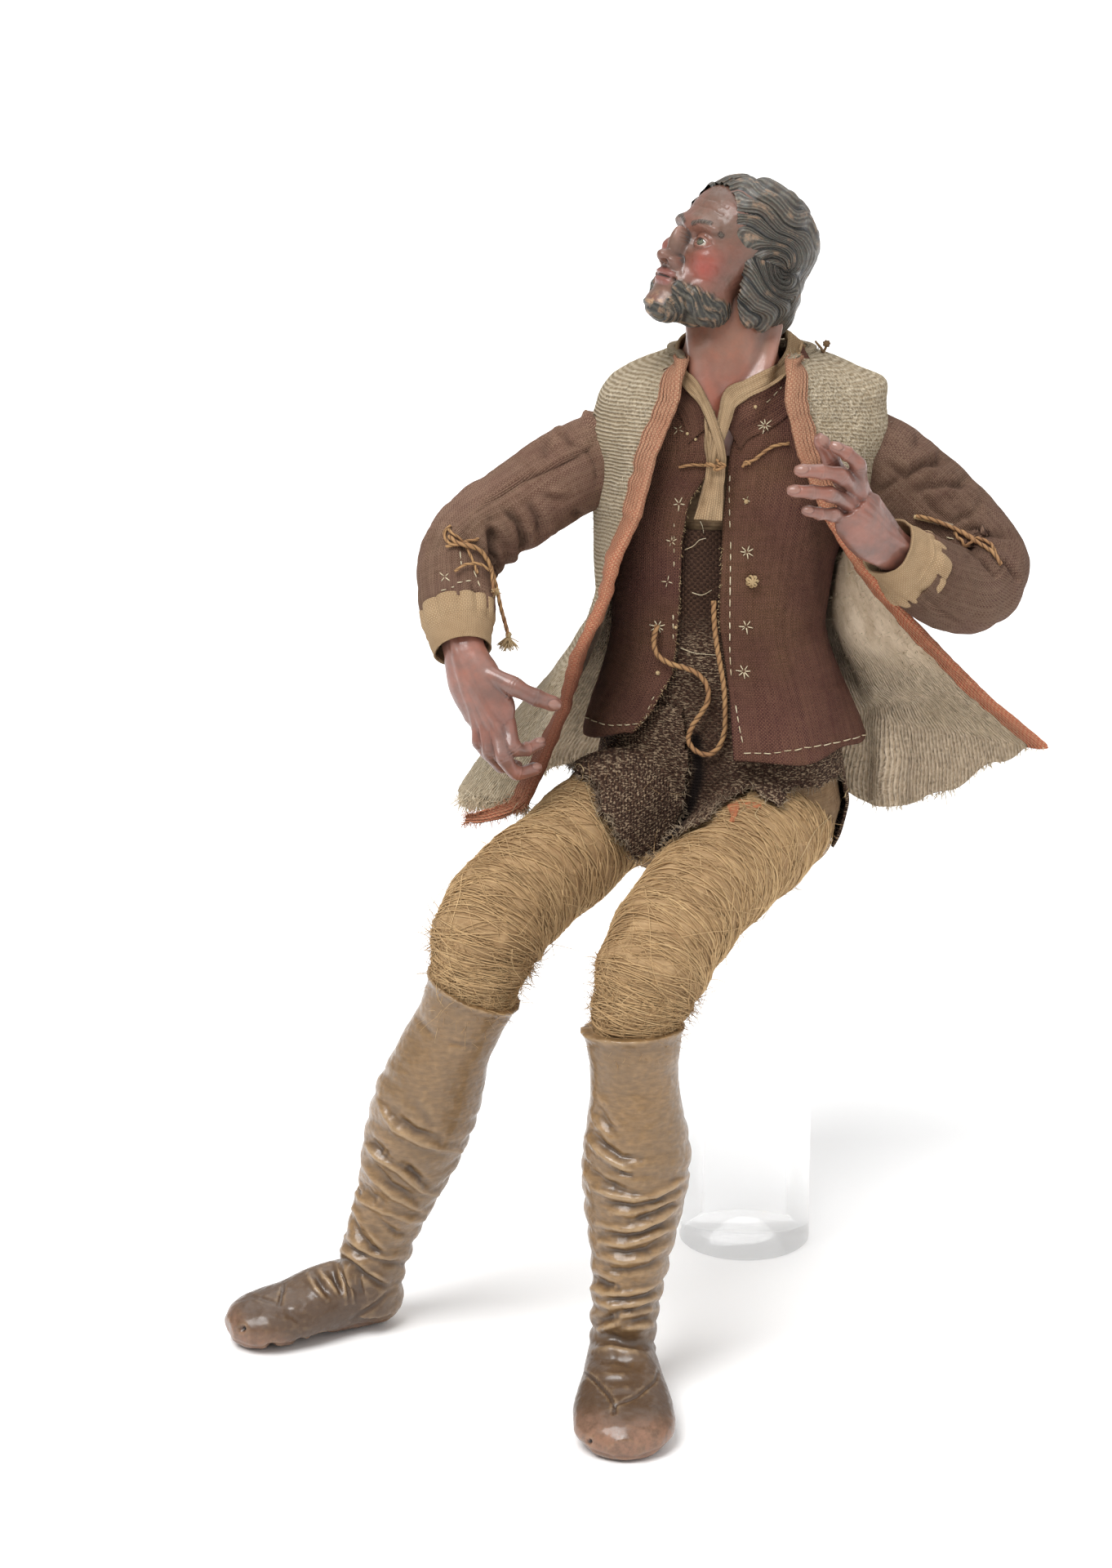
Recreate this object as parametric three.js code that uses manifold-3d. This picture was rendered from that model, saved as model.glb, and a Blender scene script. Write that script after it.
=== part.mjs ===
// A seated presepe figure: fired clay head on a bust, carved hands and booted legs, a body bound in tow,
// real cloth clothes, and the clear acrylic post that it sits on. Millimetres, +Z up, the figure faces -Y.
// The origin is the centre of the post's foot, on the floor.
import * as THREE from "three";
import { mergeVertices } from "three/addons/utils/BufferGeometryUtils.js";
import { ParametricGeometry } from "three/addons/geometries/ParametricGeometry.js";
import Module from "manifold-3d";

const wasm = await Module();
wasm.setup();

// Driving dimensions
const figureHeight = 325; // floor to crown, as seated
const postDiameter = 40;
const postChamfer = 0.8;
const clearance = 0.35; // between any two pieces that touch
const breechesThickness = 2.2;
const jacketThickness = 2;
const vestThickness = 2.4;
const shirtThickness = 1.1;
const bindingWidth = 5.5;
const bindingThickness = 3; // folded round the edge of the vest
const bootWall = 2.2; // round the socket in the top of each leg
const socketDepth = 9;
const laceDiameter = 1.6;
const sleeveLaceDiameter = 1.3;
const eyeDiameter = 6.4;

// The pose, the proportions and the carving are shares of the height: one unit is a 325th of it.
const unit = figureHeight / 325;
const at = (x, y, z) => new THREE.Vector3(x, y, z).multiplyScalar(unit);
const degrees = (angle) => (angle * Math.PI) / 180;
const mix = THREE.MathUtils.lerp;
const ease = THREE.MathUtils.smoothstep;
const bump = (x, centre, width) => Math.exp(-(((x - centre) / width) ** 2));

// Solids

function solidFrom(geometry) {
  const bare = geometry.clone();
  bare.deleteAttribute("normal");
  bare.deleteAttribute("uv");
  const merged = mergeVertices(bare, 1e-4);
  const corners = [...merged.index.array];
  const faces = [];
  for (let i = 0; i < corners.length; i += 3) {
    const [a, b, c] = corners.slice(i, i + 3);
    if (a !== b && b !== c && c !== a) faces.push(a, b, c);
  }
  const build = (list) =>
    new wasm.Manifold(
      new wasm.Mesh({
        numProp: 3,
        vertProperties: Float32Array.from(merged.attributes.position.array),
        triVerts: Uint32Array.from(list),
      }),
    );
  const made = build(faces);
  return made.volume() < 0 ? build(faces.reverse()) : made;
}

function join(solids) {
  return solids.reduce((all, one) => all.add(one));
}

// Joined solids can leave crumbs behind a cut: only the largest body is the piece.
function largest(solid) {
  return solid.decompose().reduce((a, b) => (b.volume() > a.volume() ? b : a));
}

// A closed skin over rows of rings: point(angle, along) gives each ring, and both ends close on their centres.
function skin(point, centre, sides, rings, shares) {
  const share = (row) => (shares ? shares[row] : row / rings);
  const place = (u, v, target) => {
    const row = Math.round(v * (rings + 2)) - 1;
    if (row < 0 || row > rings) {
      target.copy(centre(row < 0 ? share(0) : share(rings)));
      return;
    }
    target.copy(point((u % 1) * 2 * Math.PI, share(row)));
  };
  return solidFrom(new ParametricGeometry(place, sides, rings + 2));
}

// A limb swept through stations {at, half: [across, deep], turn}. "front" is the way that angle -90 degrees looks.
function sweep(stations, { front, sides = 14, rings = 14, grow = 0, relief = () => 0, ground = false, square = 2 }) {
  const path = new THREE.CatmullRomCurve3(stations.map((s) => s.at), false, "centripetal");
  const sizes = new THREE.CatmullRomCurve3(
    stations.map((s) => new THREE.Vector3(s.half[0] * unit, s.half[1] * unit, s.turn ?? 0)),
  );
  const frameAt = (t) => {
    const along = path.getTangent(t);
    const side = new THREE.Vector3().crossVectors(front, along).normalize();
    const forward = new THREE.Vector3().crossVectors(along, side).normalize();
    return { side, forward };
  };
  const rise = (point) => {
    if (ground) point.z = Math.max(point.z, 0);
    return point;
  };
  const centre = (t) => rise(path.getPoint(t));
  const point = (angle, t) => {
    const { side, forward } = frameAt(t);
    const size = sizes.getPoint(t);
    const turned = angle + degrees(size.z);
    const [c, s] = [Math.cos(turned), Math.sin(turned)];
    const pull = (Math.abs(c) ** square + Math.abs(s) ** square) ** (-1 / square);
    const extra = grow + relief(turned, t) * unit;
    return rise(
      path
        .getPoint(t)
        .addScaledVector(side, c * pull * (size.x + extra))
        .addScaledVector(forward, -s * pull * (size.y + extra)),
    );
  };
  return skin(point, centre, sides, rings);
}

const station = (x, y, z, across, deep = across, turn = 0) => ({ at: at(x, y, z), half: [across, deep], turn });

function ellipsoid(centre, radii, turn = new THREE.Euler(), [wide, high] = [9, 6]) {
  const ball = new THREE.SphereGeometry(1, wide, high);
  ball.rotateX(Math.PI / 2);
  ball.scale(...radii);
  ball.applyMatrix4(new THREE.Matrix4().makeRotationFromEuler(turn));
  ball.translate(centre.x, centre.y, centre.z);
  return solidFrom(ball);
}

const aheadOfClothes = -60; // a plane in front of all the clothes

// A prism over an outline in the XZ plane, that cuts the clothes from the front as far as y = back.
function frontCutter(outline, back) {
  const shape = new THREE.Shape(outline.map(([x, z]) => new THREE.Vector2(x * unit, z * unit)));
  const depth = (back - aheadOfClothes) * unit;
  const prism = new THREE.ExtrudeGeometry(shape, { depth, bevelEnabled: false });
  prism.rotateX(Math.PI / 2);
  prism.translate(0, back * unit, 0);
  return solidFrom(prism);
}

function block([x0, y0, z0], [x1, y1, z1]) {
  const box = new THREE.BoxGeometry((x1 - x0) * unit, (y1 - y0) * unit, (z1 - z0) * unit);
  box.translate(((x0 + x1) / 2) * unit, ((y0 + y1) / 2) * unit, ((z0 + z1) / 2) * unit);
  return solidFrom(box);
}

const group = new THREE.Group();
const leastDetail = 0.18; // slivers and steps under this are smoothed away

function addPiece(name, solid, { color, roughness = 0.8, metalness = 0, opacity = 1 }) {
  const mesh = largest(solid).simplify(leastDetail).getMesh();
  const geometry = new THREE.BufferGeometry();
  geometry.setAttribute("position", new THREE.BufferAttribute(Float32Array.from(mesh.vertProperties), 3));
  geometry.setIndex(new THREE.BufferAttribute(mesh.triVerts, 1));
  geometry.computeVertexNormals();
  const material = new THREE.MeshStandardMaterial({ color, roughness, metalness, opacity, transparent: opacity < 1 });
  const piece = new THREE.Mesh(geometry, material);
  piece.name = name;
  group.add(piece);
}

const finish = {
  clear: { color: 0xf4f8fa, roughness: 0.05, opacity: 0.25 },
  skin: { color: 0x8a4f40, roughness: 0.4 },
  eye: { color: 0xd9d2c0, roughness: 0.1 },
  boot: { color: 0x7d6a50, roughness: 0.5 },
  tow: { color: 0xb0905c, roughness: 0.95 },
  breeches: { color: 0x4a4038, roughness: 0.95 },
  jacket: { color: 0x523b2e, roughness: 0.95 },
  shirt: { color: 0xb89f72, roughness: 0.9 },
  vest: { color: 0xa99b80, roughness: 0.95 },
  binding: { color: 0xa8583a, roughness: 0.95 },
  lace: { color: 0xa07a46, roughness: 0.9 },
};

// The clear post

const seatHeight = 118 * unit;
const postHeight = seatHeight - clearance;

function post(grow = 0) {
  const radius = postDiameter / 2 + grow;
  const top = postHeight + grow;
  const profile = [
    [0, 0],
    [radius - postChamfer, 0],
    [radius, postChamfer],
    [radius, top - postChamfer],
    [radius - postChamfer, top],
    [0, top],
  ].map(([r, z]) => new THREE.Vector2(r, z));
  const turned = new THREE.LatheGeometry(profile, 20);
  turned.rotateX(Math.PI / 2);
  return solidFrom(turned);
}

// The trunk: each station is height, centre x and y, half width, half depth, turn, and how far its skin faces up.
const trunkStations = [
  [121, -9, 1, 27, 18, -20, 0],
  [130, -9, 1, 34, 23, -20, 0],
  [142, -9, 2, 37, 25, -20, 0],
  [158, -9, 2, 34, 24, -18, 0],
  [176, -9, 3, 30, 21, -14, 0],
  [196, -10, 4, 26.5, 20, -10, 0],
  [215, -9, 5, 28, 21, -6, 0],
  [235, -6, 6, 32, 20, -3, 0],
  [253, -4, 6, 34.5, 17, 0, 0.15],
  [262, -4, 6, 32.5, 14, 0, 0.6],
  [266.5, -4, 6, 25, 11, 0, 0.9],
  [268, -4, 6, 15, 8, 0, 1],
];
const trunkSquareness = 2.3;
const trunkTop = 268;
const trunkSides = 14;

// The section of the trunk at a height: centre, half sizes, turn and rise, all in units.
function trunkAt(height) {
  const last = trunkStations.length - 1;
  let i = 0;
  while (i < last - 1 && trunkStations[i + 1][0] < height) i += 1;
  const [low, high] = [trunkStations[i], trunkStations[i + 1]];
  const share = THREE.MathUtils.clamp((height - low[0]) / (high[0] - low[0]), 0, 1);
  return low.map((value, k) => mix(value, high[k], share));
}

// A point on the trunk's skin, "out" from it. Angle -90 degrees is the front, 0 is the figure's left.
function trunkPoint(angle, height, out) {
  const [, x, y, wide, deep, turn, rise] = trunkAt(height);
  const flat = Math.sqrt(1 - rise * rise);
  const [c, s] = [Math.cos(angle), Math.sin(angle)];
  const pull = (Math.abs(c) ** trunkSquareness + Math.abs(s) ** trunkSquareness) ** (-1 / trunkSquareness);
  const local = new THREE.Vector3(c * pull * (wide * unit + out * flat), s * pull * (deep * unit + out * flat), 0);
  local.applyAxisAngle(new THREE.Vector3(0, 0, 1), degrees(turn));
  return local.add(at(x, y, height)).add(new THREE.Vector3(0, 0, out * rise));
}

function trunk(grow, low, high, flare = () => 0) {
  const inside = trunkStations.map(([z]) => z).filter((z) => z > low + 1 && z < high - 1);
  const heights = [low, ...inside, high];
  const centre = (row) => {
    const [height, x, y, , , , rise] = trunkAt(heights[row]);
    return at(x, y, height).add(new THREE.Vector3(0, 0, grow * rise));
  };
  const point = (angle, row) => trunkPoint(angle, heights[row], grow + flare(angle, heights[row]) * unit);
  const rows = heights.map((_, row) => row);
  return skin(point, centre, trunkSides, rows.length - 1, rows);
}

// Thighs, bound in tow: from the hip to the socket in the boot.
const thighs = {
  right: [
    station(-26, 4, 139, 15, 15),
    station(-41, -18, 142, 16.4, 15.6),
    station(-57.6, -48, 138, 16, 15.6),
    station(-71.5, -72, 133.5, 15.8, 15.8),
    station(-77.5, -82, 127, 15.2, 15.2),
    station(-80, -84, 118, 13, 13),
    station(-82.5, -84, 105, 9.8, 9.8),
  ],
  left: [
    station(10, -6, 137, 15, 15),
    station(0, -30, 136.5, 16.4, 15.6),
    station(-13, -60, 136, 16, 15.6),
    station(-24.5, -88, 132.5, 15.6, 15.4),
    station(-31.5, -103, 124.5, 14.8, 14.8),
    station(-35, -107, 115, 12.6, 12.6),
    station(-36.5, -108, 104, 9.8, 9.8),
  ],
};
const thighFronts = { right: new THREE.Vector3(-0.5, -0.1, 1), left: new THREE.Vector3(-0.4, -0.1, 1) };

function thigh(side, grow = 0) {
  const bound = (angle, t) => 0.35 * Math.sin(t * 40 + 2 * Math.sin(angle));
  return sweep(thighs[side], { front: thighFronts[side], sides: 9, rings: 9, grow, relief: grow ? () => 0.4 : bound });
}

// Neck and bust: the lower part is out of sight under the clothes.
const neckStations = [
  station(-6, 7, 300, 12, 12),
  station(-6.5, 5, 289, 12.6, 13),
  station(-7, 3, 279, 13.4, 13.6),
  station(-7.5, 1, 270, 15.5, 14),
  station(-7, -1, 261, 19, 13),
  station(-6, -1, 250, 18, 12),
];

function neck(grow = 0) {
  return sweep(neckStations, { front: new THREE.Vector3(0, -1, 0), sides: 11, rings: 5, grow });
}

// The head, in its own axes: x to the figure's left, y back from the face, z up, about the middle of the skull.
const head = {
  centre: at(-8, 3, 304.5),
  turn: 57, // to the figure's right
  tip: 30, // face up
  height: 47.5,
};
const headMatrix = new THREE.Matrix4()
  .makeTranslation(head.centre.x, head.centre.y, head.centre.z)
  .multiply(new THREE.Matrix4().makeRotationZ(degrees(-head.turn)))
  .multiply(new THREE.Matrix4().makeRotationX(degrees(-head.tip)));
const share = (head.height * unit) / 100; // the head's own measure: a hundredth of chin to crown

// Clay lumps of the head: centre, radii, and how softly each runs into the rest, in hundredths of its height.
const clay = [
  { name: "cranium", at: [0, 6, 15], size: [35, 41, 35], soft: 1 },
  { name: "face", at: [0, -12, -12], size: [26, 24, 34], soft: 9 },
  { name: "jaw", at: [0, -15, -33], size: [20, 20, 14], soft: 9 },
  { name: "chin", at: [0, -31, -42], size: [9, 8, 7.5], soft: 8 },
  { name: "brow", at: [0, -32, 8], size: [22, 6, 5], soft: 7 },
  { name: "nose", at: [0, -39.5, -8.5], size: [4.2, 6, 11], soft: 4, lean: -16 },
  { name: "noseTip", at: [0, -44.5, -16.5], size: [4.6, 5, 4], soft: 2.5 },
  { name: "leftWing", at: [4.8, -39.5, -17.5], size: [3.4, 4.6, 3.2], soft: 2 },
  { name: "rightWing", at: [-4.8, -39.5, -17.5], size: [3.4, 4.6, 3.2], soft: 2 },
  { name: "leftCheek", at: [17, -26, -9], size: [9, 9, 7], soft: 8 },
  { name: "rightCheek", at: [-17, -26, -9], size: [9, 9, 7], soft: 8 },
  { name: "mouth", at: [0, -31, -26], size: [13, 8, 9], soft: 7 },
  { name: "upperLip", at: [0, -38.5, -24.6], size: [8.5, 3.2, 2.2], soft: 1.6 },
  { name: "lowerLip", at: [0, -37.6, -28.4], size: [7.5, 3.4, 2.6], soft: 1.6 },
];
const hairLumps = [
  { name: "crownHair", at: [0, 9, 19], size: [38, 43, 34], soft: 2 },
  { name: "leftHair", at: [30, 14, -6], size: [11, 21, 29], soft: 6 },
  { name: "rightHair", at: [-30, 14, -6], size: [11, 21, 29], soft: 6 },
  { name: "napeHair", at: [0, 36, -14], size: [30, 15, 30], soft: 8 },
];
const beardLumps = [
  { name: "leftBeard", at: [19, -13, -33], size: [7.5, 17, 13], soft: 4 },
  { name: "rightBeard", at: [-19, -13, -33], size: [7.5, 17, 13], soft: 4 },
  { name: "chinBeard", at: [0, -29, -45], size: [13, 11.5, 8.5], soft: 5 },
];

// How far a point lies outside a lump of clay, near enough for short steps.
function outside(p, lump) {
  let [x, y, z] = [p.x - lump.at[0], p.y - lump.at[1], p.z - lump.at[2]];
  if (lump.lean) {
    const a = degrees(lump.lean);
    [y, z] = [y * Math.cos(a) - z * Math.sin(a), y * Math.sin(a) + z * Math.cos(a)];
  }
  const [a, b, c] = lump.size;
  const reach = Math.hypot(x / a, y / b, z / c);
  const slope = Math.hypot(x / (a * a), y / (b * b), z / (c * c));
  return slope > 1e-9 ? (reach * (reach - 1)) / slope : -Math.min(a, b, c);
}

function blend(a, b, soft) {
  const h = THREE.MathUtils.clamp(0.5 + (0.5 * (b - a)) / soft, 0, 1);
  return mix(b, a, h) - soft * h * (1 - h);
}

const eyeCentre = [12.2, -27.5, -1.5]; // of the left eye

function headField(p) {
  let d = Infinity;
  for (const lump of clay) d = d === Infinity ? outside(p, lump) : blend(d, outside(p, lump), lump.soft);
  for (const side of [-1, 1]) {
    const socket = outside(p, { at: [side * 12.5, -38, -1], size: [8.5, 8, 5.5] });
    d = -blend(-d, socket, 4);
  }
  const combed = 0.9 * Math.sin(p.z * 0.42 + p.y * 0.3 + 1.8 * Math.sin(p.y * 0.13 + p.x * 0.1));
  let hair = Infinity;
  for (const lump of hairLumps) {
    hair = hair === Infinity ? outside(p, lump) : blend(hair, outside(p, lump), lump.soft);
  }
  const front = outside(p, { at: [0, -40, 4], size: [29, 31, 34] });
  hair = Math.max(hair + combed, -front);
  d = blend(d, hair, 1.5);
  for (const lump of beardLumps) d = blend(d, outside(p, lump) + 0.5 * combed, lump.soft);
  return d;
}

// The head is star-shaped about its middle: each ray meets its skin once.
function headSkin(direction) {
  let far = 75;
  const p = new THREE.Vector3();
  for (let i = 0; i < 60; i += 1) {
    p.copy(direction).multiplyScalar(far);
    if (headField(p) < 0) break;
    far -= 1;
  }
  let near = far;
  far += 1;
  for (let i = 0; i < 8; i += 1) {
    const middle = (near + far) / 2;
    p.copy(direction).multiplyScalar(middle);
    if (headField(p) < 0) near = middle;
    else far = middle;
  }
  return near;
}

function headSolid(grow = 0) {
  const ball = new THREE.SphereGeometry(1, 27, 19);
  ball.rotateX(Math.PI / 2);
  const place = ball.attributes.position;
  const v = new THREE.Vector3();
  for (let i = 0; i < place.count; i += 1) {
    v.fromBufferAttribute(place, i);
    v.y -= 0.45; // rays crowd on the face
    v.normalize();
    v.multiplyScalar(headSkin(v) * share + grow).applyMatrix4(headMatrix);
    place.setXYZ(i, v.x, v.y, v.z);
  }
  return solidFrom(ball);
}

function eyeball(side, grow = 0) {
  const centre = new THREE.Vector3(side * eyeCentre[0], eyeCentre[1], eyeCentre[2]);
  centre.multiplyScalar(share).applyMatrix4(headMatrix);
  const radius = eyeDiameter / 2 + grow;
  return ellipsoid(centre, [radius, radius, radius]);
}

// Hands: joints from knuckle to tip, each finger a chain of short limbs.
const hands = {
  right: {
    palm: [
      station(-85.2, -35, 206, 6, 5),
      station(-84.2, -40, 199.5, 6.2, 5),
      station(-81, -44, 191, 8.4, 4.8),
      station(-77, -47, 183.5, 9, 4.2),
      station(-74.5, -48.5, 179, 8, 3.6),
    ],
    front: new THREE.Vector3(-0.25, -1, -0.25),
    fingers: [
      { radius: 2.6, joints: [[-79, -45, 195], [-70, -50, 191.5], [-63.5, -51, 188.5], [-58.6, -50.5, 186.5]] },
      { radius: 2.1, joints: [[-72, -49, 181.5], [-69.5, -53, 174], [-66, -50.5, 173], [-62.6, -48, 174]] },
      { radius: 2.2, joints: [[-75, -49.5, 181], [-72.6, -54, 171.5], [-69, -52.5, 166.5], [-63.8, -49.5, 166.8]] },
      { radius: 2.1, joints: [[-78, -48.5, 181], [-76.5, -51.5, 172], [-73.5, -49, 167.5], [-69.4, -46, 166.5]] },
      { radius: 1.9, joints: [[-80.6, -46.5, 181.5], [-79.6, -48, 174], [-77.4, -45.5, 170], [-74, -43, 169]] },
    ],
  },
  left: {
    palm: [
      station(43, -39.5, 224.5, 6, 5),
      station(37, -45, 230.5, 6.2, 5),
      station(31, -50.5, 237, 8, 4.8),
      station(27, -55, 243, 8.8, 4.2),
      station(25, -57, 246.5, 7.8, 3.6),
    ],
    front: new THREE.Vector3(0.5, -1, 0.15),
    fingers: [
      { radius: 2.6, joints: [[29.5, -51, 243], [22, -55, 254], [18.6, -57, 260], [16, -58, 265]] },
      { radius: 2.1, joints: [[27.6, -55, 251], [26, -61, 259], [22.8, -63, 262.8], [19.8, -63, 264.6]] },
      { radius: 2.2, joints: [[26.4, -56, 250], [21, -63, 256.5], [15.4, -66, 258.4], [10, -67, 259]] },
      { radius: 2.1, joints: [[24.5, -57, 246.5], [18, -63.5, 251.4], [13, -66, 252.6], [8, -67, 253.2]] },
      { radius: 1.9, joints: [[22.8, -56, 242.5], [19, -61.5, 245], [15.4, -64, 246], [12, -65, 247]] },
    ],
  },
};

function finger({ joints, radius }) {
  const [root, first, second, tip] = joints.map((joint) => at(...joint));
  const end = tip.clone().addScaledVector(tip.clone().sub(second).normalize(), radius * 0.9 * unit);
  const sizes = [1.1, 1.08, 0.98, 0.84, 0.4];
  const stations = [root, first, second, tip, end].map((place, i) => ({
    at: place,
    half: [radius * sizes[i], radius * sizes[i]],
    turn: 0,
  }));
  return sweep(stations, { front: new THREE.Vector3(0.3, 0.2, 1), sides: 6, rings: 4 });
}

function hand(side) {
  const { palm, front, fingers } = hands[side];
  return join([sweep(palm, { front, sides: 8, rings: 4 }), ...fingers.map(finger)]);
}

// Sleeves: the tow arm inside is taken as one with its sleeve.
const sleeves = {
  right: [
    station(-22, 8, 245, 11.5, 11.5),
    station(-39, 7.5, 245.5, 13.5, 14),
    station(-53, 5, 240.8, 13.2, 13.6),
    station(-67, -1, 233, 12.8, 13.2),
    station(-80, -8, 226, 12.4, 12.6),
    station(-86, -16, 219.5, 11.8, 12),
    station(-86.8, -24.5, 213, 11, 11),
    station(-86.2, -30.5, 207.5, 10.6, 10.6),
  ],
  left: [
    station(18, 8, 246, 11.5, 11.5),
    station(35, 6.5, 244.5, 13.5, 14),
    station(48, 2, 234.5, 14, 14),
    station(59, -3, 224.5, 14.2, 14.4),
    station(66, -10.5, 216, 14, 14.2),
    station(61, -22, 212.5, 13, 13),
    station(52, -31.5, 217, 12.2, 12.2),
    station(43.6, -38, 223.6, 11.2, 11.2),
  ],
};
const sleeveFronts = { right: new THREE.Vector3(-0.3, -1, 0.6), left: new THREE.Vector3(0.35, -0.8, 0.8) };

function sleeve(side, grow = 0) {
  const creases = (angle, t) => {
    const elbow = bump(t, 0.62, 0.2);
    return elbow * 1.1 * Math.sin(t * 46 + 1.5 * Math.cos(angle)) * (0.5 + 0.5 * Math.sin(angle));
  };
  return sweep(sleeves[side], {
    front: sleeveFronts[side],
    sides: 9,
    rings: 9,
    grow,
    relief: grow ? () => 0.8 : creases,
  });
}

const cuffs = {
  right: [station(-86.4, -30, 208.6, 9.8), station(-85.6, -36, 202.6, 9.5), station(-85, -40, 198.6, 9.2)],
  left: [station(45.5, -36.6, 222, 10.2), station(40.5, -40.8, 226.4, 9.8), station(35.6, -45, 231.4, 9.2)],
};

function cuff(side, grow = 0) {
  const front = hands[side].front;
  const sized = (change) =>
    cuffs[side].map(({ at: place, half, turn }) => ({ at: place, half: half.map((h) => h + change / unit), turn }));
  return sweep(sized(grow), { front, sides: 9, rings: 2 });
}

function wrist(side, grow) {
  const { palm, front } = hands[side];
  return sweep(palm, { front, sides: 8, rings: 4, grow });
}

// Legs: a carved stocking in loose folds, and a soft shoe, in one piece of wood.
const legs = {
  left: {
    shaft: [
      station(-36.5, -108, 110, 13.4, 13.4),
      station(-36.2, -108.5, 104, 13, 13),
      station(-36, -109, 95, 12, 12.2),
      station(-35.5, -109, 83, 13.8, 14.2),
      station(-35.3, -109, 71, 15, 15.8),
      station(-36, -109.5, 58, 13.8, 14.6),
      station(-37, -110.5, 42, 11, 12),
      station(-38.2, -111.5, 28, 9.4, 10.6),
      station(-39, -112, 16, 9, 10.4),
      station(-39.4, -112, 6, 9, 10.4),
    ],
    foot: [
      station(-39.4, -99, 8, 4, 4),
      station(-39.4, -102.5, 8.6, 8.4, 8.4),
      station(-39.4, -113, 11, 9.8, 11),
      station(-39.2, -124, 10, 11.4, 10.4),
      station(-39, -136, 7.6, 13.9, 8.6),
      station(-38.9, -147, 6, 14, 7.4),
      station(-38.9, -154, 5, 10.5, 5.6),
      station(-38.9, -157.5, 4.6, 4.5, 3.2),
    ],
  },
  right: {
    shaft: [
      station(-81, -84, 113, 13, 13),
      station(-83, -83.6, 108, 12.6, 12.6),
      station(-87, -82, 98.5, 12.2, 12.2),
      station(-91, -80, 88, 13.4, 14),
      station(-95.2, -77.8, 75, 14.6, 15.4),
      station(-99.2, -75, 61.5, 13.6, 14.6),
      station(-103.4, -72, 47, 11.2, 12),
      station(-108, -69, 33, 9.4, 10.4),
      station(-111.8, -67, 20, 9, 10.2),
      station(-114, -66, 7, 8.8, 10),
    ],
    foot: [
      station(-104.4, -60.6, 7, 4, 4),
      station(-107.6, -62, 8, 7.8, 8),
      station(-116, -65.6, 10.4, 9, 10.6),
      station(-125, -69.4, 10.2, 10.4, 10.2),
      station(-135, -73.6, 8, 12.2, 8.4),
      station(-144, -77.2, 6.8, 12.4, 7.6),
      station(-150, -79.8, 6.2, 9, 6),
      station(-153, -81, 5.8, 4, 3.4),
    ],
  },
};
const stockingFolds = 6.5;

// Loose folds of the stocking, deeper towards the ankle and slanting round the leg.
function stockingFold(side) {
  const slant = side === "right" ? 1 : -1;
  return (angle, t) => {
    const loose = ease(t, 0.3, 0.62) * (1 - ease(t, 0.93, 1));
    const phase = t * stockingFolds * 2 * Math.PI + slant * 1.6 * Math.cos(angle) + 0.9 * Math.sin(2 * angle);
    return loose * 0.75 * Math.sin(phase);
  };
}

function leg(side) {
  const { shaft, foot } = legs[side];
  const front = new THREE.Vector3(side === "right" ? -0.8 : 0, -0.6, 0).normalize();
  const stocking = sweep(shaft, { front, sides: 9, rings: 15, relief: stockingFold(side), ground: true });
  const shoe = sweep(foot, { front: new THREE.Vector3(0, 0, 1), sides: 9, rings: 7, ground: true });
  const rim = shaft[0].at;
  const down = shaft[1].at.clone().sub(rim).normalize();
  const inner = shaft[0].half[0] - bootWall / unit;
  const ring = (depth, radius) => ({ at: rim.clone().addScaledVector(down, depth), half: [radius, radius], turn: 0 });
  const socket = sweep([ring(-2, inner + 0.4), ring(socketDepth * 0.5, inner), ring(socketDepth, inner - 1)], {
    front,
    sides: 9,
    rings: 2,
  });
  return stocking.add(shoe).subtract(socket);
}

// Clothes

// How far back the openings at the front are cut, as y: short of the body's middle, so that the backs stay whole.
const openings = { jacket: -6, breeches: -8, collar: -2 };

const breechesOut = clearance + breechesThickness;
const jacketIn = breechesOut + clearance;
const jacketOut = jacketIn + jacketThickness;
const vestIn = jacketOut + clearance;

function towBody() {
  const bound = [trunk(0, 121, trunkTop), thigh("right"), thigh("left")];
  return join(bound).subtract(post(clearance)).subtract(neck(clearance));
}

// What shows between the jacket's fronts, as [x, z].
const frontGap = [
  [-14.6, 268],
  [-3.4, 268],
  [-8, 250],
  [-9.8, 232],
  [-10.6, 202],
  [-7.3, 181],
  [-6, 150],
  [-37, 150],
  [-34, 166],
  [-28, 175],
  [-24, 186],
  [-22.3, 206],
  [-21.6, 226],
  [-19.6, 237],
  [-14.4, 244],
  [-12, 251],
];
const jacketHem = 162.5;

// How far the jacket's skirt stands off the body.
const jacketFlare = (angle, height) => 4.2 * (1 - ease(height, 160, 192)) * (1 + 0.25 * Math.sin(angle * 5));

function jacketShell(grow = 0) {
  return trunk(jacketOut + grow, jacketHem, trunkTop, jacketFlare);
}

function jacket() {
  const cloth = join([jacketShell(), sleeve("right"), sleeve("left")]);
  return cloth
    .subtract(trunk(jacketIn, 140, 246))
    .subtract(trunk(clearance, 236, trunkTop))
    .subtract(collar(clearance))
    .subtract(neck(clearance))
    .subtract(frontCutter(frontGap, openings.jacket))
    .subtract(cuff("right", clearance))
    .subtract(cuff("left", clearance))
    .subtract(wrist("right", clearance))
    .subtract(wrist("left", clearance));
}

// The torn front of the breeches: a round flap over the right thigh, and a ragged edge over the left one.
const tornFront = [
  [-72, 232],
  [60, 232],
  [60, 153],
  [33, 153],
  [27, 148],
  [20, 153],
  [10, 150],
  [2, 156],
  [-7, 152],
  [-15, 146],
  [-24, 140],
  [-32, 134.5],
  [-38, 134],
  [-45, 140],
  [-52, 148],
  [-57, 158],
  [-72, 162],
];
const breechesWaist = 229;
const seatLine = 127;

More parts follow.
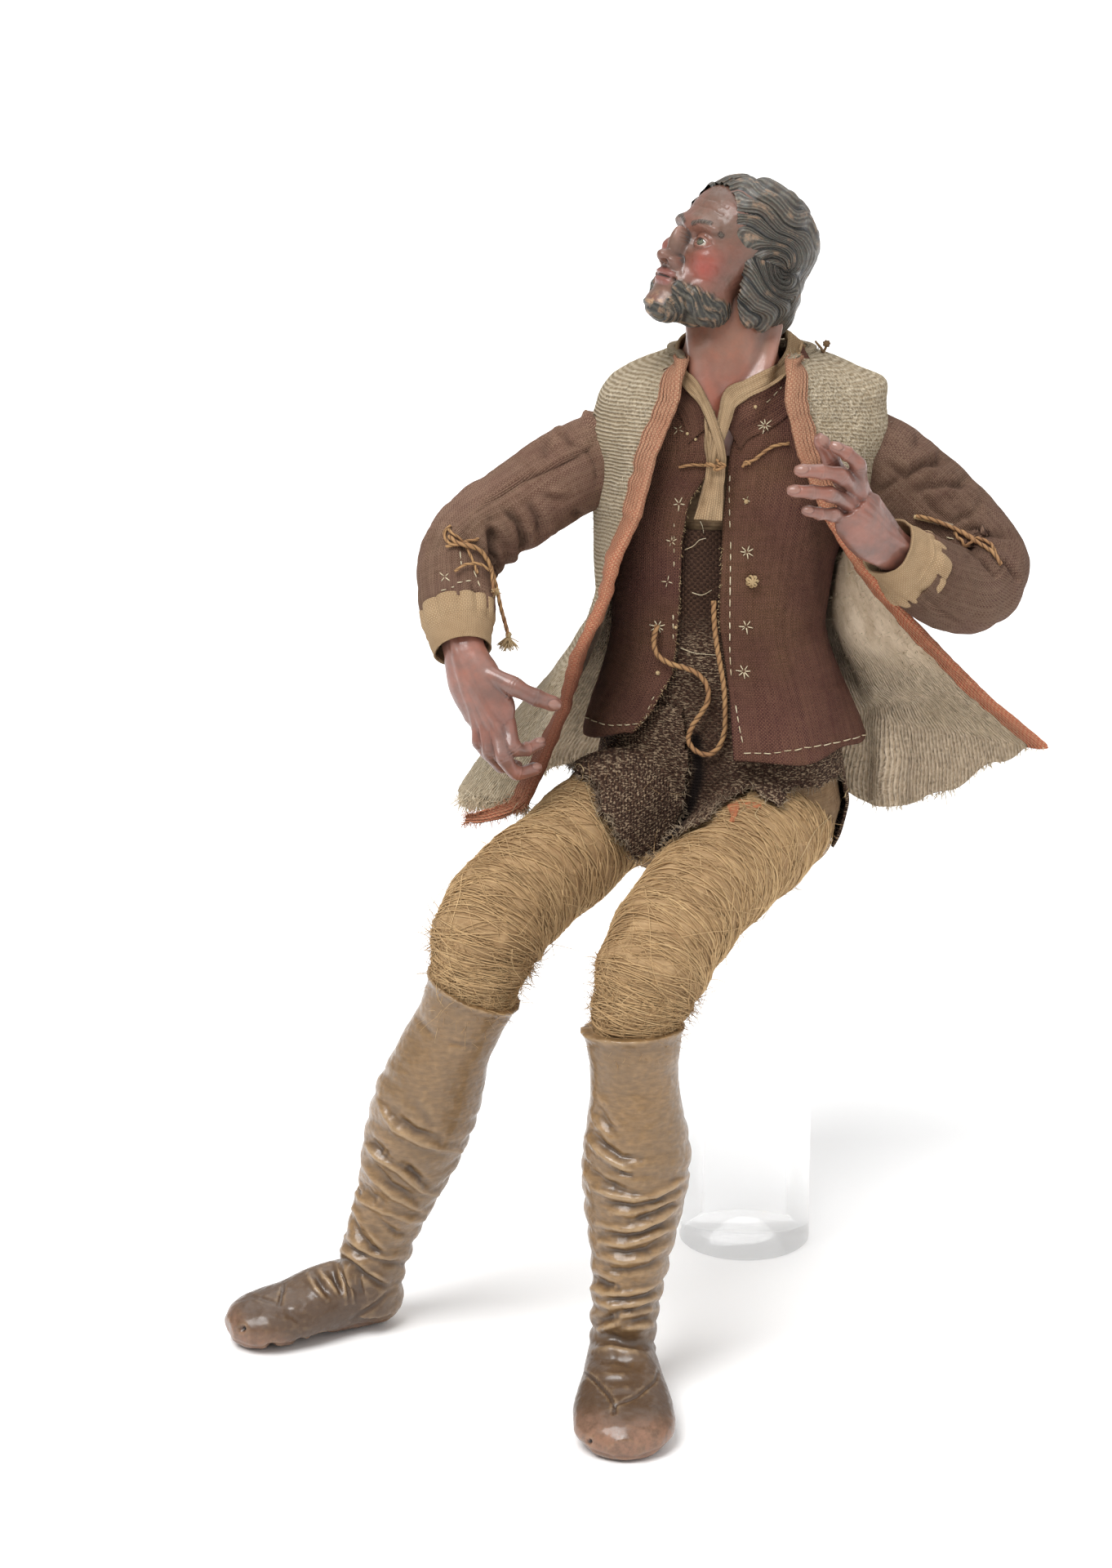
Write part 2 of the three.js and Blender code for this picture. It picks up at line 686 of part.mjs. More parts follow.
function breeches() {
  const outer = trunk(breechesOut, 124, breechesWaist);
  const cloth = join([outer, thigh("right", breechesOut), thigh("left", breechesOut)]);
  const body = join([trunk(clearance, 118, breechesWaist + 4), thigh("right", clearance), thigh("left", clearance)]);
  const back = block([-50, openings.breeches, seatLine], [60, 60, breechesWaist]);
  return cloth
    .intersect(frontCutter(tornFront, openings.breeches).add(back))
    .subtract(body)
    .subtract(post(clearance));
}

function collar(grow = 0) {
  const band = sweep(
    [
      station(-6.6, 4, 286, 14.4, 14.8),
      station(-7, 3, 279, 15, 15.2),
      station(-7.5, 1.5, 272, 17, 15.6),
      station(-7, 0, 265, 20, 15.4),
      station(-7, -1, 259, 21, 15.6),
    ],
    { front: new THREE.Vector3(0, -1, 0), sides: 12, rings: 3, grow },
  );
  const slope = new THREE.BoxGeometry(80 * unit, 80 * unit, 30 * unit).rotateX(degrees(4)).rotateY(degrees(-6));
  slope.translate(-6 * unit, 0, 294.5 * unit + grow);
  return band.subtract(solidFrom(slope));
}

const collarNotch = [
  [-9.5, 260],
  [9, 283],
  [9, 300],
  [-26, 300],
  [-21, 280],
];

// The shirt shows as its collar, and a creased strip of its front that ends in a hanging tab.
function shirt() {
  const front = trunk(clearance + shirtThickness, 231, 262).subtract(trunk(clearance, 226, trunkTop));
  const strip = front.intersect(block([-20.5, -40, 231], [-8, 0, 262]));
  return collar()
    .subtract(frontCutter(collarNotch, openings.collar))
    .add(strip)
    .subtract(neck(clearance))
    .subtract(trunk(clearance, 226, trunkTop))
    .subtract(headSolid(clearance));
}

// The vest: a thick cloth hung round the jacket. Its front edges leave the body towards the hem.
// Each row: height, then the place of the right edge and of the left edge in plan.
const vestEdges = [
  [136, -72, -33, 92, -8],
  [150, -67, -34, 90, -10],
  [162, -62, -34, 86.5, -12],
  [178, -56, -32.5, 69, -18],
  [194, -52.5, -30, 54, -22],
  [210, -44, -26.5, 39, -24],
  [221, -41, -25, 29, -24],
  [234, -34.5, -24, 20, -24],
  [251, -29.5, -21, 14, -21],
  [262, -23, -16.5, 10, -17],
  [270, -21.5, -11, 10.5, -11],
];
const clothRows = 9;
const vestTop = 270;
const vestHem = 137;
const vestGuides = Array.from({ length: 17 }, (_, k) => 0.1 + 0.05 * k); // where the cloth follows the body
const vestSlack = 1.8;
const vestMiddle = vestIn + vestSlack + vestThickness / 2;

function vestEdgeAt(height) {
  let i = 0;
  while (i < vestEdges.length - 2 && vestEdges[i + 1][0] < height) i += 1;
  const share = THREE.MathUtils.clamp((height - vestEdges[i][0]) / (vestEdges[i + 1][0] - vestEdges[i][0]), 0, 1);
  return vestEdges[i].map((value, k) => mix(value, vestEdges[i + 1][k], share));
}

// The angle round the trunk, in degrees from -90 to 270, that a place in plan lies at.
function angleRound(x, y, height) {
  const [, middleX, middleY, wide, deep, turn] = trunkAt(height);
  const local = new THREE.Vector3(x - middleX, y - middleY, 0);
  local.applyAxisAngle(new THREE.Vector3(0, 0, 1), degrees(-turn));
  const angle = (Math.atan2(local.y / deep, local.x / wide) * 180) / Math.PI;
  return angle < -90 ? angle + 360 : angle;
}

// The middle of the cloth at a height, from the right front edge round the back to the left one.
function vestLine(height) {
  const [, rightX, rightY, leftX, leftY] = vestEdgeAt(height);
  const rightAngle = angleRound(rightX, rightY, height);
  const leftAngle = angleRound(leftX, leftY, height);
  const lift = new THREE.Vector3(0, 0, vestMiddle * trunkAt(height)[6]);
  const flared = THREE.MathUtils.clamp((205 - height) / 68, 0, 1) ** 1.2;
  const guides = vestGuides.map((round) => {
    const right = 25 * (1 - ease(round, 0.24, 0.58));
    const left = 9 * ease(round, 0.74, 0.9);
    const wave = 4 + 2.5 * Math.sin((round - 0.1) * 16);
    const angle = degrees(mix(rightAngle, leftAngle, round));
    const off = jacketFlare(angle, height) + flared * (right + left + wave);
    return trunkPoint(angle, height, vestMiddle + off * unit);
  });
  const line = [at(rightX, rightY, height).add(lift), ...guides, at(leftX, leftY, height).add(lift)];
  return new THREE.CatmullRomCurve3(line, false, "catmullrom", 0.2);
}

const vestHeight = (across, down) =>
  mix(vestTop, vestHem + 3 + 10 * (1 - ease(across, 0, 0.2)) - 4 * bump(across, 0.6, 0.2) + 22 * ease(across, 0.84, 1), down);

// A point of the cloth; out is measured square to it. "inset" keeps that far from both front edges.
function vestPoint(across, down, out, inset = 0) {
  const place = (a, d) => {
    const line = vestLine(vestHeight(a, d));
    const margin = inset / line.getLength();
    return line.getPointAt(mix(margin, 1 - margin, a));
  };
  const step = 0.02;
  const before = Math.max(across - step, 0);
  const above = Math.max(down - step, 0);
  const along = place(before + step, down).sub(place(before, down));
  const below = place(across, above + step).sub(place(across, above));
  return place(across, down).addScaledVector(along.cross(below).normalize(), out);
}

// A closed slab of cloth: its outer face runs one way and its inner face comes back. Rows crowd at the shoulders.
function slab(point, columns, thickness) {
  const rows = clothRows;
  const crowding = 1.8;
  const place = (u, v, target) => {
    const lap = (u % 1) * (2 * columns + 2);
    const outer = lap <= columns + 0.5;
    const across = THREE.MathUtils.clamp(outer ? lap / columns : (2 * columns + 1 - lap) / columns, 0, 1);
    const row = v * (rows + 2) - 1;
    const down = THREE.MathUtils.clamp(row / rows, 0, 1) ** crowding;
    const closing = row < -0.5 || row > rows + 0.5;
    target.copy(point(across, down, closing ? 0 : ((outer ? 1 : -1) * thickness) / 2));
  };
  return solidFrom(new ParametricGeometry(place, 2 * columns + 2, rows + 2));
}

function vest() {
  const point = (across, down, out) => vestPoint(across, down, out, bindingWidth + 2 * clearance);
  return slab(point, 15, vestThickness)
    .subtract(jacketShell(clearance))
    .subtract(sleeve("right", clearance))
    .subtract(sleeve("left", clearance))
    .subtract(collar(clearance))
    .subtract(neck(clearance));
}

// The linen binding of each front edge. The right one has come loose below the hem.
function vestBinding(side) {
  const point = (across, down, out) => {
    const height = vestHeight(side === "right" ? 0 : 1, down);
    const line = vestLine(height);
    const share = (across * bindingWidth) / line.getLength();
    const edge = side === "right" ? share : 1 - share;
    const inward = line.getTangentAt(side === "right" ? 0 : 1);
    const outward = new THREE.Vector3(inward.y, -inward.x, 0).normalize();
    return line.getPointAt(edge).addScaledVector(outward, -out);
  };
  const strip = slab(point, 1, bindingThickness);
  const body = side === "right" ? strip.add(looseEnd()) : strip;
  return body
    .subtract(jacketShell(clearance))
    .subtract(collar(clearance))
    .subtract(neck(clearance));
}

function looseEnd() {
  const stations = [
    station(-65.5, -34, 154, 2.4, 1),
    station(-70, -33.5, 150, 2.3, 0.9),
    station(-76, -32.5, 147.5, 2, 0.8),
    station(-82, -31, 145.6, 1.2, 0.7),
  ];
  return sweep(stations, { front: new THREE.Vector3(0, -1, 0), sides: 6, rings: 4 });
}

// Laces: plaited cords, each through points chosen along the way it lies, in millimetres.
const laces = {
  front_lace: {
    diameter: laceDiameter,
    route: [
      [-28.4, -17.5, 200.4],
      [-29.4, -18.4, 196],
      [-28.4, -19.4, 192],
      [-25, -20.2, 189.6],
      [-21, -20.4, 188.4],
      [-17, -20.8, 186.8],
      [-14, -21.6, 183.4],
      [-13.6, -22.2, 179],
      [-15.6, -22.6, 175],
      [-18.2, -23, 171],
      [-19.2, -23.6, 167],
      [-17, -24.8, 164.2],
      [-13.4, -25.6, 163.4],
      [-10.4, -25.4, 165.6],
      [-8.8, -24.8, 170],
      [-8.6, -24, 176],
      [-9, -23, 183],
      [-10.2, -22, 190],
      [-11.4, -21.2, 197],
      [-12, -20.9, 203],
      [-12.2, -20.8, 208.6],
    ],
  },
  right_sleeve_lace: {
    diameter: sleeveLaceDiameter,
    route: [
      [-88.6, -24.8, 229],
      [-86.2, -27.6, 227.8],
      [-83.2, -28, 227],
      [-79.8, -26.8, 225.4],
      [-77.4, -26.4, 222],
      [-76, -26.8, 218],
      [-74.8, -27.4, 213.4],
      [-73.8, -27.8, 208.6],
      [-72.6, -27.8, 204],
      [-71.6, -27.8, 200],
    ],
  },
  left_sleeve_lace: {
    diameter: sleeveLaceDiameter,
    route: [
      [46.4, -14.8, 232.4],
      [50.6, -16.4, 231.8],
      [54.6, -17.6, 230.6],
      [58.6, -19, 229],
      [62.2, -21.4, 227.2],
      [65.4, -24, 225.8],
      [68.2, -26.6, 224.2],
      [70, -28.6, 221.6],
    ],
  },
};

function lace({ diameter, route }) {
  const path = new THREE.CatmullRomCurve3(route.map((place) => at(...place)), false, "centripetal");
  const section = new THREE.Shape();
  section.absarc(0, 0, diameter / 2, 0, 2 * Math.PI);
  const steps = Math.round(path.getLength() / (diameter * 3));
  return solidFrom(
    new THREE.ExtrudeGeometry(section, { steps, extrudePath: path, curveSegments: 4, bevelEnabled: false }),
  );
}

addPiece("clear_post", post(), finish.clear);
addPiece("tow_body", towBody(), finish.tow);
for (const side of ["right", "left"]) {
  const wayOut = side === "left" ? 1 : -1;
  addPiece(side + "_leg", leg(side).subtract(thigh(side, clearance)), finish.boot);
  addPiece(side + "_hand", hand(side), finish.skin);
  addPiece(side + "_shirt_cuff", cuff(side).subtract(wrist(side, clearance)), finish.shirt);
  addPiece(side + "_eye", eyeball(wayOut), finish.eye);
}
addPiece(
  "head_and_bust",
  headSolid().add(neck()).subtract(eyeball(-1, clearance)).subtract(eyeball(1, clearance)),
  finish.skin,
);
addPiece("breeches", breeches(), finish.breeches);
addPiece("shirt", shirt(), finish.shirt);
addPiece("jacket", jacket(), finish.jacket);
addPiece("vest", vest(), finish.vest);
addPiece("vest_binding_right", vestBinding("right"), finish.binding);
addPiece("vest_binding_left", vestBinding("left"), finish.binding);
for (const [name, cord] of Object.entries(laces)) addPiece(name, lace(cord), finish.lace);

export default group;
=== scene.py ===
# The looks of a seated presepe figure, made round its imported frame. Metres, +Z up, the figure faces -Y.
# Tables of places are in millimetres, as in the solids, and go into the scene through "mm".
import math
import bmesh
import bpy
import numpy as np
from numpy import cos, sin
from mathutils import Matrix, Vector, noise
from mathutils.bvhtree import BVHTree


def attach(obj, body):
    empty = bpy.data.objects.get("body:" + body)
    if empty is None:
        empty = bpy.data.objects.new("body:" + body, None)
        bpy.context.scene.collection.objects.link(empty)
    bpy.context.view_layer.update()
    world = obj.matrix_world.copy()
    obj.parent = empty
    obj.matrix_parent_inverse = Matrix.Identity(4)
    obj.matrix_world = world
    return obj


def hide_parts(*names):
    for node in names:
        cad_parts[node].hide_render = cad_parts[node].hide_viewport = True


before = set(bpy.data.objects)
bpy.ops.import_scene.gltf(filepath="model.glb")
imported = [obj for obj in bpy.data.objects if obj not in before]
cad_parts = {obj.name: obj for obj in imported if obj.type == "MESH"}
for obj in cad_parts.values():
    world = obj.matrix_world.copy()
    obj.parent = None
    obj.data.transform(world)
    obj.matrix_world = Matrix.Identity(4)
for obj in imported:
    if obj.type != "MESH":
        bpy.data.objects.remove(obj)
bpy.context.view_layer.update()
mm = 0.001
dice = np.random.default_rng(11)


# Small tools

def deselect():
    bpy.ops.object.select_all(action="DESELECT")


def activate(obj):
    deselect()
    obj.select_set(True)
    bpy.context.view_layer.objects.active = obj


def applyModifiers(obj):
    activate(obj)
    for modifier in list(obj.modifiers):
        bpy.ops.object.modifier_apply(modifier=modifier.name)


def places(obj):
    flat = np.empty(len(obj.data.vertices) * 3)
    obj.data.vertices.foreach_get("co", flat)
    return flat.reshape(-1, 3) / mm


def setPlaces(obj, points):
    obj.data.vertices.foreach_set("co", (np.asarray(points) * mm).ravel())
    obj.data.update()


def normals(obj):
    flat = np.empty(len(obj.data.vertices) * 3)
    obj.data.vertices.foreach_get("normal", flat)
    return flat.reshape(-1, 3)


def keep(obj, name, values):
    layer = obj.data.attributes.new(name, "FLOAT", "POINT")
    layer.data.foreach_set("value", np.asarray(values, dtype=float))


def rumple(points, size, seed):
    # smooth noise from -1 to 1 with lumps about "size" mm across
    shift = Vector((seed * 7.3, seed * 3.1, seed * 5.7))
    return np.array([noise.noise(Vector(p) / size + shift) for p in points])


def ease(x, low, high):
    t = np.clip((x - low) / (high - low), 0, 1)
    return t * t * (3 - 2 * t)


def bump(x, centre, width):
    return np.exp(-(((x - centre) / width) ** 2))


def unitRows(v):
    return v / np.maximum(np.linalg.norm(v, axis=-1, keepdims=True), 1e-9)


def joinAll(objs):
    activate(objs[0])
    for obj in objs:
        obj.select_set(True)
    bpy.ops.object.join()
    return bpy.context.view_layer.objects.active


def cleanMesh(obj, gap):
    activate(obj)
    bpy.ops.object.mode_set(mode="EDIT")
    bpy.ops.mesh.select_all(action="SELECT")
    bpy.ops.mesh.remove_doubles(threshold=gap * mm)
    bpy.ops.mesh.normals_make_consistent(inside=False)
    bpy.ops.object.mode_set(mode="OBJECT")


def remesh(obj, voxel, smoothing):
    grid = obj.modifiers.new("grid", "REMESH")
    grid.mode = "VOXEL"
    grid.voxel_size = voxel * mm
    applyModifiers(obj)
    soften(obj, smoothing)


def soften(obj, times, factor=0.5):
    if times:
        soft = obj.modifiers.new("soft", "SMOOTH")
        soft.factor = factor
        soft.iterations = times
        applyModifiers(obj)


def wall(obj, thickness, offset=0.0):
    shell = obj.modifiers.new("wall", "SOLIDIFY")
    shell.thickness = thickness * mm
    shell.offset = offset
    shell.use_even_offset = False
    applyModifiers(obj)


def finishPiece(obj, name, material, slotName, *nodes):
    obj.name = name
    obj.data.name = name
    obj.data.materials.clear()
    obj.data.materials.append(material)
    activate(obj)
    bpy.ops.object.shade_smooth()
    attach(obj, "root")
    if nodes:
        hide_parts(*nodes)
    return obj


# Curves and surfaces, the same forms as in the solids

def spline(points, t):
    p = np.asarray(points, dtype=float)
    ends = np.vstack([2 * p[0] - p[1], p, 2 * p[-1] - p[-2]])
    place = np.clip(np.asarray(t, dtype=float), 0, 1) * (len(p) - 1)
    i = np.minimum(place.astype(int), len(p) - 2)
    w = (place - i)[..., None]
    a, b, c, d = ends[i], ends[i + 1], ends[i + 2], ends[i + 3]
    s0, s1, s2 = (
        np.sqrt(np.maximum(np.linalg.norm(q - r, axis=-1, keepdims=True), 1e-6))
        for q, r in ((b, a), (c, b), (d, c))
    )
    t1 = ((b - a) / s0 - (c - a) / (s0 + s1) + (c - b) / s1) * s1
    t2 = ((c - b) / s1 - (d - b) / (s1 + s2) + (d - c) / s2) * s1
    return b + w * t1 + w**2 * (3 * (c - b) - 2 * t1 - t2) + w**3 * (2 * (b - c) + t1 + t2)


def limbPoints(stations, front, angle, along, out=0.0):
    # stations: x, y, z, half across, half deep; angle -90 degrees looks to the front
    rows = np.asarray(stations, dtype=float)
    middle = spline(rows[:, :3], along)
    ahead = unitRows(spline(rows[:, :3], np.minimum(along + 0.001, 1))
        - spline(rows[:, :3], np.maximum(along - 0.001, 0)))
    side = unitRows(np.cross(np.asarray(front, dtype=float), ahead))
    forward = unitRows(np.cross(ahead, side))
    size = spline(rows[:, 3:5], along)
    c, s = cos(angle), sin(angle)
    wide = (c * (size[:, 0] + out))[:, None]
    deep = (-s * (size[:, 1] + out))[:, None]
    return middle + side * wide + forward * deep


def ball(sides, rings, place, measure=None):
    # a sphere whose rows are laid along a limb: place(angle, along) in mm, with both poles on its ends
    deselect()
    bpy.ops.mesh.primitive_uv_sphere_add(segments=sides, ring_count=rings, radius=1)
    obj = bpy.context.active_object
    unit = places(obj) * mm
    angle = np.arctan2(unit[:, 1], unit[:, 0])
    polar = np.arccos(np.clip(unit[:, 2], -1, 1)) / math.pi
    along = np.clip((polar * rings - 1) / (rings - 2), 0, 1)
    pole = (polar < 0.2 / rings) | (polar > 1 - 0.2 / rings)
    points = place(angle, along)
    if pole.any():
        for end in (0.0, 1.0):
            row = ~pole & (np.abs(along - end) < 1e-6)
            points[pole & (np.abs(along - end) < 1e-6)] = points[row].mean(axis=0)
    setPlaces(obj, points)
    if measure:
        scaleUv(obj, *measure)
    cleanMesh(obj, 0.001)
    return obj


def scaleUv(obj, wide, long):
    layer = obj.data.uv_layers.active.data
    uv = np.empty(len(layer) * 2)
    layer.foreach_get("uv", uv)
    layer.foreach_set("uv", (uv.reshape(-1, 2) * [wide * mm, long * mm]).ravel())


def clothGrid(columns, rows, place, measure):
    # a flat grid whose points are laid by place(across, down), 0 to 1 each, in mm; its UV map is in metres
    # of cloth
    deselect()
    bpy.ops.mesh.primitive_grid_add(x_subdivisions=columns, y_subdivisions=rows, size=1)
    obj = bpy.context.active_object
    flat = places(obj) * mm
    setPlaces(obj, place(flat[:, 0] + 0.5, 0.5 - flat[:, 1]))
    scaleUv(obj, *measure)
    return obj


def facesOut(obj, centre):
    # turns the cloth so that its faces look away from a line through the body
    points, ways = places(obj), normals(obj)
    if np.mean(np.sum((points - np.asarray(centre)) * ways, axis=1)) < 0:
        obj.data.flip_normals()


def cutAway(obj, gone):
    # removes the vertices that the mask marks
    activate(obj)
    mesh = bmesh.new()
    mesh.from_mesh(obj.data)
    mesh.verts.ensure_lookup_table()
    bmesh.ops.delete(mesh, geom=[v for v in mesh.verts if gone[v.index]], context="VERTS")
    mesh.to_mesh(obj.data)
    mesh.free()


def nearLine(points, line):
    # distance from each point to a polyline, in a plane or in space
    best = np.full(len(points), 1e9)
    for a, b in zip(line, line[1:]):
        a, b = np.asarray(a, dtype=float), np.asarray(b, dtype=float)
        t = np.clip(((points - a) @ (b - a)) / ((b - a) @ (b - a)), 0, 1)
        best = np.minimum(best, np.linalg.norm(points - a - t[:, None] * (b - a), axis=1))
    return best


def strands(name, paths, widths, taper, sides):
    # many thin fibres as one mesh: each path is a list of points in mm, each fibre has a tone of its own
    verts, faces, tones = [], [], []
    for path, width in zip(paths, widths):
        tones += [dice.uniform()] * (len(path) * sides)
        path = np.asarray(path, dtype=float)
        ahead = unitRows(np.gradient(path, axis=0))
        side = unitRows(np.cross(ahead, [0.31, 0.52, 0.79]))
        up = np.cross(ahead, side)
        start = len(verts)
        for k in range(len(path)):
            r = width / 2 * (1 - (1 - taper) * k / (len(path) - 1))
            for j in range(sides):
                a = 2 * math.pi * j / sides
                verts.append(path[k] + side[k] * r * math.cos(a) + up[k] * r * math.sin(a))
        for k in range(len(path) - 1):
            for j in range(sides):
                a, b = start + k * sides + j, start + k * sides + (j + 1) % sides
                faces.append((a, b, b + sides, a + sides))
        faces.append(tuple(start + j for j in reversed(range(sides))))
        faces.append(tuple(start + (len(path) - 1) * sides + j for j in range(sides)))
    data = bpy.data.meshes.new(name)
    data.from_pydata((np.asarray(verts) * mm).tolist(), [], faces)
    obj = bpy.data.objects.new(name, data)
    bpy.context.collection.objects.link(obj)
    keep(obj, "tone", tones)
    cleanMesh(obj, 0.0001)
    return obj


def fibres(name, material, slotName, paths, widths, taper=0.35, sides=3):
    finishPiece(strands(name, paths, widths, taper, sides), name, material, slotName)


# Camera, light and floor

view = {"place": (-0.057875, -1.297241, 0.567547), "tilt": 72, "lens": 105, "film": 36}
lights = [
    # name, way it comes from, strength, angle of its softness
    ("keyLight", (-0.6, -0.9, 1.7), 2.8, 34),
    ("fillLight", (1.3, -0.9, 0.9), 0.55, 60),
    ("topLight", (0.2, 0.9, 1.6), 1.05, 60),
]


def makeCamera():
    data = bpy.data.cameras.new("camera")
    data.sensor_fit = "VERTICAL"
    data.sensor_height = view["film"]
    data.lens = view["lens"]
    data.clip_start = 0.05
    camera = bpy.data.objects.new("camera", data)
    camera.location = view["place"]
    camera.rotation_euler = (math.radians(view["tilt"]), 0, 0)
    bpy.context.collection.objects.link(camera)
    bpy.context.scene.camera = camera
    for name, way, strength, softness in lights:
        lamp = bpy.data.lights.new(name, "SUN")
        lamp.energy = strength
        lamp.angle = math.radians(softness)
        obj = bpy.data.objects.new(name, lamp)
        obj.rotation_euler = (-Vector(way)).to_track_quat("-Z", "Y").to_euler()
        bpy.context.collection.objects.link(obj)
    world = bpy.data.worlds.new("studio")
    world.use_nodes = True
    world.node_tree.nodes["Background"].inputs["Color"].default_value = (1, 1, 1, 1)
    world.node_tree.nodes["Background"].inputs["Strength"].default_value = 0.5
    bpy.context.scene.world = world
    bpy.context.scene.view_settings.view_transform = "Standard"
    return camera


def makeFloor():
    deselect()
    bpy.ops.mesh.primitive_plane_add(size=9, location=(0, 1, -0.0002))
    floor = bpy.context.active_object
    floor.name = "floor"
    paper = bpy.data.materials.new("floorPaper")
    paper.use_nodes = True
    shader = paper.node_tree.nodes["Principled BSDF"]
    shader.inputs["Base Color"].default_value = (0.98, 0.98, 0.98, 1)
    shader.inputs["Roughness"].default_value = 0.9
    floor.data.materials.append(paper)


camera = makeCamera()
makeFloor()
print("camera, light and floor made")


# Sight lines: folds, seams and small things are placed where the camera sees them, in a picture 1362 by 1920

def seenAt(points):
    tilt = math.radians(90 - view["tilt"])
    off = np.asarray(points, dtype=float) * mm - view["place"]
    depth = off @ [0, math.cos(tilt), -math.sin(tilt)]
    focus = view["lens"] / view["film"] * 1920
    rise = off @ [0, math.sin(tilt), math.cos(tilt)]
    return np.stack([681 + focus * off[:, 0] / depth, 960 - focus * rise / depth], axis=-1)


def facingUs(points, ways):
    # 1 where a skin looks at the camera, 0 where it looks away
    sight = unitRows(np.asarray(view["place"]) / mm - points)
    return ease(np.sum(sight * ways, axis=1), -0.1, 0.25)


def drawnRelief(points, ways, lines):
    # rise of each point from ridges and grooves drawn as (height in mm, width in pixels, point, point, ...),
    # which run out softly at both ends
    seen, out = seenAt(points), np.zeros(len(points))
    for height, width, *line in lines:
        ends = [np.linalg.norm(seen - end, axis=1) for end in (line[0], line[-1])]
        reach = 0.25 * np.linalg.norm(np.diff(line, axis=0), axis=1).sum()
        fade = 0.45 + 0.55 * ease(ends[0], 0, reach) * ease(ends[1], 0, reach)
        out += height * bump(nearLine(seen, line), 0, width) * fade
    return out * facingUs(points, ways)


def sightTree(*objs):
    mesh = bmesh.new()
    for obj in objs:
        mesh.from_mesh(obj.data)
    tree = BVHTree.FromBMesh(mesh)
    mesh.free()
    return tree


def sightHit(tree, u, v, lift=0.0):
    # the first place, in mm, that the sight line through (u, v) meets, and the normal there, turned to the
    # camera
    tilt = math.radians(90 - view["tilt"])
    focus = view["lens"] / view["film"] * 1920
    across, rise = (u - 681) / focus, (960 - v) / focus
    way = Vector((across, math.cos(tilt) + rise * math.sin(tilt),
        -math.sin(tilt) + rise * math.cos(tilt))).normalized()
    spot, normal, _, _ = tree.ray_cast(Vector(view["place"]), way)
    if spot is None:
        return None
    if normal.dot(way) > 0:
        normal = -normal
    return np.array(spot) / mm + np.array(normal) * lift, np.array(normal)


def insideOutline(points, outline):
    x, y = points[:, 0], points[:, 1]
    result = np.zeros(len(points), dtype=bool)
    for (x0, y0), (x1, y1) in zip(outline, outline[1:] + outline[:1]):
        if y0 != y1:
            result ^= ((y0 > y) != (y1 > y)) & (x < (x1 - x0) * (y - y0) / (y1 - y0) + x0)
    return result


# Materials: small node helpers, then groups that several finishes share

def link(tree, a, b):
    tree.links.new(a, b)


def node(tree, kind, **settings):
    made = tree.nodes.new(kind)
    for key, value in settings.items():
        if key.startswith("in_"):
            made.inputs[key[3:].replace("_", " ")].default_value = value
        else:
            setattr(made, key, value)
    return made


def calc(tree, operation, a, b=None):
    made = tree.nodes.new("ShaderNodeMath")
    made.operation = operation
    for socket, value in zip(made.inputs, (a, b)):
        if isinstance(value, (int, float)):
            socket.default_value = value
        elif value is not None:
            tree.links.new(value, socket)
    return made.outputs[0]


def times(tree, a, b):
    return calc(tree, "MULTIPLY", a, b)


def plus(tree, a, b):
    return calc(tree, "ADD", a, b)


def mix(tree, share, a, b):
    made = tree.nodes.new("ShaderNodeMix")
    made.data_type = "RGBA"
    for index, value in ((0, share), (6, a), (7, b)):
        if isinstance(value, (int, float)):
            made.inputs[index].default_value = value
        elif isinstance(value, tuple):
            made.inputs[index].default_value = (*value, 1)
        else:
            tree.links.new(value, made.inputs[index])
    return made.outputs[2]


def ramp(tree, source, low, high):
    made = tree.nodes.new("ShaderNodeMapRange")
    made.inputs["From Min"].default_value = low
    made.inputs["From Max"].default_value = high
    tree.links.new(source, made.inputs["Value"])
    return made.outputs[0]


def attribute(tree, name):
    return node(tree, "ShaderNodeAttribute", attribute_name=name).outputs["Fac"]


def speckle(tree, coordinates, scale, detail=3.0, roughness=0.6):
    made = node(tree, "ShaderNodeTexNoise", in_Scale=scale, in_Detail=detail, in_Roughness=roughness)
    tree.links.new(coordinates, made.inputs["Vector"])
    return made.outputs[0]


def stretched(tree, coordinates, scale, turn=(0, 0, 0)):
    made = tree.nodes.new("ShaderNodeMapping")
    made.inputs["Scale"].default_value = scale
    made.inputs["Rotation"].default_value = [math.radians(a) for a in turn]
    tree.links.new(coordinates, made.inputs["Vector"])
    return made.outputs[0]


def newGroup(name, inputs, outputs):
    tree = bpy.data.node_groups.new(name, "ShaderNodeTree")
    for title, kind, value in inputs:
        socket = tree.interface.new_socket(name=title, in_out="INPUT", socket_type=kind)
        if value is not None:
            socket.default_value = value
    for title, kind in outputs:
        tree.interface.new_socket(name=title, in_out="OUTPUT", socket_type=kind)
    return tree, tree.nodes.new("NodeGroupInput"), tree.nodes.new("NodeGroupOutput")


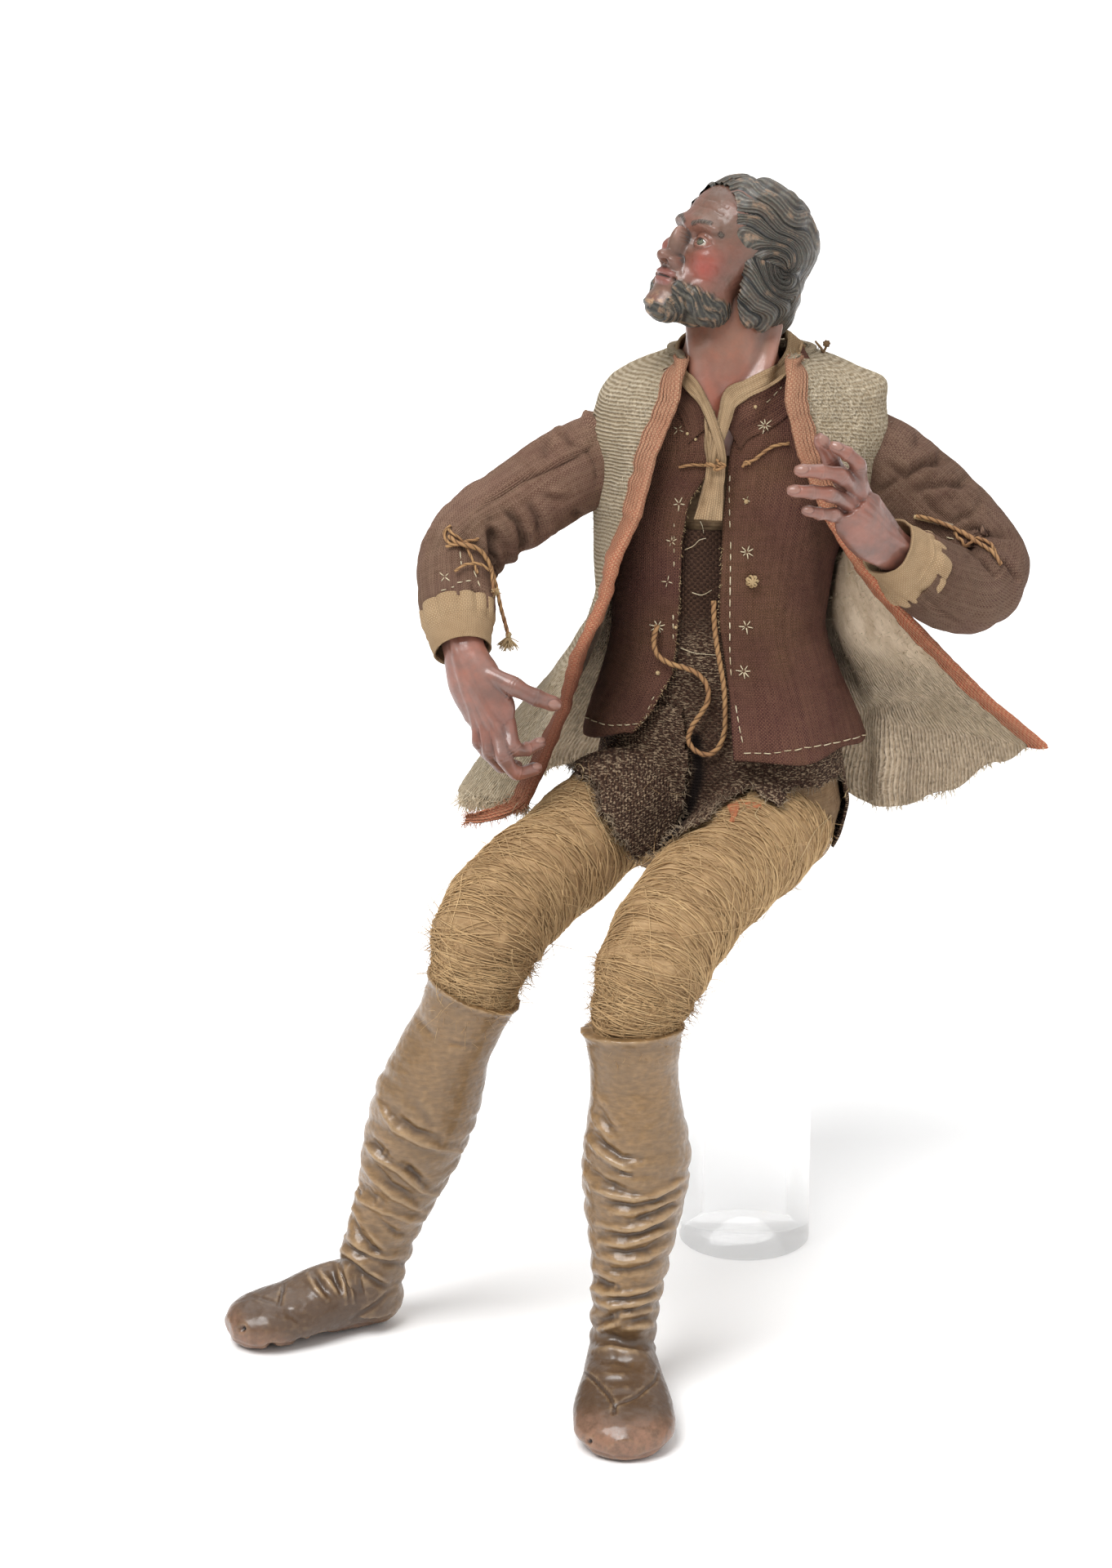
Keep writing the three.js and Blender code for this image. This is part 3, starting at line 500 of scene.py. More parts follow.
def makeWeave():
    # plain weave over UV in metres: warp and weft threads that pass over and under each other
    tree, start, end = newGroup(
        "weave",
        [
            ("UV", "NodeSocketVector", None),
            ("Pitch", "NodeSocketFloat", 0.0008),
            ("Unevenness", "NodeSocketFloat", 0.25),
        ],
        [("Height", "NodeSocketFloat"), ("Weft", "NodeSocketFloat"), ("Thread", "NodeSocketFloat")],
    )
    uv = start.outputs["UV"]
    wobble = node(tree, "ShaderNodeTexNoise", in_Scale=260.0, in_Detail=2.0)
    link(tree, uv, wobble.inputs["Vector"])
    offset = times(tree, calc(tree, "SUBTRACT", wobble.outputs[0], 0.5), start.outputs["Unevenness"])
    split = tree.nodes.new("ShaderNodeSeparateXYZ")
    link(tree, uv, split.inputs[0])
    turns = []
    for axis in (0, 1):
        count = plus(tree, calc(tree, "DIVIDE", split.outputs[axis], start.outputs["Pitch"]), offset)
        turns.append(count)
    warp, weft = turns
    arcs = [calc(tree, "ABSOLUTE", calc(tree, "SINE", times(tree, t, math.pi))) for t in (warp, weft)]
    parity = calc(
        tree,
        "MODULO",
        calc(tree, "ABSOLUTE", plus(tree, calc(tree, "FLOOR", warp), calc(tree, "FLOOR", weft))),
        2.0,
    )
    over = calc(tree, "GREATER_THAN", parity, 0.5)
    under = calc(tree, "SUBTRACT", 1.0, over)
    warpHeight = times(tree, arcs[0], arcs[1])
    height = plus(tree, warpHeight, times(tree, calc(tree, "POWER", arcs[0], 2.0), 0.25))
    link(tree, height, end.inputs["Height"])
    link(tree, over, end.inputs["Weft"])
    cell = tree.nodes.new("ShaderNodeCombineXYZ")
    link(tree, plus(tree, times(tree, calc(tree, "FLOOR", warp), under), 0.5), cell.inputs[0])
    link(tree, plus(tree, times(tree, calc(tree, "FLOOR", weft), over), 0.5), cell.inputs[1])
    white = node(tree, "ShaderNodeTexWhiteNoise", noise_dimensions="2D")
    link(tree, cell.outputs[0], white.inputs["Vector"])
    link(tree, white.outputs["Value"], end.inputs["Thread"])
    return tree


def makeGrime():
    # broad stains and fine dust, from object coordinates
    tree, start, end = newGroup(
        "grime",
        [("Coordinates", "NodeSocketVector", None), ("Scale", "NodeSocketFloat", 60.0)],
        [("Stain", "NodeSocketFloat"), ("Dust", "NodeSocketFloat")],
    )
    broad = node(tree, "ShaderNodeTexNoise", in_Detail=5.0, in_Roughness=0.62)
    fine = node(tree, "ShaderNodeTexNoise", in_Detail=3.0, in_Roughness=0.7)
    for made, factor in ((broad, 1.0), (fine, 9.0)):
        link(tree, start.outputs["Coordinates"], made.inputs["Vector"])
        link(tree, times(tree, start.outputs["Scale"], factor), made.inputs["Scale"])
    link(tree, ramp(tree, broad.outputs[0], 0.35, 0.68), end.inputs["Stain"])
    link(tree, ramp(tree, fine.outputs[0], 0.3, 0.7), end.inputs["Dust"])
    return tree


weaveGroup = makeWeave()
grimeGroup = makeGrime()


def newMaterial(name, roughness, specular=0.5):
    made = bpy.data.materials.new(name)
    made.use_nodes = True
    tree = made.node_tree
    shader = tree.nodes["Principled BSDF"]
    shader.inputs["Roughness"].default_value = roughness
    shader.inputs["Specular IOR Level"].default_value = specular
    coordinates = tree.nodes.new("ShaderNodeTexCoord")
    return made, tree, shader, coordinates


def groupNode(tree, group, **values):
    made = tree.nodes.new("ShaderNodeGroup")
    made.node_tree = group
    for key, value in values.items():
        if isinstance(value, (int, float)):
            made.inputs[key].default_value = value
        else:
            tree.links.new(value, made.inputs[key])
    return made


def addBump(tree, shader, height, distance):
    made = tree.nodes.new("ShaderNodeBump")
    made.inputs["Distance"].default_value = distance
    previous = shader.inputs["Normal"].links
    if previous:
        tree.links.new(previous[0].from_socket, made.inputs["Normal"])
    tree.links.new(height, made.inputs["Height"])
    tree.links.new(made.outputs[0], shader.inputs["Normal"])


def wovenCloth(name, dark, light, stain, pitch, depth, contrast, stainShare=0.5, uneven=0.6, faded=None):
    # cloth with two colours of thread, uneven dye and some dust; the pits of the weave are painted darker as
    # shade, and a mask paints shade into folds and where other cloth shades it, and darkens some whole parts
    made, tree, shader, coordinates = newMaterial(name, 0.92, 0.15)
    weave = groupNode(tree, weaveGroup, UV=coordinates.outputs["UV"], Pitch=pitch, Unevenness=uneven)
    grime = groupNode(tree, grimeGroup, Coordinates=coordinates.outputs["Object"], Scale=55.0)
    mixed = mix(tree, weave.outputs["Weft"], dark, light)
    if faded:
        # large patches where the dye has gone another way
        areas = ramp(tree, speckle(tree, coordinates.outputs["Object"], 24.0, 3.0), 0.44, 0.58)
        mixed = mix(tree, times(tree, areas, 0.6), mixed, faded)
    threads = mix(tree, times(tree, weave.outputs["Thread"], contrast), mixed, light)
    stained = mix(tree, times(tree, grime.outputs["Stain"], stainShare), threads, stain)
    pits = ramp(tree, weave.outputs["Height"], 0.0, 0.7)
    shaded = mix(tree, times(tree, calc(tree, "SUBTRACT", 1.0, pits), 0.6), stained, (0.03, 0.016, 0.012))
    # painted shade from the mask: folds, and cloth in the shade of other cloth, go darker
    wearAndShade = mix(tree, times(tree, attribute(tree, "wearAndShade"), 0.8), shaded, (0.02, 0.01, 0.008))
    dusty = mix(tree, times(tree, grime.outputs["Dust"], 0.18), wearAndShade, light)
    link(tree, dusty, shader.inputs["Base Color"])
    addBump(tree, shader, weave.outputs["Height"], depth)
    return made


# Laces: plaited cords that end in the cloth; their routes are those of the solids

laces = {
    "frontLace": {
        "node": "front_lace",
        "diameter": 1.6,
        "route": [
            (-28.4, -17.5, 200.4), (-29.4, -18.4, 196), (-28.4, -19.4, 192), (-25, -20.2, 189.6),
            (-21, -20.4, 188.4), (-17, -20.8, 186.8), (-14, -21.6, 183.4), (-13.6, -22.2, 179),
            (-15.6, -22.6, 175), (-18.2, -23, 171), (-19.2, -23.6, 167), (-17, -24.8, 164.2),
            (-13.4, -25.6, 163.4), (-10.4, -25.4, 165.6), (-8.8, -24.8, 170), (-8.6, -24, 176),
            (-9, -23, 183), (-10.2, -22, 190), (-11.4, -21.2, 197), (-12, -20.9, 203),
            (-12.2, -20.8, 208.6),
        ],
    },
    "rightSleeveLace": {
        "node": "right_sleeve_lace",
        "diameter": 1.3,
        "route": [
            (-88.6, -24.8, 229), (-86.2, -27.6, 227.8), (-83.2, -28, 227), (-79.8, -26.8, 225.4),
            (-77.4, -26.4, 222), (-76, -26.8, 218), (-74.8, -27.4, 213.4), (-73.8, -27.8, 208.6),
            (-72.6, -27.8, 204), (-71.6, -27.8, 200),
        ],
    },
    "leftSleeveLace": {
        "node": "left_sleeve_lace",
        "diameter": 1.3,
        "route": [
            (46.4, -14.8, 232.4), (50.6, -16.4, 231.8), (54.6, -17.6, 230.6), (58.6, -19, 229),
            (62.2, -21.4, 227.2), (65.4, -24, 225.8), (68.2, -26.6, 224.2), (70, -28.6, 221.6),
        ],
    },
}


def plait(name, path, diameter, sides=12, lay=2.6):
    # a tube along the path whose two strands wind round each other
    path = np.asarray(path, dtype=float)
    steps = np.linalg.norm(np.diff(path, axis=0), axis=1)
    run = np.concatenate([[0], np.cumsum(steps)])
    ahead = unitRows(np.gradient(path, axis=0))
    side = unitRows(np.cross(ahead, [0.21, 0.42, 0.88]))
    up = np.cross(ahead, side)
    verts, faces, turns = [], [], []
    for k, point in enumerate(path):
        for j in range(sides):
            a = 2 * math.pi * j / sides
            wave = abs(math.cos(a - math.pi * run[k] / lay))
            r = diameter / 2 * (0.72 + 0.28 * wave**0.7)
            verts.append(point + side[k] * r * math.cos(a) + up[k] * r * math.sin(a))
            turns.append(wave)
    for k in range(len(path) - 1):
        for j in range(sides):
            a, b = k * sides + j, k * sides + (j + 1) % sides
            faces.append((a, b, b + sides, a + sides))
    faces.append(tuple(reversed(range(sides))))
    faces.append(tuple((len(path) - 1) * sides + j for j in range(sides)))
    data = bpy.data.meshes.new(name)
    data.from_pydata((np.asarray(verts) * mm).tolist(), [], faces)
    obj = bpy.data.objects.new(name, data)
    bpy.context.collection.objects.link(obj)
    keep(obj, "relief", turns)
    cleanMesh(obj, 0.0001)
    return obj


def laceMaterial():
    made, tree, shader, coordinates = newMaterial("laceCord", 0.8, 0.2)
    grime = groupNode(tree, grimeGroup, Coordinates=coordinates.outputs["Object"], Scale=150.0)
    base = mix(tree, grime.outputs["Stain"], (0.38, 0.22, 0.10), (0.25, 0.125, 0.06))
    shaded = mix(tree, ramp(tree, attribute(tree, "relief"), 0.1, 0.6), (0.08, 0.04, 0.02), base)
    link(tree, shaded, shader.inputs["Base Color"])
    addBump(tree, shader, speckle(tree, coordinates.outputs["Object"], 2200.0), 0.00015)
    return made


laceCord = laceMaterial()


def makeLaces():
    for name, lace in laces.items():
        count = int(np.linalg.norm(np.diff(lace["route"], axis=0), axis=1).sum() / 0.4)
        path = spline(lace["route"], np.linspace(0, 1, count))
        obj = plait(name, path, lace["diameter"])
        finishPiece(obj, name, laceCord, "lace_cord", lace["node"])


makeLaces()
print("laces made")


# The clear post

def clearMaterial():
    made, _, shader, _ = newMaterial("clearAcrylic", 0.02)
    shader.inputs["Base Color"].default_value = (0.985, 0.992, 0.995, 1)
    shader.inputs["Transmission Weight"].default_value = 1.0
    shader.inputs["IOR"].default_value = 1.49
    shader.inputs["Alpha"].default_value = 0.45
    return made


post = {"radius": 20.0, "height": 117.65, "chamfer": 0.8, "sides": 128}


def makePost():
    deselect()
    bpy.ops.mesh.primitive_cylinder_add(
        vertices=post["sides"],
        radius=post["radius"] * mm,
        depth=post["height"] * mm,
        location=(0, 0, post["height"] / 2 * mm),
    )
    obj = bpy.context.active_object
    bpy.ops.object.transform_apply(location=True, rotation=True, scale=True)
    edge = obj.modifiers.new("edge", "BEVEL")
    edge.width = post["chamfer"] * mm
    edge.segments = 3
    edge.limit_method = "ANGLE"
    applyModifiers(obj)
    finishPiece(obj, "clearPost", clearMaterial(), "clear_acrylic", "clear_post")
    bpy.ops.object.shade_smooth_by_angle(angle=math.radians(35))


makePost()
print("post made")


# Thighs: flax tow bound round with thread, open at the hip and round at the knee

thighs = {
    "right": {
        "front": (-0.5, -0.1, 1),
        "route": [
            (-26, 4, 139, 15, 15), (-41, -18, 142, 16.4, 15.6), (-57.6, -48, 138, 16, 15.6),
            (-71.5, -72, 133.5, 15.8, 15.8), (-77.5, -82, 127, 15.2, 15.2), (-80, -84, 118, 13, 13),
            (-82.5, -84, 105, 9.8, 9.8),
        ],
    },
    "left": {
        "front": (-0.4, -0.1, 1),
        "route": [
            (10, -6, 137, 15, 15), (0, -30, 136.5, 16.4, 15.6), (-13, -60, 136, 16, 15.6),
            (-24.5, -88, 132.5, 15.6, 15.4), (-31.5, -103, 124.5, 14.8, 14.8), (-35, -107, 115, 12.6, 12.6),
            (-36.5, -108, 104, 9.8, 9.8),
        ],
    },
}
tow = {"sides": 110, "rings": 140, "wraps": 230, "stepsPerWrap": 24, "across": 700, "loose": 420,
    "kneeTufts": 1150}


def towMaterial(name="flaxTow", dark=(0.24, 0.14, 0.065), light=(0.60, 0.42, 0.23)):
    made, tree, shader, coordinates = newMaterial(name, 0.85, 0.2)
    grime = groupNode(tree, grimeGroup, Coordinates=coordinates.outputs["Object"], Scale=38.0)
    fibres = speckle(tree, stretched(tree, coordinates.outputs["UV"], (90.0, 1500.0, 1.0)), 1.0, 4.0, 0.65)
    share = plus(tree, times(tree, ramp(tree, fibres, 0.36, 0.62), 0.55),
        times(tree, attribute(tree, "tone"), 0.45))
    colour = mix(tree, share, dark, light)
    aged = mix(tree, times(tree, grime.outputs["Stain"], 0.4), colour, (0.31, 0.18, 0.085))
    dusty = mix(tree, times(tree, grime.outputs["Dust"], 0.2), aged, (0.56, 0.40, 0.225))
    link(tree, dusty, shader.inputs["Base Color"])
    addBump(tree, shader, fibres, 0.0006)
    return made


flaxTow = towMaterial()
flaxThread = towMaterial("flaxThread", (0.31, 0.18, 0.08), (0.76, 0.55, 0.30))
towTuft = towMaterial("towTuft", (0.15, 0.075, 0.03), (0.52, 0.34, 0.165))


def fuzz(origins, ways, lengths, curl, points=5, sag=0.0):
    # short curling fibres from the points, each bending its own way
    paths = []
    for origin, way, length in zip(origins, ways, lengths):
        step = length / (points - 1)
        here, heading, path = np.array(origin, dtype=float), np.array(way,
            dtype=float), [np.array(origin, dtype=float)]
        twist = dice.normal(0, curl, 3)
        for _ in range(points - 1):
            heading = heading + twist * 0.5 + dice.normal(0, curl * 0.5, 3) + (0, 0, -sag)
            heading /= np.linalg.norm(heading)
            here = here + heading * step
            path.append(here.copy())
        paths.append(path)
    return paths


def makeThigh(side):
    data = thighs[side]
    route, front = data["route"], data["front"]

    def place(angle, along):
        lump = 0.35 * sin(along * 40 + 2 * sin(angle))
        return limbPoints(route, front, angle, along, 0.1 + lump)

    body = ball(tow["sides"], tow["rings"], place, (96, 150))
    points = places(body)
    relief = 0.5 * rumple(points, 7, 1) + 0.3 * rumple(points, 2.2, 2)
    setPlaces(body, points + normals(body) * relief[:, None])
    finishPiece(body, side + "Thigh", flaxTow, "flax_tow", "tow_body")
    # threads wound round it, each lap at its own slant
    paths, widths = [], []
    for k in range(tow["wraps"] + tow["across"]):
        # whole laps first, then short lengths that cross them at wider angles
        short = k >= tow["wraps"]
        along = dice.uniform(0.03, 0.99) if short else (k
            + dice.uniform(-0.8, 0.8)) / tow["wraps"] * 0.95 + 0.03
        slant = dice.normal(0, 0.09 if short else 0.03)
        turn = dice.uniform(0, 2 * math.pi)
        reach = dice.uniform(0.12, 0.3) if short else dice.uniform(0.6, 1.1)
        angle = turn + np.linspace(0, 2 * math.pi * reach, 9 if short else tow["stepsPerWrap"])
        share = np.clip(along + slant * sin(angle + turn) + 0.006 * sin(3 * angle + turn), 0, 1)
        raised = 0.35 + 0.35 * sin(share * 40 + 2 * sin(angle)) + dice.uniform(-0.2, 0.45)
        paths.append(limbPoints(route, front, angle, share, raised))
        widths.append(dice.uniform(0.16, 0.34) if short else dice.uniform(0.2, 0.62))
    fibres(side + "ThighThreads", flaxThread, "flax_tow", paths, widths, 0.8, 3)
    # loose fibres lie along the skin, and stand up in tufts at the knee
    points, ways = places(body), normals(body)
    chosen = dice.integers(0, len(points), tow["loose"])
    lying = unitRows(np.cross(ways[chosen], dice.normal(0, 1, (tow["loose"], 3)))) + 0.25 * ways[chosen]
    paths = fuzz(points[chosen], lying, dice.uniform(4, 13, tow["loose"]), 0.32)
    fibres(side + "ThighFibres", flaxThread, "flax_tow", paths, dice.uniform(0.12, 0.24, len(paths)), 0.4)
    knee = np.asarray(route[5][:3])
    near = np.flatnonzero(np.linalg.norm(points - knee, axis=1) < 18.5)
    chosen = dice.choice(near, tow["kneeTufts"])
    standing = unitRows(np.cross(ways[chosen], dice.normal(0, 1,
        (tow["kneeTufts"], 3)))) + ways[chosen] * dice.uniform(0.1, 0.9, (tow["kneeTufts"], 1))
    paths = fuzz(points[chosen], standing, dice.uniform(1.8, 6, tow["kneeTufts"]), 0.5)
    fibres(side + "KneeTufts", towTuft, "flax_tow", paths, dice.uniform(0.14, 0.3, len(paths)), 0.4)


for side in ("right", "left"):
    makeThigh(side)
print("thighs made")


# Legs: carved stockings in loose folds and soft shoes, painted

legs = {
    "right": {
        "front": (-0.8, -0.6, 0),
        "slant": 1,
        # ridges and grooves that the camera sees: height, width, points
        "folds": [
            (-0.35, 4, (513, 1248), (528, 1267)), (-0.3, 4, (545, 1276), (581, 1282)),
                (-0.45, 7, (503, 1348), (520, 1368), (535, 1388)),
            (0.7, 4.5, (463, 1343), (470, 1361), (484, 1382), (514, 1398), (537, 1405), (564, 1409)),
            (-0.9, 6, (482, 1366), (509, 1386), (537, 1396)),
                (0.65, 4, (441, 1391), (463, 1418), (488, 1433), (518, 1458), (537, 1463)),
            (-0.7, 5, (452, 1395), (470, 1413)), (-0.8, 5, (495, 1427), (520, 1449)),
                (0.6, 4, (440, 1420), (461, 1446), (482, 1465), (521, 1484)),
            (-0.75, 4.5, (453, 1424), (478, 1451), (507, 1467)),
                (0.6, 4, (432, 1452), (442, 1469), (469, 1483), (501, 1494), (520, 1493)),
            (-0.9, 6, (437, 1448), (453, 1465), (464, 1472)),
                (0.6, 3.5, (430, 1474), (438, 1486), (444, 1500)),
            (-0.9, 4.5, (431, 1489), (438, 1511), (454, 1529), (471, 1537)),
                (0.55, 4, (446, 1498), (457, 1514), (470, 1529)),
            (-0.55, 4, (463, 1495), (486, 1511), (505, 1513)),
                (0.5, 4, (421, 1512), (437, 1525), (457, 1538), (476, 1541), (497, 1535)),
            (-0.6, 4, (423, 1521), (438, 1534), (469, 1546), (493, 1548)),
                (0.5, 4, (417, 1530), (432, 1541), (454, 1557), (475, 1571)),
            (-0.8, 4.5, (412, 1538), (429, 1547), (448, 1563), (474, 1576)),
                (0.6, 3.5, (423, 1546), (429, 1572), (432, 1594)),
            (0.55, 3.5, (414, 1550), (420, 1572), (423, 1596)), (-0.6, 3.5, (407, 1552), (417, 1580)),
                (-0.5, 3.5, (437, 1556), (444, 1590)),
            (0.45, 3.5, (377, 1561), (386, 1578), (400, 1592)),
                (0.45, 3.5, (391, 1557), (405, 1573), (415, 1588)),
            (-0.5, 3.5, (386, 1560), (400, 1585)), (-0.5, 3.5, (400, 1553), (414, 1572)),
                (-0.5, 3, (483, 1578), (462, 1597), (431, 1616)),
            (-0.45, 2, (348, 1572), (345, 1584), (342, 1597)),
                (-0.25, 2.5, (342, 1597), (322, 1590), (305, 1587)), (-0.3, 6, (345, 1604), (375, 1618)),
        ],
        "nail": (297, 1627),
        "shaft": [
            (-81, -84, 113, 13, 13), (-83, -83.6, 108, 12.6, 12.6), (-87, -82, 98.5, 12.2, 12.2),
            (-91, -80, 88, 13.4, 14), (-95.2, -77.8, 75, 14.6, 15.4), (-99.2, -75, 61.5, 13.6, 14.6),
            (-103.4, -72, 47, 11.2, 12), (-108, -69, 33, 9.4, 10.4), (-111.8, -67, 20, 9, 10.2),
            (-114, -66, 7, 8.8, 10),
        ],
        "foot": [
            (-104.4, -60.6, 7, 4, 4), (-107.6, -62, 8, 7.8, 8), (-116, -65.6, 10.4, 9, 10.6),
            (-125, -69.4, 10.2, 10.4, 10.2), (-135, -73.6, 8, 12.2, 8.4), (-144, -77.2, 6.8, 12.4, 7.6),
            (-150, -79.8, 6.2, 9, 6), (-153, -81, 5.8, 4, 3.4),
        ],
    },
    "left": {
        "front": (0, -1, 0),
        "slant": -1,
        "folds": [
            (0.3, 5, (731, 1340), (741, 1353)), (0.45, 5, (726, 1361), (736, 1381), (749, 1394)),
                (-0.6, 6, (733, 1362), (749, 1384)),
            (0.65, 4.5, (720, 1392), (736, 1413), (761, 1429), (779, 1439)),
                (-0.7, 4.5, (724, 1386), (740, 1403), (761, 1417), (784, 1419)),
            (-0.5, 3.5, (757, 1434), (778, 1440)), (0.8, 4.5, (715, 1437), (726, 1453), (749, 1463),
                (776, 1468), (801, 1463), (822, 1454), (843, 1438)),
            (-0.8, 5, (719, 1430), (740, 1448), (761, 1456)),
                (-0.7, 4.5, (736, 1473), (776, 1478), (803, 1472), (834, 1455)),
            (0.5, 4, (749, 1485), (776, 1486)), (0.5, 4, (795, 1479), (824, 1468), (840, 1453)),
                (-0.8, 4.5, (772, 1496), (804, 1487), (823, 1475)),
            (0.65, 4, (732, 1498), (761, 1505), (783, 1505), (811, 1492), (837, 1469)),
                (-0.8, 4.5, (737, 1511), (767, 1515), (789, 1511), (831, 1491)),
            (0.65, 4, (735, 1521), (765, 1525), (793, 1516), (824, 1503)),
                (-0.75, 4.5, (738, 1530), (767, 1535), (793, 1530), (818, 1514)),
            (0.6, 4, (734, 1539), (763, 1546), (791, 1541), (822, 1522)),
                (-0.7, 4, (742, 1555), (770, 1557), (797, 1550), (815, 1539)),
            (-0.9, 5, (727, 1566), (741, 1574), (754, 1577)),
                (0.65, 4, (724, 1577), (740, 1584), (767, 1584), (789, 1579), (808, 1570)),
            (-0.7, 4, (748, 1590), (770, 1592), (795, 1586), (808, 1578)),
                (0.55, 4, (726, 1592), (747, 1600), (770, 1599), (804, 1590)),
            (-0.6, 4, (759, 1606), (782, 1604), (804, 1595)), (-0.8, 5, (730, 1619), (752, 1612)),
                (0.5, 4, (763, 1611), (804, 1602)),
            (-0.6, 4.5, (771, 1619), (800, 1613)), (0.55, 4, (736, 1628), (756, 1621)),
                (0.5, 4, (764, 1627), (798, 1623)),
            (-0.9, 6, (741, 1634), (763, 1642), (790, 1648)),
                (0.55, 4.5, (725, 1655), (749, 1651), (770, 1655), (790, 1658)),
            (-0.8, 6.5, (728, 1663), (753, 1662), (778, 1669)), (0.4, 5, (735, 1683), (770, 1686)),
                (0.3, 5, (745, 1700), (775, 1700)),
            (-0.5, 1.8, (713, 1678), (728, 1689), (745, 1707), (753, 1721)),
                (-0.4, 1.8, (806, 1678), (803, 1690), (782, 1708), (754, 1721)),
            (-0.6, 1.8, (753, 1721), (752, 1730)),
        ],
        "nail": (721, 1766),
        "shaft": [
            (-36.5, -108, 110, 13.4, 13.4), (-36.2, -108.5, 104, 13, 13), (-36, -109, 95, 12, 12.2),
            (-35.5, -109, 83, 13.8, 14.2), (-35.3, -109, 71, 15, 15.8), (-36, -109.5, 58, 13.8, 14.6),
            (-37, -110.5, 42, 11, 12), (-38.2, -111.5, 28, 9.4, 10.6), (-39, -112, 16, 9, 10.4),
            (-39.4, -112, 6, 9, 10.4),
        ],
        "foot": [
            (-39.4, -99, 8, 4, 4), (-39.4, -102.5, 8.6, 8.4, 8.4), (-39.4, -113, 11, 9.8, 11),
            (-39.2, -124, 10, 11.4, 10.4), (-39, -136, 7.6, 13.9, 8.6), (-38.9, -147, 6, 14, 7.4),
            (-38.9, -154, 5, 10.5, 5.6), (-38.9, -157.5, 4.6, 4.5, 3.2),
        ],
    },
}
stocking = {"folds": 16, "depth": 1.1, "drawn": 1.75, "flare": 1.3, "voxel": 0.58, "wall": 2.2, "socket": 9}


def bootMaterial():
    made, tree, shader, coordinates = newMaterial("paintedWood", 0.42, 0.45)
    at = coordinates.outputs["Object"]
    grime = groupNode(tree, grimeGroup, Coordinates=at, Scale=45.0)
    relief = attribute(tree, "relief")
    streaks = speckle(tree, stretched(tree, at, (320.0, 320.0, 1100.0)), 1.0, 4.0)
    base = mix(tree, ramp(tree, streaks, 0.35, 0.65), (0.165, 0.094, 0.037), (0.262, 0.15, 0.06))
    toned = mix(tree, times(tree, grime.outputs["Stain"], 0.55), base, (0.15, 0.09, 0.04))
    shoe = mix(tree, times(tree, attribute(tree, "shoe"), 0.85), toned, (0.052, 0.023, 0.0095))
    # painted shade in the hollows of the folds
    hollow = ramp(tree, relief, 0.15, -0.7)
    deep = mix(tree, times(tree, hollow, 0.85), shoe, (0.055, 0.031, 0.017))
    # the ridges of the folds are lighter: partly rubbed paint, partly painted highlight
    ridge = times(tree, ramp(tree, relief, 0.1, 0.7), ramp(tree, grime.outputs["Dust"], -0.6, 0.8))
    wearAndShade = mix(tree, times(tree, ridge, 0.7), deep, (0.40, 0.27, 0.145))
    toe = times(tree, attribute(tree, "toe"), ramp(tree, grime.outputs["Dust"], -0.3, 0.8))
    final = mix(tree, times(tree, toe, 0.7), wearAndShade, (0.30, 0.15, 0.09))
    # the nail hole is painted near black, as shade in it
    pierced = mix(tree, attribute(tree, "hole"), final, (0.006, 0.004, 0.003))
    link(tree, pierced, shader.inputs["Base Color"])
    link(tree, ramp(tree, grime.outputs["Dust"], -0.7, 1.7), shader.inputs["Roughness"])
    addBump(tree, shader, speckle(tree, at, 900.0, 4.0), 0.0001)
    shader.inputs["Coat Weight"].default_value = 0.5
    shader.inputs["Coat Roughness"].default_value = 0.22
    return made


paintedWood = bootMaterial()


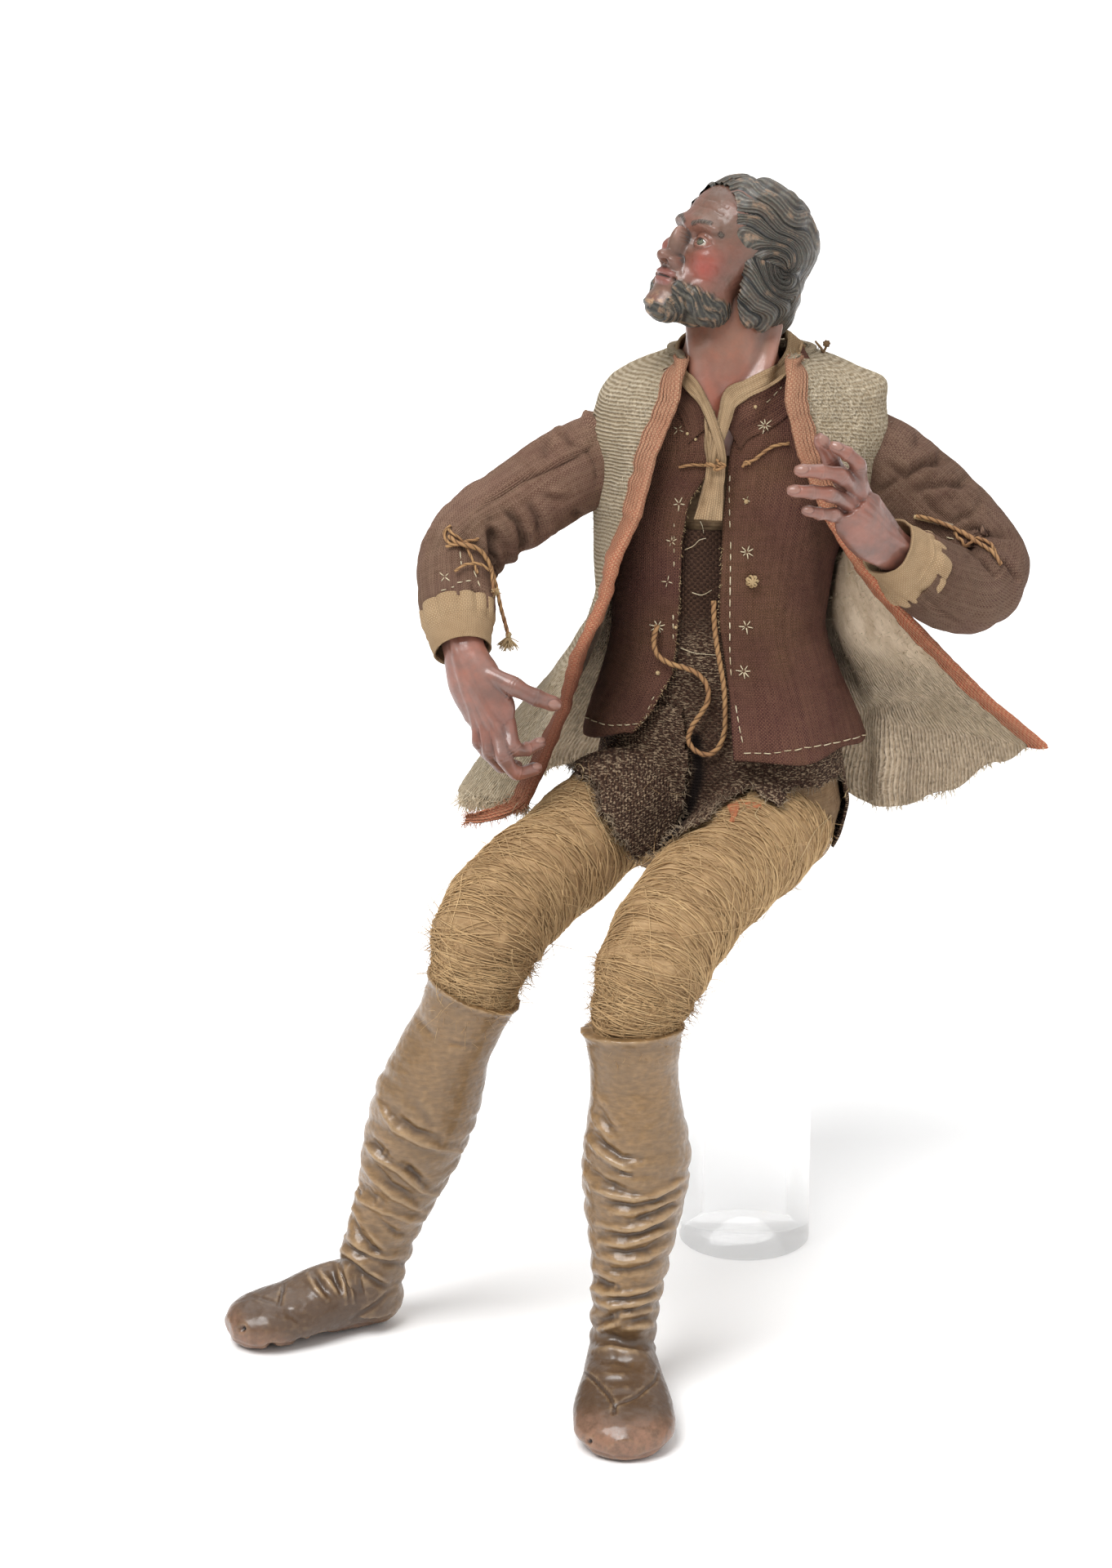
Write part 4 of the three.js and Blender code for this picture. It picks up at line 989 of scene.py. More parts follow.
def makeLeg(side):
    data = legs[side]

    def shaft(angle, along):
        loose = ease(along, 0.26, 0.5) * (1 - ease(along, 0.93, 1))
        drift = 0.55 * sin(angle * 2 + along * 9) + 0.35 * sin(angle * 3 - along * 14 + 1)
        phase = along * stocking["folds"] * math.pi + data["slant"] * 1.1 * cos(angle) + drift
        pinch = np.abs(sin(phase)) ** 0.75 - 0.62
        merge = 0.55 + 0.45 * sin(angle * 1.0 + along * 21 + 2 * sin(angle * 2))
        calf = 0.2 * ease(along, 0.08, 0.2) * sin(along * 34 + 1.5 * sin(angle))
        ahead = limbPoints(data["shaft"], data["front"], angle, along, 1.0) - limbPoints(data["shaft"],
            data["front"], angle, along)
        hidden = 1 - 0.45 * ease(-ahead[:, 1], 0.1, 0.7)  # most folds in sight are drawn one by one
        out = loose * stocking["depth"] * (0.6 + 0.7 * merge) * pinch * hidden + (1 - loose) * calf
        out += stocking["flare"] * bump(along, 0, 0.035)
        return limbPoints(data["shaft"], data["front"], angle, along, out + 0.1)

    def foot(angle, along):
        return limbPoints(data["foot"], (0, 0, 1), angle, along)

    parts = []
    for place, sides, rings in ((shaft, 120, 200), (foot, 72, 72)):
        part = ball(sides, rings, place)
        points = places(part)
        points[:, 2] = np.maximum(points[:, 2], 0)
        setPlaces(part, points)
        parts.append(part)
    leg = joinAll(parts)
    remesh(leg, stocking["voxel"], 2)
    # the socket that the knee sits in
    rim, below = np.asarray(data["shaft"][0][:3]), np.asarray(data["shaft"][1][:3])
    down = (below - rim) / np.linalg.norm(below - rim)
    deselect()
    bpy.ops.mesh.primitive_cylinder_add(
        vertices=64,
        radius=(data["shaft"][0][3] - stocking["wall"]) * mm,
        depth=stocking["socket"] * 2 * mm,
        location=rim * mm,
        rotation=Vector(down).to_track_quat("Z", "Y").to_euler(),
    )
    drill = bpy.context.active_object
    cut = leg.modifiers.new("socket", "BOOLEAN")
    cut.operation = "DIFFERENCE"
    cut.object = drill
    applyModifiers(leg)
    bpy.data.objects.remove(drill)
    points = places(leg)
    ways = normals(leg)
    # folds and seams in sight, then a worn sole edge and a nail hole
    shaped = stocking["drawn"] * drawnRelief(points, ways, data["folds"])
    toeAt, heelAt = np.asarray(data["foot"][-1][:3]), np.asarray(data["foot"][0][:3])
    axis = (toeAt - heelAt) / np.linalg.norm(toeAt - heelAt)
    sideways = np.cross(axis, (0, 0, 1))
    sideways /= np.linalg.norm(sideways)
    local = points - heelAt
    ahead, across = local @ axis, local @ sideways
    low = ease(points[:, 2], 30, 22)
    sole = bump(points[:, 2], 2.6 + 0.5 * sin(ahead * 0.5), 0.6) * (ahead > 4)
    shaped -= 0.45 * sole
    seen = seenAt(points)
    if side == "right":
        # the edge of the sole has broken away in three places
        for middle, reach, depth in (((333, 1648), 6, 2.2), ((368, 1644), 6, 1.6), ((393, 1642), 11, 2.6)):
            shaped -= depth * bump(np.linalg.norm(seen - middle, axis=1), 0, reach) * ease(points[:, 2], 5,
                2.5)
    hole = bump(np.linalg.norm(seen - data["nail"], axis=1), 0, 3.2) * facingUs(points, ways)
    shaped -= 1.6 * hole
    soft = 0.12 * rumple(points, 1.6, 3) + 0.2 * rumple(points, 6, 4)
    moved = points + ways * (shaped + soft)[:, None]
    moved[:, 2] = np.maximum(moved[:, 2], 0)
    setPlaces(leg, moved)
    # how far each point stands out of the smooth leg, for the paint
    smooth = leg.copy()
    smooth.data = leg.data.copy()
    bpy.context.collection.objects.link(smooth)
    soften(smooth, 14)
    keep(leg, "relief", np.sum((moved - places(smooth)) * ways, axis=1) * 2.2)
    bpy.data.objects.remove(smooth)
    edge = ahead + 0.4 * np.abs(across) - 1.2 * points[:, 2] - 4 * rumple(points, 9, 6)
    keep(leg, "toe", np.maximum(ease(edge, 34, 50) * low, 0.5 * ease(points[:, 2], 5, 2) * (ahead > 6)))
    keep(leg, "shoe", ease(points[:, 2], 34, 12) * ease(ahead, -4, 14))
    keep(leg, "hole", ease(hole, 0.35, 0.6))
    finishPiece(leg, side + "Leg", paintedWood, "painted_wood", side + "_leg")


for side in ("right", "left"):
    makeLeg(side)
print("legs made")



# Painted skin: glossy oil paint over fired clay and carved wood, darker in the hollows, with a worn bloom

def skinMaterial(name, base, ruddy, hollow):
    made, tree, shader, coordinates = newMaterial(name, 0.34, 0.5)
    at = coordinates.outputs["Object"]
    grime = groupNode(tree, grimeGroup, Coordinates=at, Scale=70.0)
    relief = attribute(tree, "relief")
    blotch = ramp(tree, speckle(tree, at, 130.0, 4.0), 0.38, 0.62)
    tone = mix(tree, blotch, base, ruddy)
    rouged = mix(tree, times(tree, attribute(tree, "rouge"), 0.9), tone, (0.42, 0.055, 0.032))
    lips = mix(tree, attribute(tree, "lips"), rouged, (0.26, 0.075, 0.06))
    # darker in the hollows and lighter on the ridges: partly patina, partly painted shade and highlight
    deep = mix(tree, ramp(tree, relief, 0.0, -0.55), lips, hollow)
    bright = mix(tree, times(tree, ramp(tree, relief, 0.12, 0.7), 0.4), deep, (0.40, 0.22, 0.17))
    dirty = mix(tree, times(tree, grime.outputs["Stain"], 0.45), bright, hollow)
    nails = mix(tree, attribute(tree, "nail"), dirty, (0.27, 0.135, 0.10))
    # hair painted on: brows and beard
    phase = plus(tree, attribute(tree, "flow"), times(tree, speckle(tree, at, 500.0), 5.0))
    fine = plus(tree, times(tree, calc(tree, "SINE", phase), 0.5), 0.5)
    hairTone = mix(tree, fine, (0.018, 0.017, 0.014), (0.085, 0.075, 0.055))
    furred = attribute(tree, "beard")
    bearded = mix(tree, furred, nails, hairTone)
    chipped = times(tree, attribute(tree, "wearAndShade"), ramp(tree, speckle(tree, at, 420.0, 5.0), 0.46, 0.56))
    link(tree, mix(tree, chipped, bearded, (0.42, 0.25, 0.14)), shader.inputs["Base Color"])
    gloss = plus(tree, ramp(tree, grime.outputs["Dust"], -0.9, 1.9), times(tree, furred, 0.1))
    link(tree, gloss, shader.inputs["Roughness"])
    addBump(tree, shader, times(tree, fine, furred), 0.0005)
    addBump(tree, shader, speckle(tree, at, 700.0, 3.0), 0.00009)
    shader.inputs["Coat Weight"].default_value = 0.3
    shader.inputs["Coat Roughness"].default_value = 0.2
    return made


facePaint = skinMaterial("facePaint", (0.155, 0.085, 0.058), (0.205, 0.085, 0.056), (0.045, 0.024, 0.017))
neckPaint = skinMaterial("neckPaint", (0.235, 0.125, 0.08), (0.30, 0.118, 0.068), (0.085, 0.036, 0.024))
handPaint = skinMaterial("handPaint", (0.205, 0.099, 0.074), (0.29, 0.108, 0.072), (0.045, 0.024, 0.02))
for paint in (neckPaint, handPaint):
    paint.node_tree.nodes["Principled BSDF"].inputs["Coat Weight"].default_value = 0.6


def addRelief(obj, times, gain):
    # how far each point stands out of a smoothed copy, for the paint
    smooth = obj.copy()
    smooth.data = obj.data.copy()
    bpy.context.collection.objects.link(smooth)
    soften(smooth, times)
    keep(obj, "relief", np.sum((places(obj) - places(smooth)) * normals(obj), axis=1) * gain)
    bpy.data.objects.remove(smooth)


# Head, in hundredths of its height: x to the figure's left, y back from the face, z up

head = {"centre": (-8, 3, 304.5), "turn": 57, "tip": 30, "share": 0.475}
clay = [
    # centre, half sizes, softness, lean
    ((0, 6, 15), (35, 41, 35), 1, 0), ((0, -12, -12), (26, 24, 34), 9, 0),
        ((0, -15, -33), (20, 20, 14), 9, 0),
    ((0, -31, -43), (9, 8, 7.5), 8, 0), ((0, -32, 8), (22, 6, 5), 7, 0),
        ((0, -39.5, -9), (4.2, 6, 12), 4, -16),
    ((0, -44.5, -18), (4.6, 5, 4), 2.5, 0), ((4.8, -39.5, -19), (3.4, 4.6, 3.2), 2, 0),
    ((-4.8, -39.5, -19), (3.4, 4.6, 3.2), 2, 0), ((17, -26, -9), (9, 9, 7), 8, 0),
        ((-17, -26, -9), (9, 9, 7), 8, 0),
    ((0, -31, -28), (13, 8, 9), 7, 0), ((0, -38.3, -26.6), (8.8, 3.6, 2.3), 1.6, 0),
    ((0, -37.4, -31.2), (7.8, 3.8, 2.7), 1.6, 0), ((33, 7, -11), (3.2, 6, 10), 1.5, 14),
        ((-33, 7, -11), (3.2, 6, 10), 1.5, 14),
    ((19, -13, -33), (7.5, 17, 13), 4, 0), ((-19, -13, -33), (7.5, 17, 13), 4, 0),
        ((0, -29, -45), (13, 11.5, 8.5), 5, 0),
]
carved = [
    # hollows, taken away after the clay is on
    ((3.3, -44.0, -21.8), (1.7, 3.2, 2.2), 0.7), ((-3.3, -44.0, -21.8), (1.7, 3.2, 2.2), 0.7),
    ((0, -42.4, -28.9), (9.2, 5.2, 0.55), 0.7), ((9, -37, -29), (1.4, 2.4, 1.4), 1.2),
        ((-9, -37, -29), (1.4, 2.4, 1.4), 1.2),
    ((0, -44, -23.6), (1.3, 2.6, 2.6), 1.2), ((37.5, 3.5, -11), (3, 3.2, 5), 1.5),
        ((-37.5, 3.5, -11), (3, 3.2, 5), 1.5),
]
hairLumps = [
    ((0, 9, 19), (38, 43, 34), 2), ((30, 14, -6), (11, 21, 29), 6), ((-30, 14, -6), (11, 21, 29), 6),
    ((0, 36, -14), (30, 15, 30), 8),
]
eyeAt = (12.2, -27.5, -1.5)


def lumpField(p, at, size, lean=0.0):
    x, y, z = (p - np.asarray(at, dtype=float)).T
    if lean:
        a = math.radians(lean)
        y, z = y * math.cos(a) - z * math.sin(a), y * math.sin(a) + z * math.cos(a)
    a, b, c = size
    reach = np.sqrt((x / a) ** 2 + (y / b) ** 2 + (z / c) ** 2)
    slope = np.sqrt((x / a**2) ** 2 + (y / b**2) ** 2 + (z / c**2) ** 2)
    return reach * (reach - 1) / np.maximum(slope, 1e-6)


def blend(a, b, soft):
    h = np.clip(0.5 + 0.5 * (b - a) / soft, 0, 1)
    return b + (a - b) * h - soft * h * (1 - h)


def faceField(p):
    d = lumpField(p, *clay[0][:2])
    for at, size, soft, lean in clay[1:]:
        d = blend(d, lumpField(p, at, size, lean), soft)
    for side in (-1, 1):
        d = -blend(-d, lumpField(p, (side * 12.5, -38, -1), (8.8, 8, 5.8)), 4)
    for side in (-1, 1):
        d = blend(d, lumpField(p, (side * eyeAt[0], eyeAt[1], eyeAt[2]), (8.0, 8.0, 8.0)), 1.0)
        d = -blend(-d, lumpField(p, (side * 12.5, -38, -1.9), (6.3, 8.5, 2.5)), 0.5)
    for at, size, soft in carved:
        d = -blend(-d, lumpField(p, at, size), soft)
    return d


def hairField(p):
    d = lumpField(p, *hairLumps[0][:2])
    for at, size, soft in hairLumps[1:]:
        d = blend(d, lumpField(p, at, size), soft)
    front = lumpField(p, (0, -41, 5), (31, 32, 34))
    d = -blend(-d, front, 1.5)
    for side in (-1, 1):
        d = -blend(-d, lumpField(p, (side * 39, -2, -27), (8, 8, 9)), 2)
    return d


def starSkin(field, ways):
    # the outermost place along each ray from the middle of the head where the field crosses zero
    reach = np.full(len(ways), 72.0)
    for _ in range(46):
        reach -= np.clip(field(ways * reach[:, None]), -1, 6) * 0.8
    return reach


def starBall(sides, rings, crowd, field):
    deselect()
    bpy.ops.mesh.primitive_uv_sphere_add(segments=sides, ring_count=rings, radius=1)
    obj = bpy.context.active_object
    ways = places(obj) * mm
    ways[:, 1] -= crowd
    ways = unitRows(ways)
    return obj, ways, ways * starSkin(field, ways)[:, None]


def setOnHead(obj, points):
    # from the head's own measure to the figure
    tip, turn = math.radians(-head["tip"]), math.radians(-head["turn"])
    x, y, z = (points * head["share"]).T
    y, z = y * math.cos(tip) - z * math.sin(tip), y * math.sin(tip) + z * math.cos(tip)
    x, y = x * math.cos(turn) - y * math.sin(turn), x * math.sin(turn) + y * math.cos(turn)
    setPlaces(obj, np.stack([x, y, z], axis=-1) + head["centre"])


def makeFace():
    face, ways, p = starBall(250, 200, 0.55, faceField)
    mirrored = np.stack([np.abs(p[:, 0]), p[:, 1], p[:, 2]], axis=-1)
    out = np.zeros(len(p))
    # the crease over each upper lid, the bag under each eye, the fold beside the nose, the brow hairs
    lidLine = [(5.5, -33, 0.6), (9, -36, 3.2), (13.5, -35.5, 3.4), (18.5, -31, 0.8), (20.5, -28, -2)]
    bagLine = [(6.5, -33.5, -5.5), (11, -35, -8.2), (16.5, -32.5, -7.6), (20, -29, -4.5)]
    foldLine = [(7.8, -39, -17.5), (10.5, -36, -22), (12.5, -33, -28), (12, -31.5, -33)]
    browLine = [(4.5, -39, 6.8), (10, -38, 9.6), (16, -34.5, 9.8), (22, -28, 6.5)]
    out -= 0.8 * bump(nearLine(mirrored, lidLine), 0, 0.8)
    out -= 0.55 * bump(nearLine(mirrored, bagLine), 0, 1.1)
    out -= 0.9 * bump(nearLine(mirrored, foldLine), 0, 1.3)
    out += 0.7 * bump(nearLine(mirrored, browLine), 0, 1.6)
    for height in (19, 24.5):
        furrow = [(-15, -32, height - 1), (-7, -36, height + 0.4), (0, -36.5, height - 0.3),
            (8, -35.5, height + 0.5), (15, -32, height - 1)]
        flat = np.asarray(furrow)[:, [0, 2]]
        out -= 0.3 * bump(p[:, 2], np.interp(p[:, 0], flat[:, 0], flat[:, 1]),
            0.9) * (p[:, 1] < -20) * (np.abs(p[:, 0]) < 17)
    jaw = ease(-p[:, 2], 22, 33) * ease(mirrored[:, 0], 6, 13) * ease(p[:, 1], 8, 0)
    under = ease(-p[:, 2], 43, 47)
    edge = rumple(p, 4, 61) * 0.35
    beard = ease(np.maximum(jaw * (p[:, 2] < -20 - 0.42 * (p[:, 1] + 12)), under) + edge * 0.6, 0.35, 0.65)
    flow = (p[:, 2] * 0.85 + p[:, 1] * 0.45 + 1.6 * sin(p[:, 1] * 0.25)) * 2.4
    locks = np.abs(sin(flow / 4.2 + 1.2 * sin(p[:, 1] * 0.21))) - 0.6
    out += beard * (1.3 * locks + 0.6)
    brow = bump(nearLine(mirrored, browLine), 0, 1.9)
    out += 0.14 * rumple(p, 2.2, 62) + 0.3 * rumple(p, 9, 63)
    setOnHead(face, p + ways * out[:, None])
    keep(face, "beard", np.clip(np.maximum(beard, 0.75 * ease(brow + 0.5 * edge, 0.35, 0.8)), 0, 1))
    keep(face, "flow", flow * (1 - ease(brow, 0.2, 0.5)) + ease(brow, 0.2, 0.5) * mirrored[:, 0] * 2.6)
    keep(face, "rouge", bump(np.linalg.norm(mirrored - (20, -28, -14), axis=1), 0, 9) * (1 - beard))
    lipShape = np.maximum(-lumpField(p, (0, -38.3, -26.6), (9, 5, 3)),
        -lumpField(p, (0, -37.4, -31.2), (8, 5, 3.4)))
    keep(face, "lips", ease(lipShape, -0.8, 0.5) * 0.75)
    wearAndShade = bump(np.linalg.norm(p - (5, -38, -46), axis=1), 0, 6) + 0.5 * beard * ease(locks, 0.2, 0.4)
    keep(face, "wearAndShade", np.clip(wearAndShade, 0, 1))
    addRelief(face, 16, 1.6)
    finishPiece(face, "face", facePaint, "fired_clay", "head_and_bust")


def hairMaterial():
    made, tree, shader, coordinates = newMaterial("hairPaint", 0.42, 0.5)
    at = coordinates.outputs["Object"]
    phase = plus(tree, attribute(tree, "flow"), times(tree, speckle(tree, at, 160.0), 6.0))
    fine = plus(tree, times(tree, calc(tree, "SINE", phase), 0.5), 0.5)
    broad = attribute(tree, "lock")
    grime = groupNode(tree, grimeGroup, Coordinates=at, Scale=110.0)
    dark = mix(tree, grime.outputs["Stain"], (0.015, 0.016, 0.014), (0.022, 0.025, 0.018))
    tone = mix(tree, fine, dark, (0.125, 0.117, 0.09))
    browned = mix(tree, times(tree, ramp(tree, grime.outputs["Dust"], 0.2, 0.8), 0.6), tone,
        (0.075, 0.042, 0.028))
    ridge = times(tree, ramp(tree, broad, 0.1, 0.36), ramp(tree, speckle(tree, at, 260.0, 5.0), 0.53, 0.64))
    wearAndShade = mix(tree, times(tree, ridge, 0.6), browned, (0.36, 0.22, 0.13))
    # painted shade in the hollows between the locks
    sunk = mix(tree, ramp(tree, broad, -0.15, -0.5), wearAndShade, (0.008, 0.009, 0.009))
    link(tree, sunk, shader.inputs["Base Color"])
    link(tree, ramp(tree, grime.outputs["Dust"], -1.1, 1.8), shader.inputs["Roughness"])
    addBump(tree, shader, fine, 0.0004)
    shader.inputs["Coat Weight"].default_value = 0.3
    shader.inputs["Coat Roughness"].default_value = 0.25
    return made


hairPaint = hairMaterial()


def makeHair():
    hair, ways, p = starBall(300, 220, -0.12, hairField)
    around = np.abs(np.arctan2(p[:, 0], p[:, 2] - 8 + 1e-6))
    t = np.clip((p[:, 1] + 25) / 75, 0, 1.2)
    side = 0.35 * np.sign(p[:, 0]) * ease(np.abs(p[:, 0]), 0, 6)
    flow = around - 0.85 * t**2 + 0.26 * sin(6.5 * t + 2.1 * sin(2.2 * around) + side) + 0.05 * sin(16 * t
        + 5 * around)
    # a curl behind the ear, where the locks turn round a middle
    curl = [p - (turn * 31, 16, 4) for turn in (-1, 1)]
    for away in curl:
        round_ = np.arctan2(away[:, 2], away[:, 1]) + 0.09 * np.linalg.norm(away, axis=1)
        near = bump(np.linalg.norm(away, axis=1), 0, 15)
        flow = flow * (1 - near) + round_ * 0.9 * near
    flow = flow + 0.08 * rumple(p, 17, 72)
    back = ease(p[:, 1], 26, 42)
    behind = np.arctan2(p[:, 0], 22) + 0.1 * sin(p[:, 2] * 0.16 + 2 * sin(p[:, 0] * 0.1))
    lockA = np.abs(cos(flow * 7.2)) ** 0.8 - 0.62
    lockB = np.abs(cos(behind * 7.5)) ** 0.75 - 0.62
    lock = lockA * (1 - back) + lockB * back
    strandPhase = flow * 82 * (1 - back) + behind * 60 * back
    combed = sin(strandPhase / 3.1) * 0.38 + 0.3 * sin(flow * 17 + 1)
    hem = ease(-p[:, 2], 22, 40)
    out = 3.2 * lock * (1 + 0.4 * hem) + combed + 0.9 * rumple(p, 9, 71)
    points = p + ways * out[:, None]
    skull = starSkin(faceField, ways)
    setOnHead(hair, points)
    keep(hair, "flow", strandPhase)
    keep(hair, "lock", lock)
    cutAway(hair, np.linalg.norm(points, axis=1) < skull - 4)
    finishPiece(hair, "hair", hairPaint, "fired_clay", "head_and_bust")


neck = {
    "front": (0, -1, 0),
    "route": [
        (-6, 7, 300, 12, 12), (-6.5, 5, 289, 12.6, 13), (-7, 3, 279, 13.4, 13.6), (-7.5, 1, 270, 15.5, 14),
        (-7, -1, 261, 19, 13), (-6, -1, 250, 18, 12),
    ],
}


def makeNeck():
    def place(angle, along):
        front = np.angle(np.exp(1j * (angle + math.pi / 2)))
        t = np.clip((along - 0.08) / 0.75, 0, 1)
        left = 3.2 * bump(front, 1.35 - 1.15 * t, 0.2) * ease(along, 0.05, 0.2) * ease(along, 0.95, 0.75)
        right = 1.8 * bump(front, -1.5 + 1.2 * t, 0.24) * ease(along, 0.1, 0.3) * ease(along, 0.95, 0.75)
        notch = -1.6 * bump(front, -0.05, 0.28) * bump(along, 0.8, 0.1)
        apple = 1.0 * bump(front, -0.62, 0.25) * bump(along, 0.42, 0.09)
        bones = 1.3 * bump(along, 0.9, 0.035) * ease(np.abs(front), 0.15, 0.4) * ease(np.abs(front), 1.6, 1.0)
        return limbPoints(neck["route"], neck["front"], angle, along,
            0.1 + left + right + notch + apple + bones)

    bust = ball(150, 140, place)
    points = places(bust)
    setPlaces(bust, points + normals(bust) * (0.12 * rumple(points, 5, 64))[:, None])
    keep(bust, "rouge", 0.35 * bump(points[:, 2], 266, 12) * (points[:, 1] < 0))
    addRelief(bust, 30, 2.2)
    finishPiece(bust, "bust", neckPaint, "fired_clay", "head_and_bust")
    return bust


def eyeMaterial():
    made, tree, shader, coordinates = newMaterial("glassEye", 0.06, 0.6)
    gaze = attribute(tree, "gaze")
    veins = ramp(tree, speckle(tree, coordinates.outputs["Object"], 900.0, 4.0), 0.45, 0.75)
    white = mix(tree, times(tree, veins, 0.35), (0.56, 0.50, 0.42), (0.42, 0.27, 0.19))
    rays = speckle(tree, coordinates.outputs["Object"], 2600.0, 2.0)
    iris = mix(tree, rays, (0.055, 0.06, 0.04), (0.17, 0.17, 0.11))
    rim = mix(tree, ramp(tree, gaze, 0.47, 0.55), iris, (0.02, 0.02, 0.015))
    outer = mix(tree, ramp(tree, gaze, 0.57, 0.6), rim, white)
    link(tree, mix(tree, ramp(tree, gaze, 0.2, 0.23), (0.003, 0.003, 0.003), outer),
        shader.inputs["Base Color"])
    shader.inputs["Coat Weight"].default_value = 1.0
    shader.inputs["Coat Roughness"].default_value = 0.02
    return made


glassEye = eyeMaterial()


def makeEye(side):
    sign = 1 if side == "left" else -1
    deselect()
    bpy.ops.mesh.primitive_uv_sphere_add(segments=72, ring_count=48, radius=1)
    obj = bpy.context.active_object
    unit = unitRows(places(obj) * mm)
    look = np.array([0.0, -0.97, 0.2])
    look /= np.linalg.norm(look)
    away = np.arccos(np.clip(unit @ look, -1, 1))
    bulge = 1 + 0.05 * bump(away, 0, 0.45)
    points = unit * (6.74 * bulge)[:, None] + (sign * eyeAt[0], eyeAt[1], eyeAt[2])
    setOnHead(obj, points)
    keep(obj, "gaze", away)
    finishPiece(obj, side + "Eye", glassEye, "glass_eye", side + "_eye")


makeFace()
makeHair()
bust = makeNeck()
for side in ("right", "left"):
    makeEye(side)
print("head made")


# Hands: carved wood, each a palm with five jointed fingers

hands = {
    "right": {
        "front": (-0.25, -1, -0.25),
        "back": (-0.55, -0.75, 0.35),
        "palm": [
            (-85.2, -35, 206, 6, 5), (-84.2, -40, 199.5, 6.2, 5), (-81, -44, 191, 8.4, 4.8),
            (-77, -47, 183.5, 8.2, 4.2), (-75.8, -48.5, 179, 6, 3.4),
        ],
        "fingers": [
            (2.6, [(-79, -45, 195), (-70, -50, 191.5), (-63.5, -51, 188.5), (-58.6, -50.5, 186.5)]),
            (2.1, [(-72, -49, 181.5), (-69.5, -53, 174), (-66, -50.5, 173), (-62.6, -48, 174)]),
            (2.2, [(-75, -49.5, 181), (-72.6, -54, 171.5), (-69, -52.5, 166.5), (-63.8, -49.5, 166.8)]),
            (2.1, [(-78, -48.5, 181), (-76.5, -51.5, 172), (-73.5, -49, 167.5), (-69.4, -46, 166.5)]),
            (1.9, [(-80.6, -46.5, 181.5), (-79.6, -48, 174), (-77.4, -45.5, 170), (-74, -43, 169)]),
        ],
    },
    "left": {
        "front": (0.5, -1, 0.15),
        "back": (0.35, -0.75, 0.45),
        "palm": [
            (43, -39.5, 224.5, 6, 5), (37, -45, 230.5, 6.2, 5), (31, -50.5, 237, 8, 4.8),
            (27, -55, 243, 8.2, 4.2), (25.2, -56.8, 246.8, 6.2, 3.4),
        ],
        "fingers": [
            (2.6, [(29.5, -51, 243), (22, -55, 254), (18.6, -57, 260), (16, -58, 265)]),
            (2.1, [(27.6, -55, 251), (26, -61, 259), (22.8, -63, 262.8), (19.8, -63, 264.6)]),
            (2.2, [(26.4, -56, 250), (21, -63, 256.5), (15.4, -66, 258.4), (10, -67, 259)]),
            (2.1, [(24.5, -57, 246.5), (18, -63.5, 251.4), (13, -66, 252.6), (8, -67, 253.2)]),
            (1.9, [(22.8, -56, 242.5), (19, -61.5, 245), (15.4, -64, 246), (12, -65, 247)]),
        ],
    },
}


